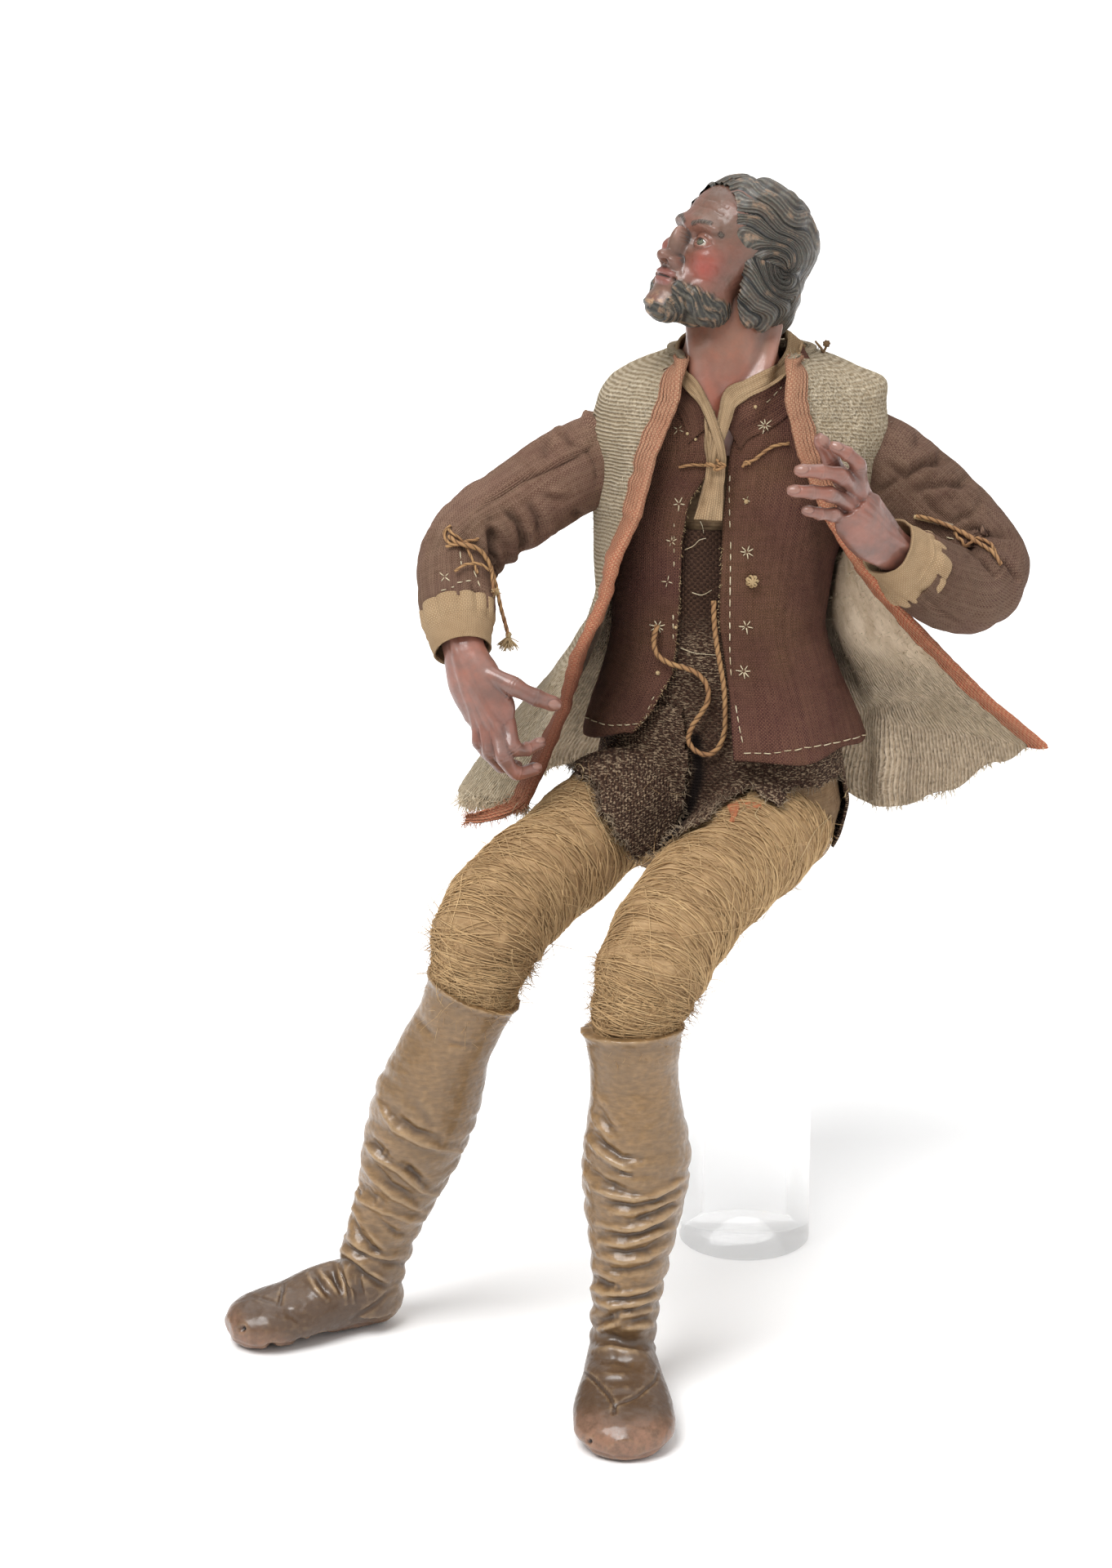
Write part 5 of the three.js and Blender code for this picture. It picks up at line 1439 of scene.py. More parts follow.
def makeHand(side):
    data = hands[side]
    back = unitRows(np.array([data["back"]]))[0]

    def palm(angle, along):
        return limbPoints(data["palm"], data["front"], angle, along, 0.1)

    parts = [ball(72, 60, palm)]
    nails, knuckles = [], []
    for radius, joints in data["fingers"]:
        joints = np.asarray(joints, dtype=float)
        end = joints[3] + unitRows(joints[3:4] - joints[2:3])[0] * radius * 0.9
        # the bone inside the palm, then the three of the finger
        inside = 0.55 * joints[0] + 0.45 * np.asarray(data["palm"][1][:3])
        sizes = np.array([1.0, 1.14, 1.06, 0.97, 0.9, 0.5]) * radius
        route = [(*place, size, size) for place, size in zip([inside, *joints, end], sizes)]

        def finger(angle, along, route=route):
            waist = -0.22 * (bump(along, 0.3, 0.06) + bump(along, 0.5, 0.06) + 0.7 * bump(along, 0.7, 0.06))
            joint = 0.26 * (bump(along, 0.4, 0.036) + bump(along, 0.6, 0.032))
            return limbPoints(route, (0.3, 0.2, 1), angle, along, waist + joint)

        parts.append(ball(40, 56, finger))
        ahead = unitRows(joints[3:4] - joints[2:3])[0]
        up = back - ahead * (back @ ahead)
        up /= np.linalg.norm(up)
        nails.append((joints[3] + up * radius * 0.8 + ahead * 0.3, ahead, up, radius))
        knuckles.append(joints[1])
    hand = joinAll(parts)
    remesh(hand, 0.36, 5)
    points, ways = places(hand), normals(hand)
    out = np.zeros(len(points))
    facing = ease(ways @ back, 0.1, 0.7)
    wrist = np.asarray(data["palm"][0][:3])
    for k, knuckle in enumerate(knuckles[1:]):
        middle = np.asarray(data["palm"][2][:3]) * 0.5 + knuckle * 0.5
        tendon = nearLine(points, [wrist, middle + back * 2, knuckle])
        lateral = nearLine(points - np.outer((points - wrist) @ back, back),
            [w - back * ((w - wrist) @ back) for w in (wrist, middle, knuckle)])
        out += 0.45 * bump(lateral, 0, 0.9) * facing * ease(tendon, 9, 4.5)
        out += 0.4 * bump(np.linalg.norm(points - knuckle - back * 1.8, axis=1), 0, 1.8) * facing
    nailMask = np.zeros(len(points))
    for centre, ahead, up, radius in nails:
        local = points - centre
        along, across = local @ ahead, local @ np.cross(ahead, up)
        reach = np.sqrt((along / (0.85 * radius)) ** 2 + (across / (0.62 * radius)) ** 2)
        near = (np.linalg.norm(local, axis=1) < radius * 1.3) & (ways @ up > 0.1)
        out -= 0.22 * bump(reach, 1.05, 0.16) * near
        nailMask = np.maximum(nailMask, ease(reach, 1.0, 0.85) * near)
    for radius, joints in data["fingers"]:
        for a, b, c in zip(joints, joints[1:], joints[2:]):
            bend = unitRows(np.subtract([c], [a]))[0]
            local = points - np.asarray(b)
            ring = bump(local @ bend, 0.45, 0.16) + bump(local @ bend, -0.45, 0.16)
            out -= 0.13 * ring * (np.linalg.norm(local, axis=1) < radius * 1.6)
    out += 0.08 * rumple(points, 2.5, 81)
    setPlaces(hand, points + ways * out[:, None])
    keep(hand, "nail", nailMask)
    addRelief(hand, 10, 3.2)
    finishPiece(hand, side + "Hand", handPaint, "painted_hand", side + "_hand")


for side in ("right", "left"):
    makeHand(side)
print("hands made")

# The trunk that the clothes hang on: height, centre x and y, half width, half depth, turn, share facing up

trunkRows = np.array([
    (115, -9, 1, 20, 14, -20, 0), (121, -9, 1, 27, 18, -20, 0), (130, -9, 1, 34, 23, -20, 0),
    (142, -9, 2, 37, 25, -20, 0), (158, -9, 2, 34, 24, -18, 0), (176, -9, 3, 30, 21, -14, 0),
    (196, -10, 4, 26.5, 20, -10, 0), (215, -9, 5, 28, 21, -6, 0), (235, -6, 6, 32, 20, -3, 0),
    (253, -4, 6, 34.5, 17, 0, 0.15), (262, -4, 6, 32.5, 14, 0, 0.6), (266.5, -4, 6, 25, 11, 0, 0.9),
    (268, -4, 6, 15, 8, 0, 1),
])
layers = {"breeches": 2.55, "jacket": 4.9, "vest": 8.25}  # outer face of each cloth over the tow
squareness = 2.3


def trunkRow(height):
    # centre, half sizes, turn and rise at a height, with the corners between the rows rounded
    fine = np.arange(115, 268.01, 0.5)
    row = []
    for k in range(1, 7):
        line = np.interp(fine, trunkRows[:, 0], trunkRows[:, k])
        soft = np.convolve(np.pad(line, 4, mode="edge"), np.ones(9) / 9, mode="valid")
        row.append(np.interp(height, fine, soft))
    return row


def trunkSkin(angle, height, out):
    x, y, wide, deep, turn, rise = trunkRow(height)
    flat = np.sqrt(np.clip(1 - rise**2, 0, 1))
    c, s = cos(angle), sin(angle)
    pull = (np.abs(c) ** squareness + np.abs(s) ** squareness) ** (-1 / squareness)
    across, deepwise = c * pull * (wide + out * flat), s * pull * (deep + out * flat)
    t = np.radians(turn)
    return np.stack(
        [x + across * cos(t) - deepwise * sin(t), y + across * sin(t) + deepwise * cos(t),
            height + out * rise],
        axis=-1,
    )


def frontAngle(x, height, out):
    # the angle at which the front of the trunk's skin has that x
    angles = np.radians(np.linspace(-179, -1, 120))
    result = np.empty(len(height))
    for k, (wanted, z) in enumerate(zip(x, height)):
        result[k] = np.interp(wanted, trunkSkin(angles, np.full(120, z), out)[:, 0], angles)
    return result


def border(obj):
    # points along the open edges of a cloth, with the way out of the cloth and its normal at each
    mesh = bmesh.new()
    mesh.from_mesh(obj.data)
    mesh.normal_update()
    points, ways, ups = [], [], []
    for vertex in mesh.verts:
        if vertex.is_boundary:
            middle = sum((f.calc_center_median() for f in vertex.link_faces),
                Vector()) / max(len(vertex.link_faces), 1)
            points.append(np.array(vertex.co) / mm)
            ways.append(np.array((vertex.co - middle).normalized()))
            ups.append(np.array(vertex.normal))
    mesh.free()
    return np.array(points), np.array(ways), np.array(ups)


def tube(columns, rows, place, measure):
    # a cloth tube: its long edges are sewn together
    cloth = clothGrid(columns, rows, lambda u, v: place(u * 2 * math.pi, v), measure)
    cleanMesh(cloth, 0.02)
    return cloth


# Jacket

jacket = {
    "hem": 162.5,
    "top": 267.6,
    "columns": 250,
    "rows": 130,
    "thickness": 1.5,
    "rightNeck": [
        (832, 444, 812, 452, 6), (836, 464, 816, 474, 8), (845, 480, 822, 494, 10), (857, 489, 832, 508, 12),
        (862, 503, 838, 522, 13), (865, 525, 842, 545, 14),
    ],
    "leftNeck": [
        (981, 422, 996, 446, 2), (976, 440, 992, 470, 5), (962, 458, 980, 494, 9), (941, 471, 962, 512, 12),
        (918, 483, 942, 526, 13), (897, 497, 918, 538, 14), (890, 520, 906, 552, 16),
    ],
    # inner edges of the two fronts, x by height
    "rightEdge": [(160, -38), (166, -34.5), (175, -28.5), (186, -24), (206, -22.3), (226, -21.6),
        (237, -19.6), (244, -14.8), (251, -12.4), (268, -14.8)],
    "leftEdge": [(160, -6), (181, -7.3), (202, -10.6), (232, -9.8), (250, -8), (268, -3.4)],
}
jacketCloth = wovenCloth(
    "jacketWool", (0.15, 0.068, 0.06), (0.42, 0.265, 0.18), (0.16, 0.06, 0.05), 0.00048, 0.0003, 0.75, 0.5,
        0.8, (0.17, 0.1, 0.055)
)
frontCloth = wovenCloth(
    "jacketFront", (0.092, 0.028, 0.032), (0.30, 0.145, 0.095), (0.10, 0.028, 0.032), 0.00048, 0.0003, 0.75,
        0.5, 0.8, (0.17, 0.095, 0.035)
)
jacketFolds = [
    (-0.45, 4, (1000, 846), (1030, 838), (1050, 832)), (0.35, 5, (1004, 852), (1046, 841)),
        (-0.3, 10, (930, 560), (960, 590), (985, 640)),
    (-0.4, 9, (812, 560), (800, 600), (790, 660)), (0.3, 8, (960, 700), (975, 800)),
        (-0.35, 8, (985, 690), (1000, 790)),
]


def jacketFlare(angle, height):
    return 4.2 * (1 - ease(height, 160, 192)) * (1 + 0.25 * sin(angle * 5))


def edgeAngles(edges, out):
    heights = np.arange(edges[0][0], edges[-1][0] + 2, 2.0)
    xs = np.interp(heights, [z for z, x in edges], [x for z, x in edges])
    return heights, frontAngle(xs, np.minimum(heights, 268), out)


def seenPoint(u, v, y):
    # the place in mm where the sight line through (u, v) crosses the upright plane at y
    tilt = math.radians(90 - view["tilt"])
    focus = view["lens"] / view["film"] * 1920
    across, rise = (u - 681) / focus, (960 - v) / focus
    way = np.stack([across, math.cos(tilt) + rise * math.sin(tilt), -math.sin(tilt) + rise * math.cos(tilt)],
        axis=-1)
    start = np.asarray(view["place"]) / mm
    return start + way * ((y - start[1]) / way[..., 1])[..., None]


def laidStrip(tree, rows, lift, columns, count, wide, crease):
    # a strip of cloth laid on what the camera sees, drawn by its two edges: (u, v, u, v, least way forward
    # in mm)
    rows = np.array(rows, dtype=float)

    def lay(u, v):
        a, b = spline(rows[:, [0, 1, 4]], v), spline(rows[:, [2, 3, 4]], v)
        at = a + (b - a) * u[:, None]
        spots = seenPoint(at[:, 0], at[:, 1], -at[:, 2])
        for k, (x, y, _) in enumerate(at):
            hit = sightHit(tree, x, y)
            if hit is not None and hit[0][1] < spots[k][1]:
                spots[k] = hit[0]
        forward = lift + crease * (sin(u * 9 + v * 4) + 0.6 * sin(u * 17 - v * 7) + 0.5 * sin(v * 23))
        return spots + np.outer(forward, (0, -0.95, 0.31))

    strip = clothGrid(columns, count, lay, wide)
    soften(strip, 3, 0.5)
    facesOut(strip, (-8, 60, 235))
    points, ways = places(strip), normals(strip)
    setPlaces(strip, points + ways * (0.2 * rumple(points, 4, 13))[:, None])
    return strip


def makeNeckline(tree):
    # the top of each front, up to the shirt's collar
    right = laidStrip(tree, jacket["rightNeck"], 0.3, 18, 50, (6, 26), 0.05)
    left = laidStrip(tree, jacket["leftNeck"], 0.3, 20, 60, (9, 34), 0.05)
    for part in (right, left):
        wall(part, 0.5, 0.0)
    return [right, left]


def makeJacketBody():
    out = layers["jacket"]
    right, left = edgeAngles(jacket["rightEdge"], out), edgeAngles(jacket["leftEdge"], out)

    def place(u, v):
        height = jacket["top"] + (jacket["hem"] - jacket["top"]) * v
        height = height + 5.5 * np.exp(-((u / 0.035) ** 2)) * ease(v, 0.8, 1) + 0.8 * sin(u * 40) * ease(v,
            0.9, 1)
        a = np.interp(height, *right)
        b = np.interp(height, *left) - 2 * math.pi
        angle = a + (b - a) * u
        body = trunkSkin(angle, height, out + jacketFlare(angle, height))
        return body

    cloth = clothGrid(jacket["columns"], jacket["rows"], place, (205, 106))
    facesOut(cloth, (-8, 5, 215))
    points, ways = places(cloth), normals(cloth)
    front = ease(-points[:, 1], 0, 14)
    folds = 0.5 * rumple(points, 26, 3) + 0.28 * rumple(points * [1, 1, 0.45], 9, 4) + 0.1 * rumple(points,
        3.5, 5)
    drag = 0.5 * sin(points[:, 0] * 0.34 + points[:, 2] * 0.1) * ease(points[:, 2], 215, 175) * front
    drawn = drawnRelief(points, ways, jacketFolds)
    setPlaces(cloth, points + ways * (folds + drag + drawn)[:, None])
    edges = border(cloth)
    wall(cloth, jacket["thickness"], -1.0)
    cloth = joinAll([cloth, *makeNeckline(sightTree(cloth, bust))])
    # painted shade on the front where the vest shades it, beside its bindings; the rest of the front is a
    # little darker too
    seen = seenAt(places(cloth))
    shade = 0.85 * bump(nearLine(seen, [(812, 500), (788, 600), (760, 680), (742, 760), (722, 830)]), 0, 24)
    shade = np.maximum(shade, 0.6 * bump(nearLine(seen, [(996, 640), (1004, 714), (1018, 790)]), 0, 12))
    keep(cloth, "wearAndShade", np.maximum(shade, 0.3) * (places(cloth)[:, 1] < 4))
    return cloth, edges


# Sleeves and cuffs

sleeves = {
    "right": {
        "front": (-0.3, -1, 0.6),
        "folds": [
            (-0.75, 2.2, (732, 536), (719, 551), (694, 565), (665, 578), (638, 589), (614, 605), (596, 616),
                (585, 627)),
            (0.4, 5, (728, 530), (714, 544), (690, 558), (661, 571), (634, 582), (610, 598), (592, 609)),
            (-0.6, 2.5, (719, 551), (729, 572), (732, 592)),
                (-0.6, 4, (694, 522), (690, 532), (701, 545), (718, 551)),
            (0.6, 6, (683, 526), (678, 540)), (1.2, 5, (737, 492), (720, 505), (718, 512), (732, 521)),
                (-0.7, 3, (724, 522), (736, 528)),
            (1.1, 5.5, (589, 638), (612, 646), (625, 665), (632, 690)),
                (-1.8, 6, (600, 636), (606, 659), (608, 682), (605, 698)),
            (0.9, 5.5, (625, 612), (643, 636), (652, 662)),
                (-1.2, 5, (617, 621), (637, 641), (643, 665), (637, 685)),
            (0.6, 5.5, (658, 612), (671, 632), (681, 652)), (-0.9, 5, (646, 611), (660, 636), (661, 660)),
            (0.45, 4, (664, 598), (692, 604)), (-0.5, 5, (662, 606), (692, 612)),
                (-0.8, 7, (706, 630), (716, 638)),
            (-0.6, 6, (664, 544), (668, 556)), (-0.5, 5, (573, 640), (569, 668)),
                (0.5, 5, (561, 640), (556, 672)), (-1.0, 2.8, (579, 716), (588, 740), (602, 760)),
            (-0.35, 7, (536, 640), (528, 690)), (0.3, 9, (548, 612), (530, 650)),
        ],
        "route": [
            (-22, 8, 245, 11.5, 11.5), (-39, 7.5, 245.5, 13.5, 14), (-53, 5, 240.8, 13.2, 13.6),
            (-67, -1, 233, 12.8, 13.2), (-80, -8, 226, 12.4, 12.6), (-86, -16, 219.5, 11.8, 12),
            (-86.8, -24.5, 213, 11, 11), (-86.2, -30.5, 207.5, 10.6, 10.6),
        ],
    },
    "left": {
        "front": (0.35, -0.8, 0.8),
        "folds": [
            (-0.8, 6, (1128, 533), (1123, 543)), (-0.7, 6, (1154, 555), (1148, 566)),
                (-0.9, 7, (1183, 587), (1175, 596)), (-0.7, 6, (1206, 608), (1198, 618)),
            (-1.0, 4.5, (1152, 566), (1133, 568), (1119, 576), (1110, 585), (1098, 576), (1087, 568)),
                (0.6, 6, (1152, 555), (1130, 557), (1110, 569)),
            (0.6, 6, (1155, 576), (1135, 579), (1120, 590)), (-0.7, 4, (1100, 587), (1090, 594), (1080, 601)),
            (-0.95, 4.5, (1180, 590), (1158, 593), (1140, 595), (1123, 600)),
                (0.6, 6, (1182, 600), (1158, 603), (1137, 607)),
            (-0.8, 4.5, (1129, 603), (1142, 624), (1158, 636)),
                (-0.85, 4.5, (1198, 628), (1179, 632), (1166, 643)), (0.5, 5, (1200, 638), (1182, 642)),
            (-0.9, 4.5, (1239, 658), (1212, 653), (1196, 651), (1182, 647)),
                (0.5, 5, (1236, 667), (1214, 662)),
            (-1.9, 3.4, (1183, 668), (1204, 682), (1221, 704)),
                (-2.0, 3.4, (1217, 682), (1233, 691), (1247, 708)),
                    (0.6, 4.5, (1204, 675), (1224, 690), (1238, 706)),
            (-0.5, 2.6, (1131, 730), (1154, 749), (1179, 766)), (0.3, 5, (1128, 738), (1150, 757)),
                (-0.3, 8, (1150, 690), (1190, 730)),
        ],
        "route": [
            (18, 8, 246, 11.5, 11.5), (35, 6.5, 244.5, 13.5, 14), (48, 2, 234.5, 14, 14),
            (59, -3, 224.5, 14.2, 14.4), (66, -10.5, 216, 14, 14.2), (61, -22, 212.5, 13, 13),
            (52, -31.5, 217, 12.2, 12.2), (43.6, -38, 223.6, 11.2, 11.2),
        ],
    },
}
cuffs = {
    "right": {"front": (-0.25, -1, -0.25), "route": [(-86.4, -30, 208.6, 9.8, 9.8),
        (-85.4, -36, 202.8, 9.1, 9.1), (-84.6, -40, 199, 7.9, 7.8)]},
    "left": {"front": (0.5, -1, 0.15), "route": [(45.5, -36.6, 222, 10.2, 10.2),
        (40.7, -40.8, 226.2, 9.6, 9.4), (36.2, -44.7, 230.9, 8.2, 7.8)]},
}


def makeSleeve(side):
    data = sleeves[side]

    def place(angle, v):
        elbow = bump(v, 0.6, 0.24)
        hidden = 0.5 + 0.5 * sin(angle)  # the folds in sight are drawn one by one
        sweepFolds = np.abs(sin(v * 30 + 1.3 * cos(angle) + 0.8 * sin(2 * angle + v * 9))) ** 0.8 - 0.6
        longFolds = 0.35 * sin(angle * 3 + v * 8) * bump(v, 0.28, 0.2)
        points = limbPoints(data["route"], data["front"], angle, v,
            elbow * 1.4 * sweepFolds * (0.12 + 0.88 * hidden) + longFolds)
        if side == "right":
            # one side of the laced slit hangs lower than the other
            low = bump(np.angle(np.exp(1j * (angle + 0.35))), 0, 0.62) * ease(v, 0.86, 1)
            points = points + np.outer(low, (0.6, -4.2, -5.2))
            short = (0.5 + 0.5 * cos(angle - 0.5)) ** 2 * ease(v, 0.8, 1)
            points = points + np.outer(short, (0, 1.8, 2.6))
        return points

    sleeve = tube(132, 156, place, (84, 95))
    facesOut(sleeve, np.mean([r[:3] for r in data["route"]], axis=0))
    points, ways = places(sleeve), normals(sleeve)
    drawn = 1.9 * drawnRelief(points, ways, data["folds"])
    lumps = 0.4 * rumple(points, 9, 6) + 0.2 * rumple(points, 3, 7)
    setPlaces(sleeve, points + ways * (lumps + drawn)[:, None])
    # painted shade in the grooves of the drawn folds; the whole left sleeve is a little darker too
    keep(sleeve, "wearAndShade", np.maximum(0.75 * ease(-drawn, 0.25, 2.0), 0.0 if side == "right" else 0.45))
    wall(sleeve, 1.2, -1.0)
    finishPiece(sleeve, side + "Sleeve", jacketCloth, "jacket_wool", "jacket")
    return sleeve


linen = wovenCloth("agedLinen", (0.36, 0.24, 0.13), (0.47, 0.335, 0.20), (0.27, 0.155, 0.075), 0.00042,
    0.00008, 0.4, 0.5)


def makeCuff(side):
    data = cuffs[side]

    def place(angle, v):
        gathers = 1.1 * np.abs(sin(angle * 6 + 0.8 * sin(angle * 2))) ** 0.6 * (1 - ease(v, 0.25, 0.45))
        hem = 0.35 * bump(v, 0.45, 0.03) + 0.25 * bump(v, 0.97, 0.03)
        crush = (0.25 if side == "right" else 0.8) * sin(angle * 3 + v * 5) * (1 - 0.5 * v)
        return limbPoints(data["route"], data["front"], angle, v, gathers + hem + crush + 0.3)

    cuff = tube(120, 40, place, (61, 13))
    facesOut(cuff, np.mean([r[:3] for r in data["route"]], axis=0))
    points, ways = places(cuff), normals(cuff)
    lumps = 0.3 * rumple(points, 5, 8) if side == "right" else 0.7 * rumple(points, 6,
        8) + 0.35 * rumple(points, 2.6, 9)
    setPlaces(cuff, points + ways * lumps[:, None])
    wall(cuff, 0.8, -1.0)
    name = side + "ShirtCuff"
    finishPiece(cuff, name, linen, "linen", side + "_shirt_cuff")


def makeJacket():
    body, edges = makeJacketBody()
    finishPiece(body, "jacketBody", frontCloth, "jacket_wool", "jacket")
    # frayed threads along the inner edge of the right front
    points, ways, _ = edges
    fray = (points[:, 0] < -10) & (points[:, 1] < -8) & (points[:, 2] < 252) & (points[:, 2] > 168)
    fray &= points[:, 0] > -40
    chosen = dice.choice(np.flatnonzero(fray), 230)
    spread = ways[chosen] * 0.5 + dice.normal(0, 0.6, (len(chosen), 3)) + (0, 0, -0.4)
    paths = fuzz(points[chosen] + dice.normal(0, 0.2, (len(chosen), 3)), spread,
        dice.uniform(0.3, 1.0, len(chosen)), 0.3, 4)
    fibres("jacketSelvage", strawThread, "linen", paths, dice.uniform(0.14, 0.26, len(paths)), 0.5)
    return [body, makeSleeve("right"), makeSleeve("left")]


def threadMaterial(name, base, dark):
    made, tree, shader, coordinates = newMaterial(name, 0.75, 0.25)
    grime = groupNode(tree, grimeGroup, Coordinates=coordinates.outputs["Object"], Scale=120.0)
    link(tree, mix(tree, grime.outputs["Stain"], base, dark), shader.inputs["Base Color"])
    return made


strawThread = threadMaterial("strawThread", (0.55, 0.42, 0.24), (0.33, 0.22, 0.11))
whiteThread = threadMaterial("whiteThread", (0.66, 0.58, 0.42), (0.42, 0.33, 0.2))

jacketParts = makeJacket()
for side in ("right", "left"):
    makeCuff(side)
print("jacket and cuffs made")


# Shirt: a narrow band round the neck, open in front, and folds that end in a hanging tab

shirt = {
    # the band's upper and lower edges behind the neck
    "upper": [
        (-20, -7.6, 275), (-22.3, -2.2, 277), (-22.6, 6, 279.5), (-17, 14.5, 281.5), (-7, 18, 282.5),
        (2.5, 14.5, 283), (8.6, 7, 283), (9, 3, 281),
    ],
    "lower": [
        (-22.6, -5.4, 272.6), (-23.2, -0.3, 275), (-24.2, 6.5, 275.5), (-19, 16, 276.5), (-7, 20, 277.5),
        (5, 17, 278.5), (12.2, 9, 280), (12.8, 3.5, 278.5),
    ],
    # strips in front, by their two edges as the camera sees them, and how far forward of the middle they lie
    "strips": [
        (0.5, 0.25, [(864, 503, 875, 503, 13), (863, 530, 875, 530, 18), (864, 552, 877, 552, 19.5),
            (866, 571, 879, 571, 20.5)]),
        (1.0, 0.2, [
            (964, 404, 984, 420, -2), (963, 428, 979, 433, 1), (952, 445, 970, 452, 4),
                (934, 455, 956, 466, 7),
            (911, 466, 937, 477, 10), (891, 475, 915, 489, 12), (884, 488, 901, 500, 14),
                (881, 504, 897, 512, 15.5),
            (877, 522, 891, 530, 18.5), (872, 540, 885, 546, 19.6), (869, 557, 881, 560, 20.4),
                (868, 570, 880, 572, 21),
        ]),
        (1.3, 0.2, [
            (838, 436, 828, 444, 6), (838, 452, 829, 462, 8), (849, 461, 838, 475, 10),
                (857, 471, 848, 486, 12),
            (864, 485, 855, 494, 13.5), (872, 502, 862, 508, 15.5), (880, 522, 869, 527, 18.5),
                (886, 541, 875, 545, 20),
            (889, 557, 879, 560, 20.8), (889, 571, 879, 573, 21.2),
        ]),
        (0.9, 0.4, [(866, 569, 888, 569, 21), (863, 588, 887, 588, 21.3), (857, 611, 886, 612, 21.6),
            (849, 636, 885, 638, 22)]),
    ],
}


def makeShirt():
    def place(u, v):
        upper, lower = spline(shirt["upper"], u), spline(shirt["lower"], u)
        line = upper + (lower - upper) * v[:, None]
        outward = unitRows(line - (-7, 2, 0) * np.ones(3)) * [1, 1, 0]
        ripple = 0.25 * sin(u * 60 + v * 3) + 0.35 * sin(u * 23)
        return line + outward * (0.9 * sin(math.pi * v) + ripple * v)[:, None]

    band = clothGrid(190, 18, place, (105, 7))
    facesOut(band, (-7, 2, 272))
    points, ways = places(band), normals(band)
    setPlaces(band, points + ways * (0.2 * rumple(points, 5, 12))[:, None])
    wall(band, 1.0, -1.0)
    parts = [band]
    tree = sightTree(bust, jacketParts[0])
    for lift, crease, rows in shirt["strips"]:
        strip = laidStrip(tree, rows, lift, 18, 12 * len(rows), (5, 5 * len(rows)), crease)
        parts.append(strip)
        wall(strip, 0.7, 0.0)
    whole = joinAll(parts)
    finishPiece(whole, "shirtCloth", linen, "linen", "shirt")


makeShirt()
print("shirt made")


# The body under the clothes

# a much darker copy of the tow's colours, as painted shade where the body shows inside the clothes
bodyTow = towMaterial("bodyTow", (0.035, 0.02, 0.014), (0.11, 0.065, 0.038))


def makeTowTrunk():
    def place(angle, along):
        return trunkSkin(angle, 121 + along * 147, 0.25)

    trunk = ball(96, 110, place, (170, 150))
    points = places(trunk)
    setPlaces(trunk, points + normals(trunk) * (0.4 * rumple(points, 8, 21) - 0.5)[:, None])
    finishPiece(trunk, "towTrunk", bodyTow, "flax_tow", "tow_body")


makeTowTrunk()


# Breeches: torn woollen cloth over the hips and the tops of the thighs

breeches = {
    "waist": 229,
    "out": 2.1,
    "voxel": 1.0,
    "wall": 0.9,
    # outlines seen from the camera: all of the front, and the flap that lies over the right thigh
    "front": [
        (690, 700), (1066, 700), (1062, 880), (1050, 915), (1042, 936), (1030, 948), (1006, 962), (985, 968),
        (966, 972), (957, 984), (948, 987), (936, 977), (916, 963), (905, 972), (891, 979), (872, 996),
        (855, 1004), (830, 1020), (801, 1036), (789, 1042), (770, 1040), (757, 1030), (741, 1005), (722, 962),
        (706, 948), (699, 937),
    ],
    "flap": [
        (700, 860), (842, 860), (846, 912), (848, 948), (838, 982), (818, 1013), (790, 1040), (776, 1051),
        (764, 1052), (756, 1035), (741, 1007), (722, 960), (699, 938), (702, 892),
    ],
}


def marledMaterial():
    made, tree, shader, coordinates = newMaterial("breechesWool", 0.92, 0.15)
    at = coordinates.outputs["Object"]
    grime = groupNode(tree, grimeGroup, Coordinates=at, Scale=50.0)
    weave = groupNode(tree, weaveGroup, UV=stretched(tree, at, (1, 1, 1), (90, 0, 0)), Pitch=0.0009,
        Unevenness=1.4)
    level = speckle(tree, stretched(tree, at, (760.0, 760.0, 3300.0), (0, 6, 0)), 1.0, 2.0, 0.5)
    slanted = speckle(tree, stretched(tree, at, (760.0, 760.0, 3300.0), (0, -38, 0)), 1.0, 2.0, 0.5)
    dashes = mix(tree, ramp(tree, speckle(tree, at, 190.0, 2.0), 0.42, 0.58), level, slanted)
    fleck = ramp(tree, dashes, 0.52, 0.61)
    marl = times(tree, fleck, attribute(tree, "marl"))
    base = mix(tree, weave.outputs["Weft"], (0.038, 0.019, 0.012), (0.08, 0.043, 0.027))
    stained = mix(tree, times(tree, grime.outputs["Stain"], 0.6), base, (0.035, 0.018, 0.014))
    flecked = mix(tree, times(tree, marl, 0.72), stained, (0.42, 0.31, 0.205))
    # the "deep" mask paints the flap's shadow near black
    link(tree, mix(tree, attribute(tree, "deep"), flecked, (0.01, 0.006, 0.005)), shader.inputs["Base Color"])
    addBump(tree, shader, weave.outputs["Height"], 0.0003)
    addBump(tree, shader, dashes, 0.0005)
    return made


breechesWool = marledMaterial()


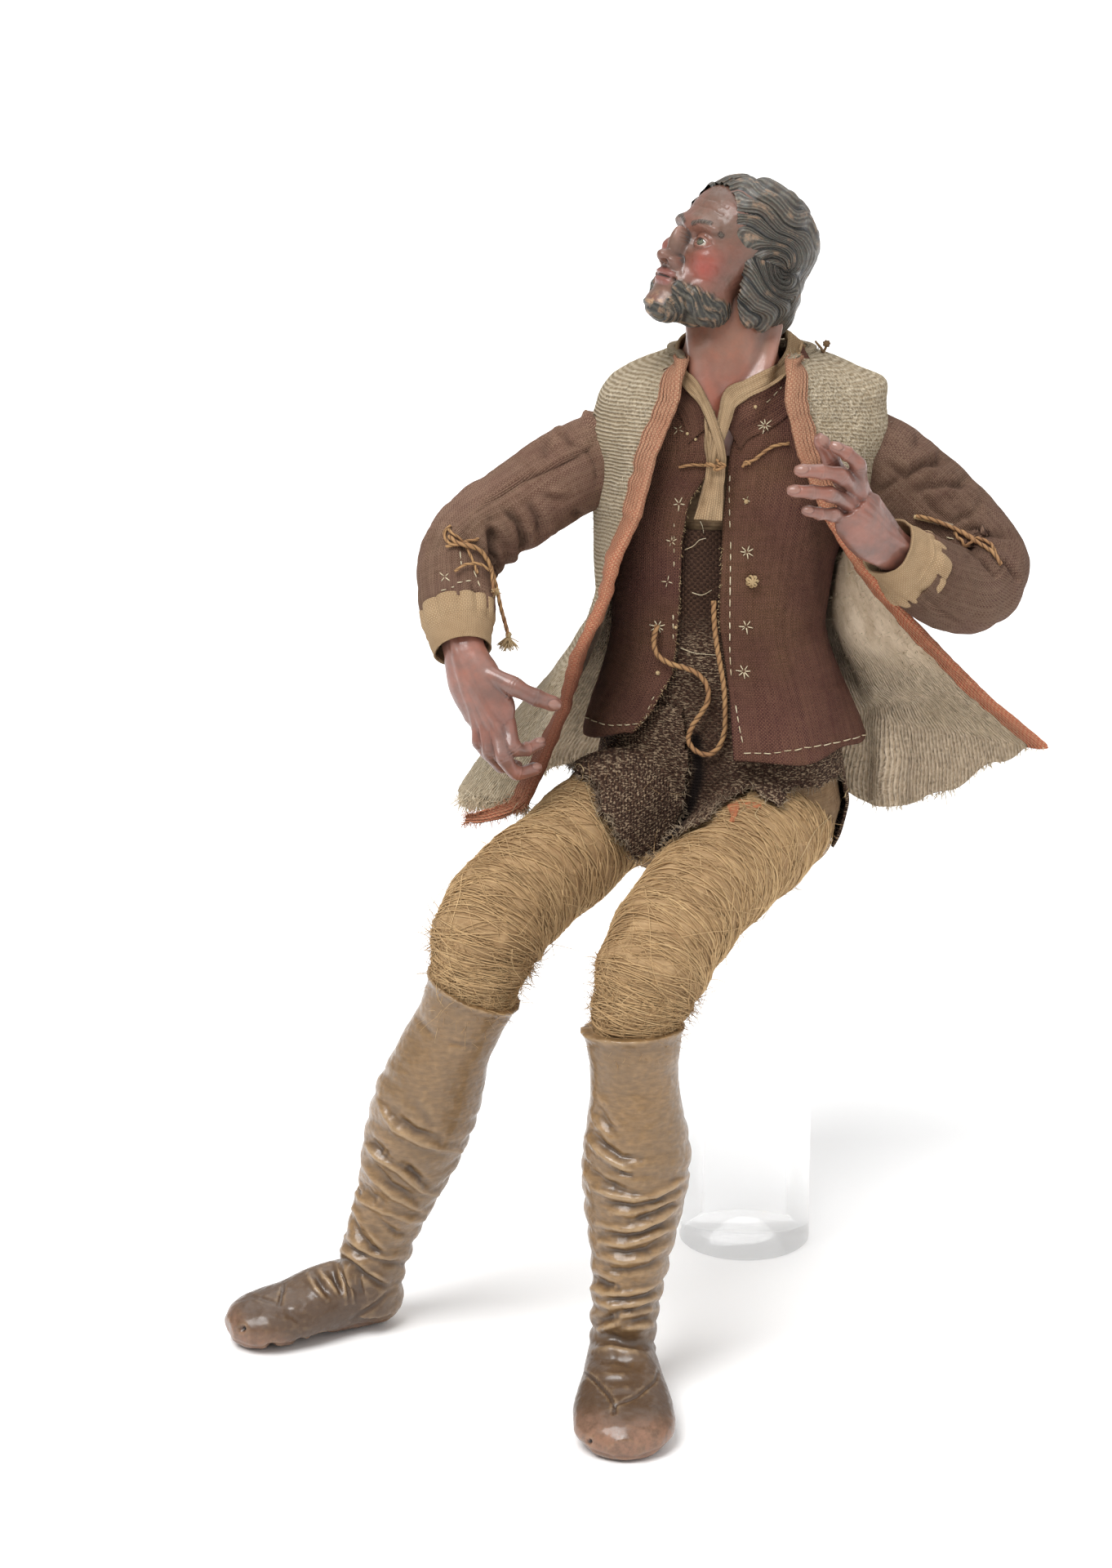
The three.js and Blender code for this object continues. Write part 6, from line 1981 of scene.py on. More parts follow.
def cutCloth(source, name, outline, lift, curl):
    # a sheet cut out of the closed skin "source" along an outline, lifted off it and turned up at its right
    # edge
    cloth = source.copy()
    cloth.data = source.data.copy()
    cloth.name = name
    bpy.context.collection.objects.link(cloth)
    points, ways = places(cloth), normals(cloth)
    shift = np.zeros((len(points), 2))
    for size, reach in ((9, 6), (3, 6), (1.5, 4)):
        shift += np.stack([rumple(points, size, 31), rumple(points, size, 32)], axis=-1) * reach
    seen = seenAt(points)
    front = points[:, 1] < -8
    kept = front & insideOutline(seen + shift, outline) & (points[:, 2] < breeches["waist"] + 1)
    facing = ways @ np.array([0, -math.cos(math.radians(18)), math.sin(math.radians(18))])
    kept &= facing > -0.45
    if not curl:
        kept |= ~front & (points[:, 2] > 127 + 2 * shift[:, 0] / 6) & (points[:, 2] < breeches["waist"])
        kept |= front & (points[:, 2] > 167) & (points[:, 2] < breeches["waist"])
    rise = lift + 0.35 * rumple(points, 14, 35) + 0.22 * rumple(points, 5, 36)
    if curl:
        edge = np.interp(seen[:, 1], [860, 948, 982, 1013, 1040], [842, 848, 838, 818, 790])
        rise = rise + curl * ease(seen[:, 0], edge - 26, edge) + 0.8 * curl * ease(seen[:, 1], 1010, 1050)
    setPlaces(cloth, points + ways * rise[:, None])
    # painted shadow of the flap on the cloth beside its edge
    gap = ease(nearLine(seen, [(852, 905), (856, 948), (846, 985), (824, 1016), (804, 1038)]), 12, 3)
    keep(cloth, "deep", 0 * gap if curl else gap * front)
    # fewer light flecks beside the flap, as more painted shadow
    dim = bump(nearLine(seen, [(868, 870), (872, 930), (866, 960)]), 0, 26)
    keep(cloth, "marl", ease(points[:, 2], 206, 190) * (1 if curl else 1 - 0.7 * dim))
    cutAway(cloth, ~kept)
    soften(cloth, 2, 0.4)
    edges = border(cloth)
    wall(cloth, breeches["wall"], -1.0)
    return cloth, edges


def makeBreeches():
    def hips(angle, along):
        return trunkSkin(angle, 118 + along * 113, breeches["out"])

    skins = [ball(96, 110, hips)]
    for side in ("right", "left"):
        data = thighs[side]

        def leg(angle, along, data=data):
            return limbPoints(data["route"], data["front"], angle, along * 0.8, breeches["out"] + 0.5)

        skins.append(ball(80, 90, leg))
    skin = joinAll(skins)
    remesh(skin, breeches["voxel"], 6)
    sheets = [cutCloth(skin, "hips", breeches["front"], 0.1, 0),
        cutCloth(skin, "flap", breeches["flap"], 1.5, 1.3)]
    bpy.data.objects.remove(skin)
    # the torn strip that hangs down outside the left thigh
    hang = [(12.5, -17.5, 161), (13, -19.5, 152), (12, -22, 143), (9, -24, 136), (4, -27, 131.5),
        (0.5, -30, 129)]

    def strip(u, v):
        line = spline(hang, v)
        half = 2.6 - 1.3 * v + 0.4 * sin(v * 17)
        offset = (u - 0.5) * 2
        return line + np.stack([offset * half, -0.7 * cos(offset * 2 + v * 3), offset * half * 0.25], axis=-1)

    hanging = clothGrid(14, 70, strip, (5, 40))
    facesOut(hanging, (8, 20, 145))
    loose = border(hanging)
    keep(hanging, "marl", np.ones(len(hanging.data.vertices)))
    wall(hanging, 0.9, 0.0)
    edges = [sheets[0][1], sheets[1][1], loose]
    whole = joinAll([sheets[0][0], sheets[1][0], hanging])
    finishPiece(whole, "breechesCloth", breechesWool, "breeches_wool", "breeches")
    # ravelled threads along the torn edges
    paths, widths = [], []
    for spots, ways, ups in edges:
        front = np.flatnonzero((spots[:, 1] < -8) & (spots[:, 2] < 160))
        chosen = dice.choice(front, min(len(front) * 2, 520))
        heads = ways[chosen] * 0.8 + dice.normal(0, 0.45, (len(chosen), 3)) + ups[chosen] * 0.2
        paths += fuzz(spots[chosen] + ups[chosen] * -0.3, heads, dice.uniform(0.8, 3.4, len(chosen)), 0.4, 4,
            0.08)
        widths += list(dice.uniform(0.16, 0.34, len(chosen)))
    fibres("breechesRavel", greyThread, "breeches_wool", paths, widths, 0.4)


greyThread = threadMaterial("greyThread", (0.42, 0.33, 0.23), (0.08, 0.05, 0.035))
makeBreeches()
print("breeches made")


# Vest: thick ribbed wool, fleecy inside, hung over the jacket and thrown open

vest = {
    "top": 270,
    "hem": 137,
    "columns": 220,
    "rows": 120,
    "thickness": 2.1,
    # height, then the right edge and the left edge in plan
    "edges": np.array([
        (136, -72, -33, 92, -8), (150, -67, -34, 90, -10), (162, -62, -34, 86.5, -12),
            (178, -56, -32.5, 69, -18),
        (194, -52.5, -30, 54, -22), (210, -44, -26.5, 39, -24), (221, -41, -25, 29, -24),
            (234, -34.5, -24, 20, -24),
        (251, -29.5, -21, 12, -21.6), (262, -23, -16.5, 8.2, -17.5), (270, -21.5, -11, 9.6, -11.2),
    ]),
    "hemFringe": 1100,
    "pile": 2800,
}


def angleRound(x, y, height):
    middleX, middleY, wide, deep, turn, _ = trunkRow(height)
    t = math.radians(-turn)
    across, deepwise = x - middleX, y - middleY
    local = (across * math.cos(t) - deepwise * math.sin(t), across * math.sin(t) + deepwise * math.cos(t))
    angle = math.degrees(math.atan2(local[1] / deep, local[0] / wide))
    return angle + 360 if angle < -90 else angle


def vestRow(height):
    # the cloth at one height, at 241 equal steps from the right front edge round the back to the left one
    rightX, rightY, leftX, leftY = (np.interp(height, vest["edges"][:, 0], vest["edges"][:, k])
        for k in (1, 2, 3, 4))
    first, last = angleRound(rightX, rightY, height), angleRound(leftX, leftY, height)
    lift = layers["vest"] * trunkRow(height)[5]
    spread = np.clip((205 - height) / 68, 0, 1) ** 1.2
    around = 0.1 + 0.05 * np.arange(17)
    wave = 4 + 2.5 * sin((around - 0.1) * 16)
    flare = spread * (25 * (1 - ease(around, 0.24, 0.58)) + 9 * ease(around, 0.74, 0.9) + wave)
    angle = np.radians(first + (last - first) * around)
    body = trunkSkin(angle, np.full(17, float(height)), layers["vest"] + flare + jacketFlare(angle, height))
    p = np.vstack([(rightX, rightY, height + lift), body, (leftX, leftY, height + lift)])
    ends = np.vstack([2 * p[0] - p[1], p, 2 * p[-1] - p[-2]])
    place = np.linspace(0, 18, 721)
    i = np.minimum(place.astype(int), 17)
    w = (place - i)[:, None]
    t1, t2 = 0.35 * (ends[i + 2] - ends[i]), 0.35 * (ends[i + 3] - ends[i + 1])
    b, c = ends[i + 1], ends[i + 2]
    line = b + w * t1 + w**2 * (3 * (c - b) - 2 * t1 - t2) + w**3 * (2 * (b - c) + t1 + t2)
    run = np.concatenate([[0], np.cumsum(np.linalg.norm(np.diff(line, axis=0), axis=1))])
    even = np.linspace(0, run[-1], 241)
    return np.stack([np.interp(even, run, line[:, k]) for k in range(3)], axis=-1)


vestTable = np.array([vestRow(height) for height in range(130, 272)])


def vestHeight(across, down):
    low = vest["hem"] + 3 + 10 * (1 - ease(across, 0, 0.2)) - 4 * bump(across, 0.6, 0.2) + 22 * ease(across,
        0.84, 1)
    low = low - 6.5 * bump(across, 0.775, 0.045) - 4 * bump(across, 0.33, 0.05) + 3 * bump(across, 0.9, 0.03)
    return vest["top"] + (low - vest["top"]) * down


def vestPlace(across, height):
    i = np.clip(np.asarray(height, dtype=float) - 130, 0, len(vestTable) - 1.001)
    k = i.astype(int)
    w = (i - k)[..., None]
    j = np.clip(across, 0, 1) * 240
    m = np.minimum(j.astype(int), 239)
    x = (j - m)[..., None]
    low = (1 - x) * vestTable[k, m] + x * vestTable[k, m + 1]
    high = (1 - x) * vestTable[k + 1, m] + x * vestTable[k + 1, m + 1]
    return (1 - w) * low + w * high


def vestMaterial():
    made, tree, shader, coordinates = newMaterial("vestWool", 0.95, 0.1)
    at, uv = coordinates.outputs["Object"], coordinates.outputs["UV"]
    grime = groupNode(tree, grimeGroup, Coordinates=at, Scale=42.0)
    inner, upper = attribute(tree, "inner"), attribute(tree, "upper")
    wobble = times(tree, calc(tree, "SUBTRACT", speckle(tree, uv, 150.0, 4.0), 0.5), 5.5)
    split = tree.nodes.new("ShaderNodeSeparateXYZ")
    link(tree, uv, split.inputs[0])
    waves = []
    for axis, turnsPerMetre in ((0, 700.0), (1, 760.0)):
        phase = plus(tree, times(tree, split.outputs[axis], turnsPerMetre * 2 * math.pi), wobble)
        waves.append(plus(tree, times(tree, calc(tree, "SINE", phase), 0.5), 0.5))
    ribs = mix(tree, upper, waves[0], waves[1])
    fluff = speckle(tree, stretched(tree, at, (130.0, 130.0, 70.0)), 1.0, 5.0, 0.7)
    hairs = speckle(tree, stretched(tree, uv, (1500.0, 420.0, 1.0)), 1.0, 3.0, 0.7)
    fleece = attribute(tree, "fleece")
    # loops of the knit break each rib into beads, and wear blurs it
    beads = speckle(tree, stretched(tree, uv, (900.0, 1000.0, 1.0)), 1.0, 2.0, 0.5)
    knit = mix(tree, 0.3, ribs, ramp(tree, beads, 0.3, 0.7))
    blurred = calc(tree, "MAXIMUM", attribute(tree, "fuzzy"), times(tree, inner, 0.4))
    wearAndShade = mix(tree, times(tree, blurred, 0.6), knit, ramp(tree, beads, 0.3, 0.7))
    height = mix(tree, fleece, wearAndShade, fluff)
    # the valleys between the ribs are painted darker, as shade, and the crests lighter, as light
    valley = mix(tree, hairs, (0.25, 0.185, 0.11), (0.34, 0.265, 0.17))
    crest = mix(tree, grime.outputs["Dust"], (0.56, 0.465, 0.335), (0.67, 0.58, 0.44))
    outer = mix(tree, ramp(tree, wearAndShade, 0.2, 0.7), valley, crest)
    ribbed = mix(tree, times(tree, inner, 0.35), outer, (0.80, 0.60, 0.43))
    soft = mix(tree, ramp(tree, fluff, 0.3, 0.62), (0.50, 0.37, 0.245), (0.82, 0.67, 0.50))
    cloth = mix(tree, fleece, ribbed, soft)
    stained = mix(tree, times(tree, grime.outputs["Stain"], 0.35), cloth, (0.38, 0.28, 0.165))
    # painted shade on the lining, from the "dark" mask
    shaded = mix(tree, attribute(tree, "dark"), stained, (0.045, 0.022, 0.016))
    link(tree, shaded, shader.inputs["Base Color"])
    addBump(tree, shader, height, 0.0011)
    addBump(tree, shader, hairs, 0.0005)
    return made


vestWool = vestMaterial()
woolFibre = threadMaterial("woolFibre", (0.66, 0.56, 0.41), (0.44, 0.34, 0.22))
vestFolds = [
    (2.8, 11, (1086, 890), (1088, 950), (1089, 1010)), (-1.2, 12, (1045, 872), (1090, 862), (1140, 862)),
        (0.9, 12, (1080, 838), (1120, 842)),
    (-1.6, 10, (1066, 905), (1066, 950), (1064, 1000)), (-1.0, 12, (1110, 900), (1114, 960), (1116, 1000)),
    (0.8, 10, (790, 470), (775, 520), (768, 590)), (-0.7, 9, (800, 560), (780, 610), (765, 650)),
        (-1.0, 10, (745, 640), (738, 690)),
    (0.7, 12, (1040, 470), (1050, 540)), (-0.9, 8, (992, 500), (994, 560)),
        (-0.7, 12, (1110, 930), (1150, 955)),
]


def makeVest():
    def place(u, v):
        across = 0.011 + 0.978 * u
        down = v**1.45
        return vestPlace(across, vestHeight(across, down) + 0.8 * sin(u * 90) * ease(v, 0.93, 1))

    cloth = clothGrid(vest["columns"], vest["rows"], place, (285, 150))
    flat = places(cloth)
    facesOut(cloth, (-8, 5, 215))
    count = len(flat)
    points, ways = places(cloth), normals(cloth)
    relief = 0.5 * rumple(points, 16, 41) + 0.3 * rumple(points, 5, 42)
    toUs = np.sign(np.sum((np.asarray(view["place"]) / mm - points) * ways, axis=1))
    relief += toUs * drawnRelief(points, ways * toUs[:, None], vestFolds)
    # the stiff corner over the left shoulder sticks out
    corner = bump(np.linalg.norm(seenAt(points) - (1080, 466), axis=1), 0, 20)
    setPlaces(cloth, points + ways * relief[:, None] + np.outer(corner, (3.4, 0, 1.8)))
    wall(cloth, vest["thickness"], 0.0)
    points, ways = places(cloth), normals(cloth)
    inner = (np.arange(len(points)) >= count).astype(float)
    keep(cloth, "inner", inner)
    leftFlap = ease(points[:, 0], 6, 14)
    keep(cloth, "fleece", inner * leftFlap * ease(points[:, 2], 176, 196) * ease(points[:, 2], 262, 240))
    keep(cloth, "upper", (1 - inner) * ease(points[:, 2], 176, 190))
    # painted shade: the lining of the right front is darkened, and so is the lining beside the jacket's edge
    lining = inner * ease(points[:, 0], 4, -6) * ease(points[:, 1], -2, -14) * 0.85
    beside = inner * (points[:, 0] > 8) * bump(nearLine(seenAt(points),
        [(1000, 640), (1008, 714), (1024, 800), (1056, 850)]), 0, 15)
    keep(cloth, "dark", np.maximum(lining, 0.4 * beside))
    keep(cloth, "fuzzy", np.maximum((1 - inner) * ease(points[:, 0], -4, 8),
        0.45 * (rumple(points, 22, 43) > 0)))
    finishPiece(cloth, "vestCloth", vestWool, "vest_wool", "vest")
    # the loose pile of the fleece, and the fringe of the hem
    lining = np.flatnonzero((inner > 0.5) & (points[:, 0] > 8) & (points[:, 1] < 10))
    outside = np.flatnonzero(inner < 0.5)
    chosen = np.concatenate([dice.choice(lining, vest["pile"] // 2), dice.choice(outside, vest["pile"] // 2)])
    heads = ways[chosen] * 0.5 + dice.normal(0, 0.6, (len(chosen), 3)) + (0, 0, -0.3)
    paths = fuzz(points[chosen], heads, dice.uniform(0.7, 2.2, len(chosen)), 0.5, 3)
    widths = list(dice.uniform(0.12, 0.24, len(chosen)))
    across = np.concatenate([dice.uniform(0.0, 1.0, vest["hemFringe"]),
        dice.uniform(0.0, 0.14, vest["hemFringe"] // 2)])
    ends = vestPlace(across, vestHeight(across, 1.0) + 0.8) + dice.normal(0, 0.55, (len(across), 3))
    heads = (0, 0, -1) + dice.normal(0, 0.35, (len(across), 3))
    lengths = dice.uniform(1.0, 2.6, len(across)) + 2.4 * (across < 0.14) + 3.5 * (dice.uniform(0, 1,
        len(across)) > 0.985)
    paths += fuzz(ends, heads, lengths, 0.3, 4, 0.05)
    widths += list(dice.uniform(0.2, 0.45, len(across)))
    fibres("vestFibres", woolFibre, "vest_wool", paths, widths, 0.45)


makeVest()
print("vest made")


# Bindings of the vest: woven tape folded round its front edges

binding = {"width": 6.3, "thick": 1.75, "rows": 300, "columns": 30, "tape": 0.5}


def bindingMaterial():
    made, tree, shader, coordinates = newMaterial("bindingTape", 0.88, 0.2)
    at = coordinates.outputs["Object"]
    weave = groupNode(tree, weaveGroup, UV=coordinates.outputs["UV"], Pitch=0.00062, Unevenness=0.8)
    grime = groupNode(tree, grimeGroup, Coordinates=at, Scale=85.0)
    low = attribute(tree, "low")
    faded = mix(tree, weave.outputs["Weft"], (0.37, 0.165, 0.10), (0.49, 0.29, 0.18))
    strong = mix(tree, weave.outputs["Weft"], (0.54, 0.12, 0.06), (0.64, 0.28, 0.15))
    dyed = mix(tree, low, faded, strong)
    aged = mix(tree, times(tree, grime.outputs["Stain"], 0.55), dyed, (0.34, 0.14, 0.08))
    wearAndShade = mix(tree, times(tree, grime.outputs["Dust"], 0.3), aged, (0.60, 0.38, 0.23))
    brown = mix(tree, attribute(tree, "brown"), wearAndShade, (0.115, 0.04, 0.022))
    split = tree.nodes.new("ShaderNodeSeparateXYZ")
    link(tree, coordinates.outputs["UV"], split.inputs[0])
    rows = calc(tree, "ABSOLUTE", calc(tree, "SINE", times(tree, split.outputs[0], math.pi / 0.0013)))
    shade = times(tree, ramp(tree, weave.outputs["Height"], -0.5, 0.6), ramp(tree, rows, -0.6, 0.4))
    link(tree, mix(tree, shade, (0.19, 0.06, 0.035), brown), shader.inputs["Base Color"])
    addBump(tree, shader, rows, 0.0003)
    addBump(tree, shader, weave.outputs["Height"], 0.0002)
    return made


bindingTape = bindingMaterial()


def makeBinding(side):
    across = 0.0 if side == "right" else 1.0
    hem = 149.5 if side == "right" else 161.0
    inwardSign = 1 if side == "right" else -1

    def place(u, v):
        height = 270 - (270 - hem) * v**1.15
        edge = vestPlace(np.full(len(v), across), height)
        near = vestPlace(np.full(len(v), across + inwardSign * 0.03), height)
        inward = unitRows(near - edge)
        along = inward * inwardSign
        outward = unitRows(np.stack([-along[:, 1], along[:, 0], 0 * v], axis=-1))
        a = (u - 0.5) * 2
        pucker = 0.28 * sin(v * 75 + 2 * sin(v * 23)) + 0.2 * sin(v * 171)
        wide = binding["width"] * (1 + 0.05 * sin(v * 47) + 0.04 * sin(v * 113 + 2))
        s = -0.4 + wide * np.abs(a) ** 1.15 * (1 - 0.12 * (a < 0))
        n = binding["thick"] * np.tanh(a * 4.5) * (1 + 0.2 * pucker) + pucker * 0.35 * np.sign(a) * np.abs(a)
        return edge + inward * s[:, None] + outward * n[:, None]

    tape = clothGrid(binding["columns"], binding["rows"], place, (13.5, 150))
    points = places(tape)
    setPlaces(tape, points + normals(tape) * (0.18 * rumple(points, 2.5, 51))[:, None])
    edges = border(tape)
    wall(tape, binding["tape"], 0.0)
    parts = [tape]
    if side == "right":
        loose = [(-64, -33.5, 158), (-66, -34, 153.6), (-70, -33.5, 150), (-76, -32.5, 147.5),
            (-81, -31.2, 145.9), (-84, -30.5, 145.4)]

        def end(u, v):
            line = spline(loose, v)
            half = np.interp(v, [0, 0.3, 0.7, 0.9, 1], [3.2, 2.9, 2.1, 1.1, 1.5])
            offset = (u - 0.5) * 2
            curl = cos(offset * 2.2 + v * 2.5)
            return line + np.stack([offset * half * 0.45, -0.9 * curl, offset * half * 0.85], axis=-1)

        tail = clothGrid(20, 70, end, (6, 28))
        facesOut(tail, (-70, 0, 150))
        points = places(tail)
        setPlaces(tail, points + normals(tail) * (0.35 * rumple(points, 3, 52))[:, None])
        tailEdges = border(tail)
        wall(tail, binding["tape"], 0.0)
        parts.append(tail)
        edges = tuple(np.vstack([a, b]) for a, b in zip(edges, tailEdges))
    whole = joinAll(parts)
    points = places(whole)
    keep(whole, "low", ease(points[:, 2], 262, 215) if side == "left"
        else 0.75 * ease(points[:, 2], 262, 200))
    dull = ease(points[:, 2], 206, 184) * ease(points[:, 2], 149, 160)
    keep(whole, "brown", dull * (0.85 if side == "right" else 0.0))
    node = "vest_binding_" + side
    finishPiece(whole, side + "Binding", bindingTape, "binding_linen", node)
    spots, ways, ups = edges
    chosen = dice.choice(len(spots), 260)
    if side == "right":
        tailSpots = np.flatnonzero(spots[:, 2] < 154)
        chosen = np.concatenate([chosen, dice.choice(tailSpots, 260)])
    heads = ways[chosen] * 0.7 + dice.normal(0, 0.5, (len(chosen), 3)) + (0, 0, -0.2)
    low = spots[chosen][:, 2] < 154
    paths = fuzz(spots[chosen], heads, dice.uniform(0.4, 1.2, len(chosen)) + 1.4 * low, 0.4, 4, 0.05)
    fibres(side + "BindingFrays", bindingFray, "binding_linen", paths, dice.uniform(0.12, 0.22, len(paths)),
        0.5)


bindingFray = threadMaterial("bindingFray", (0.58, 0.30, 0.17), (0.36, 0.13, 0.07))
for side in ("right", "left"):
    makeBinding(side)
print("bindings made")

# Stitches, ties and loose threads, drawn where the camera sees them and laid on the cloth there

sewing = {"thread": 0.42, "rise": 0.3, "tie": 1.15}
runs = [
    # dash and gap in pixels, then the line of the stitches
    (9, 3, (911, 923), (952, 922), (988, 916), (1032, 908), (1060, 900)),
    (9, 4, (901, 864), (905, 888), (911, 918)), (9, 5, (895, 664), (894, 740), (894, 800), (896, 836)),
    (8, 5, (894, 582), (893, 604), (894, 645)), (8, 3, (1023, 800), (1040, 838), (1056, 874), (1064, 894)),
    (7, 3, (708, 872), (726, 883), (750, 889), (770, 889), (788, 884)),
        (6, 7, (790, 880), (797, 862), (803, 850)),
    (7, 4, (938, 492), (948, 484), (957, 474)), (6, 6, (825, 752), (825, 782)),
        (5, 12, (826, 640), (826, 700)),
]
rightSleeveRuns = [
    (6, 5, (560, 715), (578, 711)), (9, 3, (563, 676), (565, 692)), (9, 4, (580, 699), (587, 718)),
        (6, 6, (541, 724), (556, 719)),
]
leftSleeveRuns = [
    (9, 4, (1142, 657), (1143, 666)), (9, 4, (1160, 658), (1169, 660)), (9, 4, (1135, 705), (1134, 714)),
    (9, 4, (1114, 734), (1127, 729)), (7, 4, (1109, 725), (1116, 724)), (8, 4, (1100, 705), (1106, 697)),
]
stars = [
    # middle, reach in pixels, rays, turn
    (937, 521, 10, 8, 0.1), (915, 676, 9, 7, 0.5), (914, 767, 9, 6, 0.2), (911, 822, 10, 7, 0.7),
        (831, 526, 8, 4, 2.2),
    (832, 617, 9, 5, 0.3), (823, 663, 7, 5, 0.9), (818, 712, 7, 4, 0.2), (806, 767, 10, 8, 0.4),
        (914, 612, 6, 4, 0.4),
]
looseThreads = [
    [(858, 638), (861, 645), (862, 653)], [(839, 673), (850, 668), (857, 661), (865, 659)],
    [(834, 793), (850, 799), (866, 801), (879, 802)], [(862, 598), (863, 606)],
        [(848, 725), (860, 728), (872, 722)],
]
hipThreads = [
    [(718, 962), (724, 985), (737, 1013), (744, 1028), (754, 1034), (765, 1035)],
        [(690, 940), (704, 958), (716, 950), (710, 938), (698, 946)],
    [(763, 1042), (770, 1052), (780, 1048), (784, 1056)], [(742, 1002), (752, 1012), (748, 1022)],
        [(706, 965), (699, 972), (690, 968)],
    [(1039, 960), (1031, 985), (1012, 1002), (996, 1018), (984, 1040), (975, 1056)],
        [(1043, 930), (1050, 960), (1046, 990), (1034, 1008)],
    [(1020, 990), (1006, 1012), (1001, 1030)], [(930, 990), (924, 1000), (930, 1008)],
        [(905, 975), (912, 990), (903, 1000)],
]


def seenPath(tree, line, step, lift):
    # places on the cloth every few pixels along a line drawn in the picture
    line = np.asarray(line, dtype=float)
    run = np.concatenate([[0], np.cumsum(np.linalg.norm(np.diff(line, axis=0), axis=1))])
    spots = []
    for s in np.linspace(0, run[-1], max(int(run[-1] / step) + 1, 3)):
        hit = sightHit(tree, np.interp(s, run, line[:, 0]), np.interp(s, run, line[:, 1]), lift)
        if hit is not None:
            spots.append(hit[0])
    return spots


def stitch(tree, a, b):
    # one stitch: its ends go into the cloth
    path = seenPath(tree, [a, b], 2.2, sewing["rise"])
    if len(path) >= 3:
        path[0], path[-1] = path[0] + (0, 0.5, -0.1), path[-1] + (0, 0.5, -0.1)
    return path


def running(tree, lines):
    paths = []
    for dash, gap, *line in lines:
        line = np.asarray(line, dtype=float)
        run = np.concatenate([[0], np.cumsum(np.linalg.norm(np.diff(line, axis=0), axis=1))])
        start = 0.0
        while start < run[-1] - dash * 0.4:
            ends = [(np.interp(s, run, line[:, 0]), np.interp(s, run, line[:, 1]))
                for s in (start, min(start + dash, run[-1]))]
            skew = dice.uniform(-1, 1, 2)
            paths.append(stitch(tree, (ends[0][0], ends[0][1] + skew[0]), (ends[1][0], ends[1][1] + skew[1])))
            start += dash + gap * dice.uniform(0.8, 1.3)
    return [path for path in paths if len(path) > 2]


def rays(tree, marks):
    paths = []
    for x, y, reach, count, turn in marks:
        for k in range(count):
            a = turn + 2 * math.pi * k / count + dice.uniform(-0.2, 0.2)
            far = reach * dice.uniform(0.75, 1.1)
            way = np.array([math.cos(a), math.sin(a)])
            paths.append(stitch(tree, (x, y) + way * 1.5, (x, y) + way * far))
    return [path for path in paths if len(path) > 2]


def knot(middle, size, thread):
    # a small hard knot: one thread wound round itself
    turn = np.linspace(0, 40, 90)
    wound = np.stack([cos(turn) * cos(turn * 0.43), 0.6 * sin(turn), cos(turn) * sin(turn * 0.43)], axis=-1)
    return np.asarray(middle) + wound * size, thread


def makeStitches():
    body, right, left = (sightTree(part) for part in jacketParts)
    paths = running(body, runs) + running(right, rightSleeveRuns) + running(left, leftSleeveRuns)
    paths += rays(body, stars) + rays(right, [(545, 707, 8, 4, 0.8)])
    fibres("jacketStitches", whiteThread, "linen", paths,
        dice.uniform(0.75, 1.0, len(paths)) * sewing["thread"], 0.85, 5)
    # small knots of thread on the left front, and loose ends in the opening
    paths, widths = [], []
    for u, v, size in ((921, 711, 1.7), (914, 614, 0.5), (806, 824, 0.5), (842, 531, 0.3), (852, 538, 0.3),
            (925, 498, 0.35), (828, 768, 0.35)):
        hit = sightHit(body, u, v, size * 0.6)
        if hit is not None:
            path, width = knot(hit[0], size, 0.35 + 0.25 * size)
            paths.append(path)
            widths.append(width)
    fibres("jacketKnots", strawThread, "linen", paths, widths, 0.8, 5)
    opening = sightTree(*jacketParts, bpy.data.objects["towTrunk"], bpy.data.objects["breechesCloth"])
    paths = [seenPath(opening, spline(line3(line), np.linspace(0, 1, 14))[:, :2], 3, 0.5)
        for line in looseThreads]
    fibres("looseThreads", whiteThread, "linen", [path for path in paths if len(path) > 2],
        [0.3] * len(paths), 0.6, 4)


def line3(line):
    return [(u, v, 0) for u, v in line]


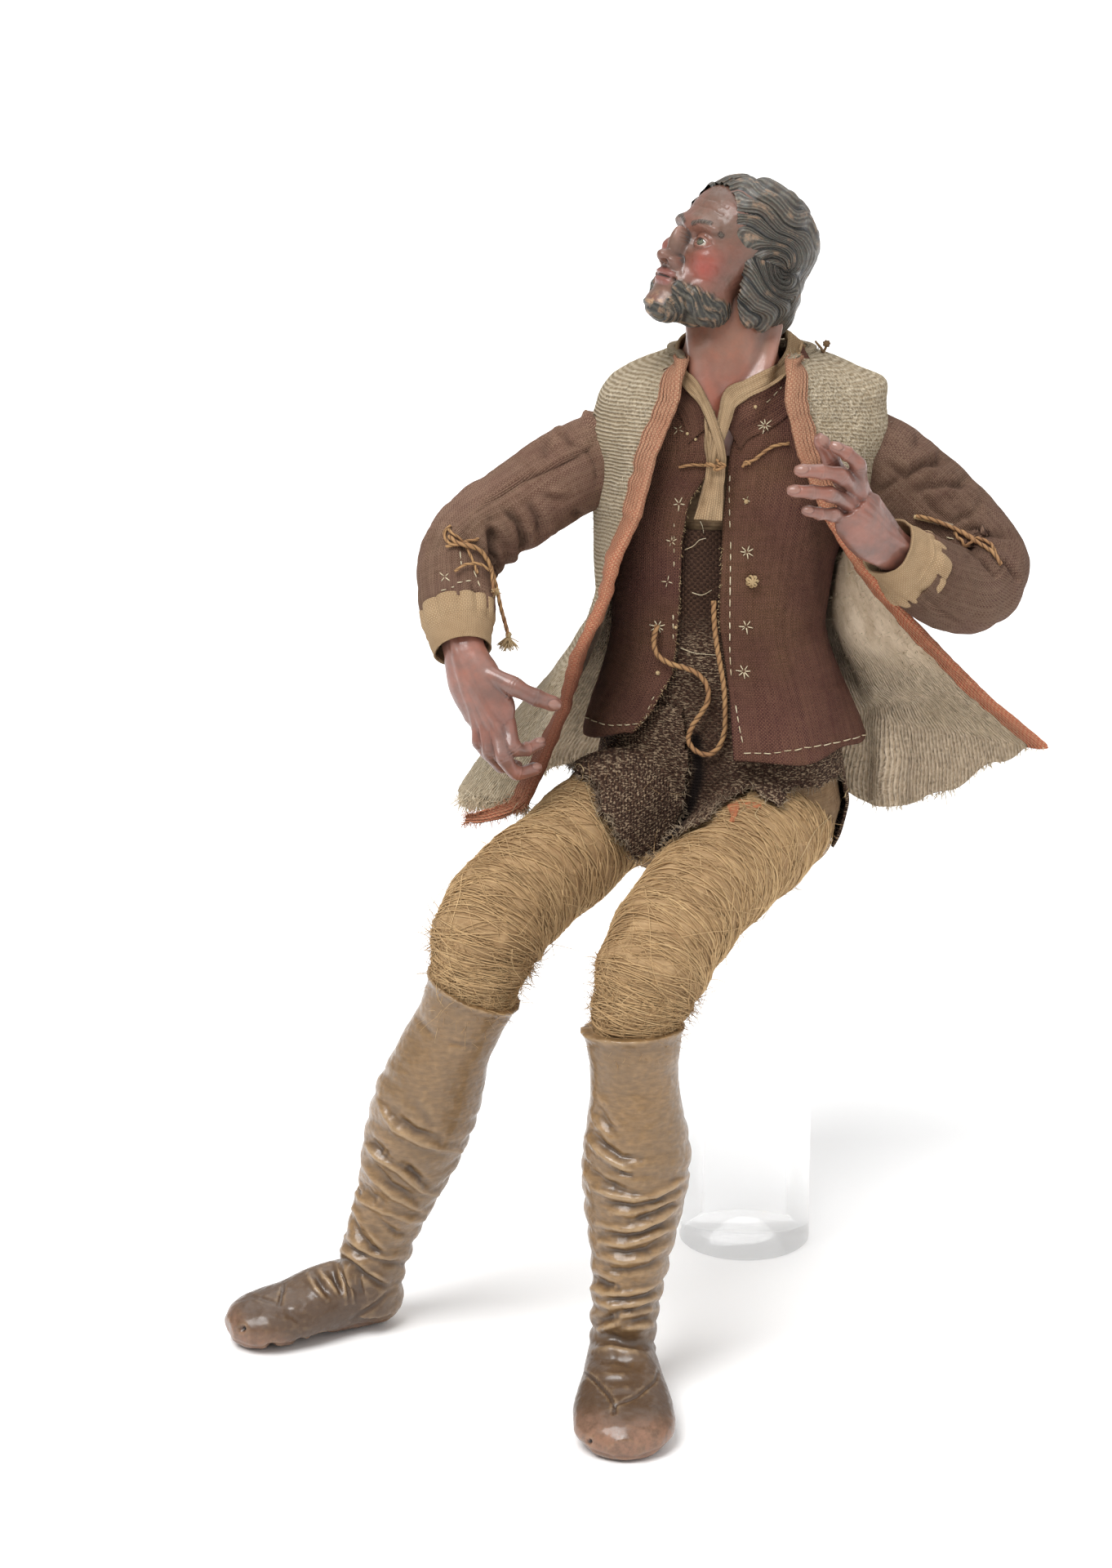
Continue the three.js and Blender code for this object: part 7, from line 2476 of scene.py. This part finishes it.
def makeTies():
    body, right, left = (sightTree(part) for part in jacketParts)
    front = sightTree(jacketParts[0], bpy.data.objects["shirtCloth"])
    cords = [
        # cloth it lies on, thickness, lift, line
        (front, 1.1, 0.8, [(832, 572), (848, 569), (866, 570), (885, 571)]),
            (front, 1.1, 1.2, [(866, 566), (880, 575), (886, 569), (878, 563)]),
        (body, 1.2, 0.7, [(912, 569), (917, 566), (925, 562), (936, 553), (948, 546), (966, 543)]),
            (body, 1.2, 0.9, [(909, 572), (914, 565), (919, 568)]),
        (right, 1.15, 0.7, [(554, 645), (546, 652), (546, 660), (552, 667), (566, 665), (585, 661)]),
        (right, 1.15, 1.4, [(549, 672), (567, 668), (583, 675), (594, 692), (598, 712), (600, 728)]),
        (right, 1.0, 1.6, [(556, 703), (569, 695), (585, 694), (594, 701)]),
            (right, 1.0, 1.0, [(552, 650), (560, 660), (570, 672), (578, 690), (583, 704)]),
        (left, 1.3, 0.9, [(1167, 647), (1181, 654), (1196, 661), (1212, 668), (1217, 680)]),
            (left, 1.2, 1.5, [(1171, 652), (1176, 662), (1184, 669), (1194, 666), (1186, 657)]),
    ]
    parts = []
    for tree, thick, lift, line in cords:
        smooth = spline(line3(line), np.linspace(0, 1, 26))[:, :2]
        path = np.array(seenPath(tree, smooth, 1.6, lift))
        if len(path) > 4:
            path[1:-1] = (path[:-2] + path[1:-1] * 2 + path[2:]) / 4
            fine = spline(path, np.linspace(0, 1, max(int(np.linalg.norm(np.diff(path, axis=0),
                axis=1).sum() / 0.4), 8)))
            parts.append(plait("tie", fine, thick * 0.86, 9))
    ties = joinAll(parts)
    finishPiece(ties, "jacketTies", laceCord, "lace_cord")
    # the wrapped end of the left sleeve's lace, and the frayed knot and tassel of the right one's
    stem = seenPath(left, [(1121, 632), (1146, 639)], 2, 0.8)
    wrap = seenPath(left, [(1144, 639), (1168, 646)], 2, 0.8)
    fibres("laceEnds", strawThread, "lace_cord", [stem], [1.35], 0.9, 8)
    fibres("laceWhipping", greyThread, "lace_cord", [wrap], [1.5], 0.9, 8)
    tassel = np.asarray(laces["rightSleeveLace"]["route"][-1], dtype=float)
    frayed = sightHit(right, 601, 728, 1.6)
    paths = [knot(tassel + (0, 0, 0.4), 0.8, 0.5)[0]]
    origins = [tassel] * 60
    ways = [unitRows(np.array([[dice.normal(0, 0.45), dice.normal(0, 0.3), -1]]))[0] for _ in origins]
    paths += fuzz(origins, ways, dice.uniform(3.2, 5.2, len(origins)), 0.12, 5)
    if frayed is not None:
        paths += fuzz([frayed[0]] * 26, unitRows(dice.normal(0, 1, (26, 3))), dice.uniform(1.0, 2.2, 26), 0.4,
            4)
    fibres("laceTassel", strawThread, "lace_cord", paths, [0.5] + [0.34] * (len(paths) - 1), 0.8, 4)


def makeHipThreads():
    cloths = [bpy.data.objects[name] for name in ("breechesCloth", "rightThigh", "leftThigh")]
    tree = sightTree(*cloths)
    paths = []
    for line in hipThreads:
        path = seenPath(tree, spline(line3(line), np.linspace(0, 1, 16))[:, :2], 3, 0.7)
        if len(path) > 3:
            paths.append(path)
    fibres("hipThreads", strawThread, "breeches_wool", paths, [0.36] * len(paths), 0.7, 4)
    # a scrap of orange cloth caught in the torn edge, in three strips
    scraps = [
        ([(890, 986, 901, 980, 0), (892, 993, 906, 987, 0), (896, 1001, 903, 998, 0),
            (892, 1006, 899, 1007, 0)], 7),
        ([(904, 979, 920, 982, 0), (912, 988, 919, 993, 0)], 5),
            ([(921, 983, 933, 983, 0), (922, 989, 932, 990, 0)], 4),
    ]
    parts = [laidStrip(tree, rows, 1.0, 10, 14, (3, long), 0.5) for rows, long in scraps]
    scrap = joinAll(parts)
    wall(scrap, 0.5, 0.0)
    finishPiece(scrap, "orangeScrap", scrapCloth, "breeches_wool")


def makeShoulderKnot():
    # a twig-like knot of thread on the left shoulder of the vest
    tree = sightTree(bpy.data.objects["vestCloth"])
    foot = sightHit(tree, 1008, 432, 0.2)
    other = sightHit(tree, 984, 430, 0.2)
    paths, widths = [], []
    if foot is not None:
        base = foot[0]
        paths.append([base + (0, 0, -0.3), base + (-0.6, -0.3, 1.2), base + (-1.8, -0.4, 2.6),
            base + (-2.4, -0.4, 3.4)])
        paths.append(knot(base + (0.9, -0.4, 2.6), 0.95, 0.6)[0])
        paths.append([base + (0, 0, 0), base + (0.6, -0.3, 1.2), base + (0.9, -0.4, 2.4)])
        widths += [0.9, 0.6, 0.9]
    if other is not None:
        paths.append(knot(other[0] + (0, 0, 1.2), 0.6, 0.5)[0])
        widths.append(0.5)
    fibres("shoulderKnot", bodyTow, "vest_wool", paths, widths, 0.7, 6)


scrapCloth = threadMaterial("scrapCloth", (0.50, 0.19, 0.085), (0.26, 0.09, 0.045))
makeStitches()
makeTies()
makeHipThreads()
makeShoulderKnot()
print("stitches and ties made")
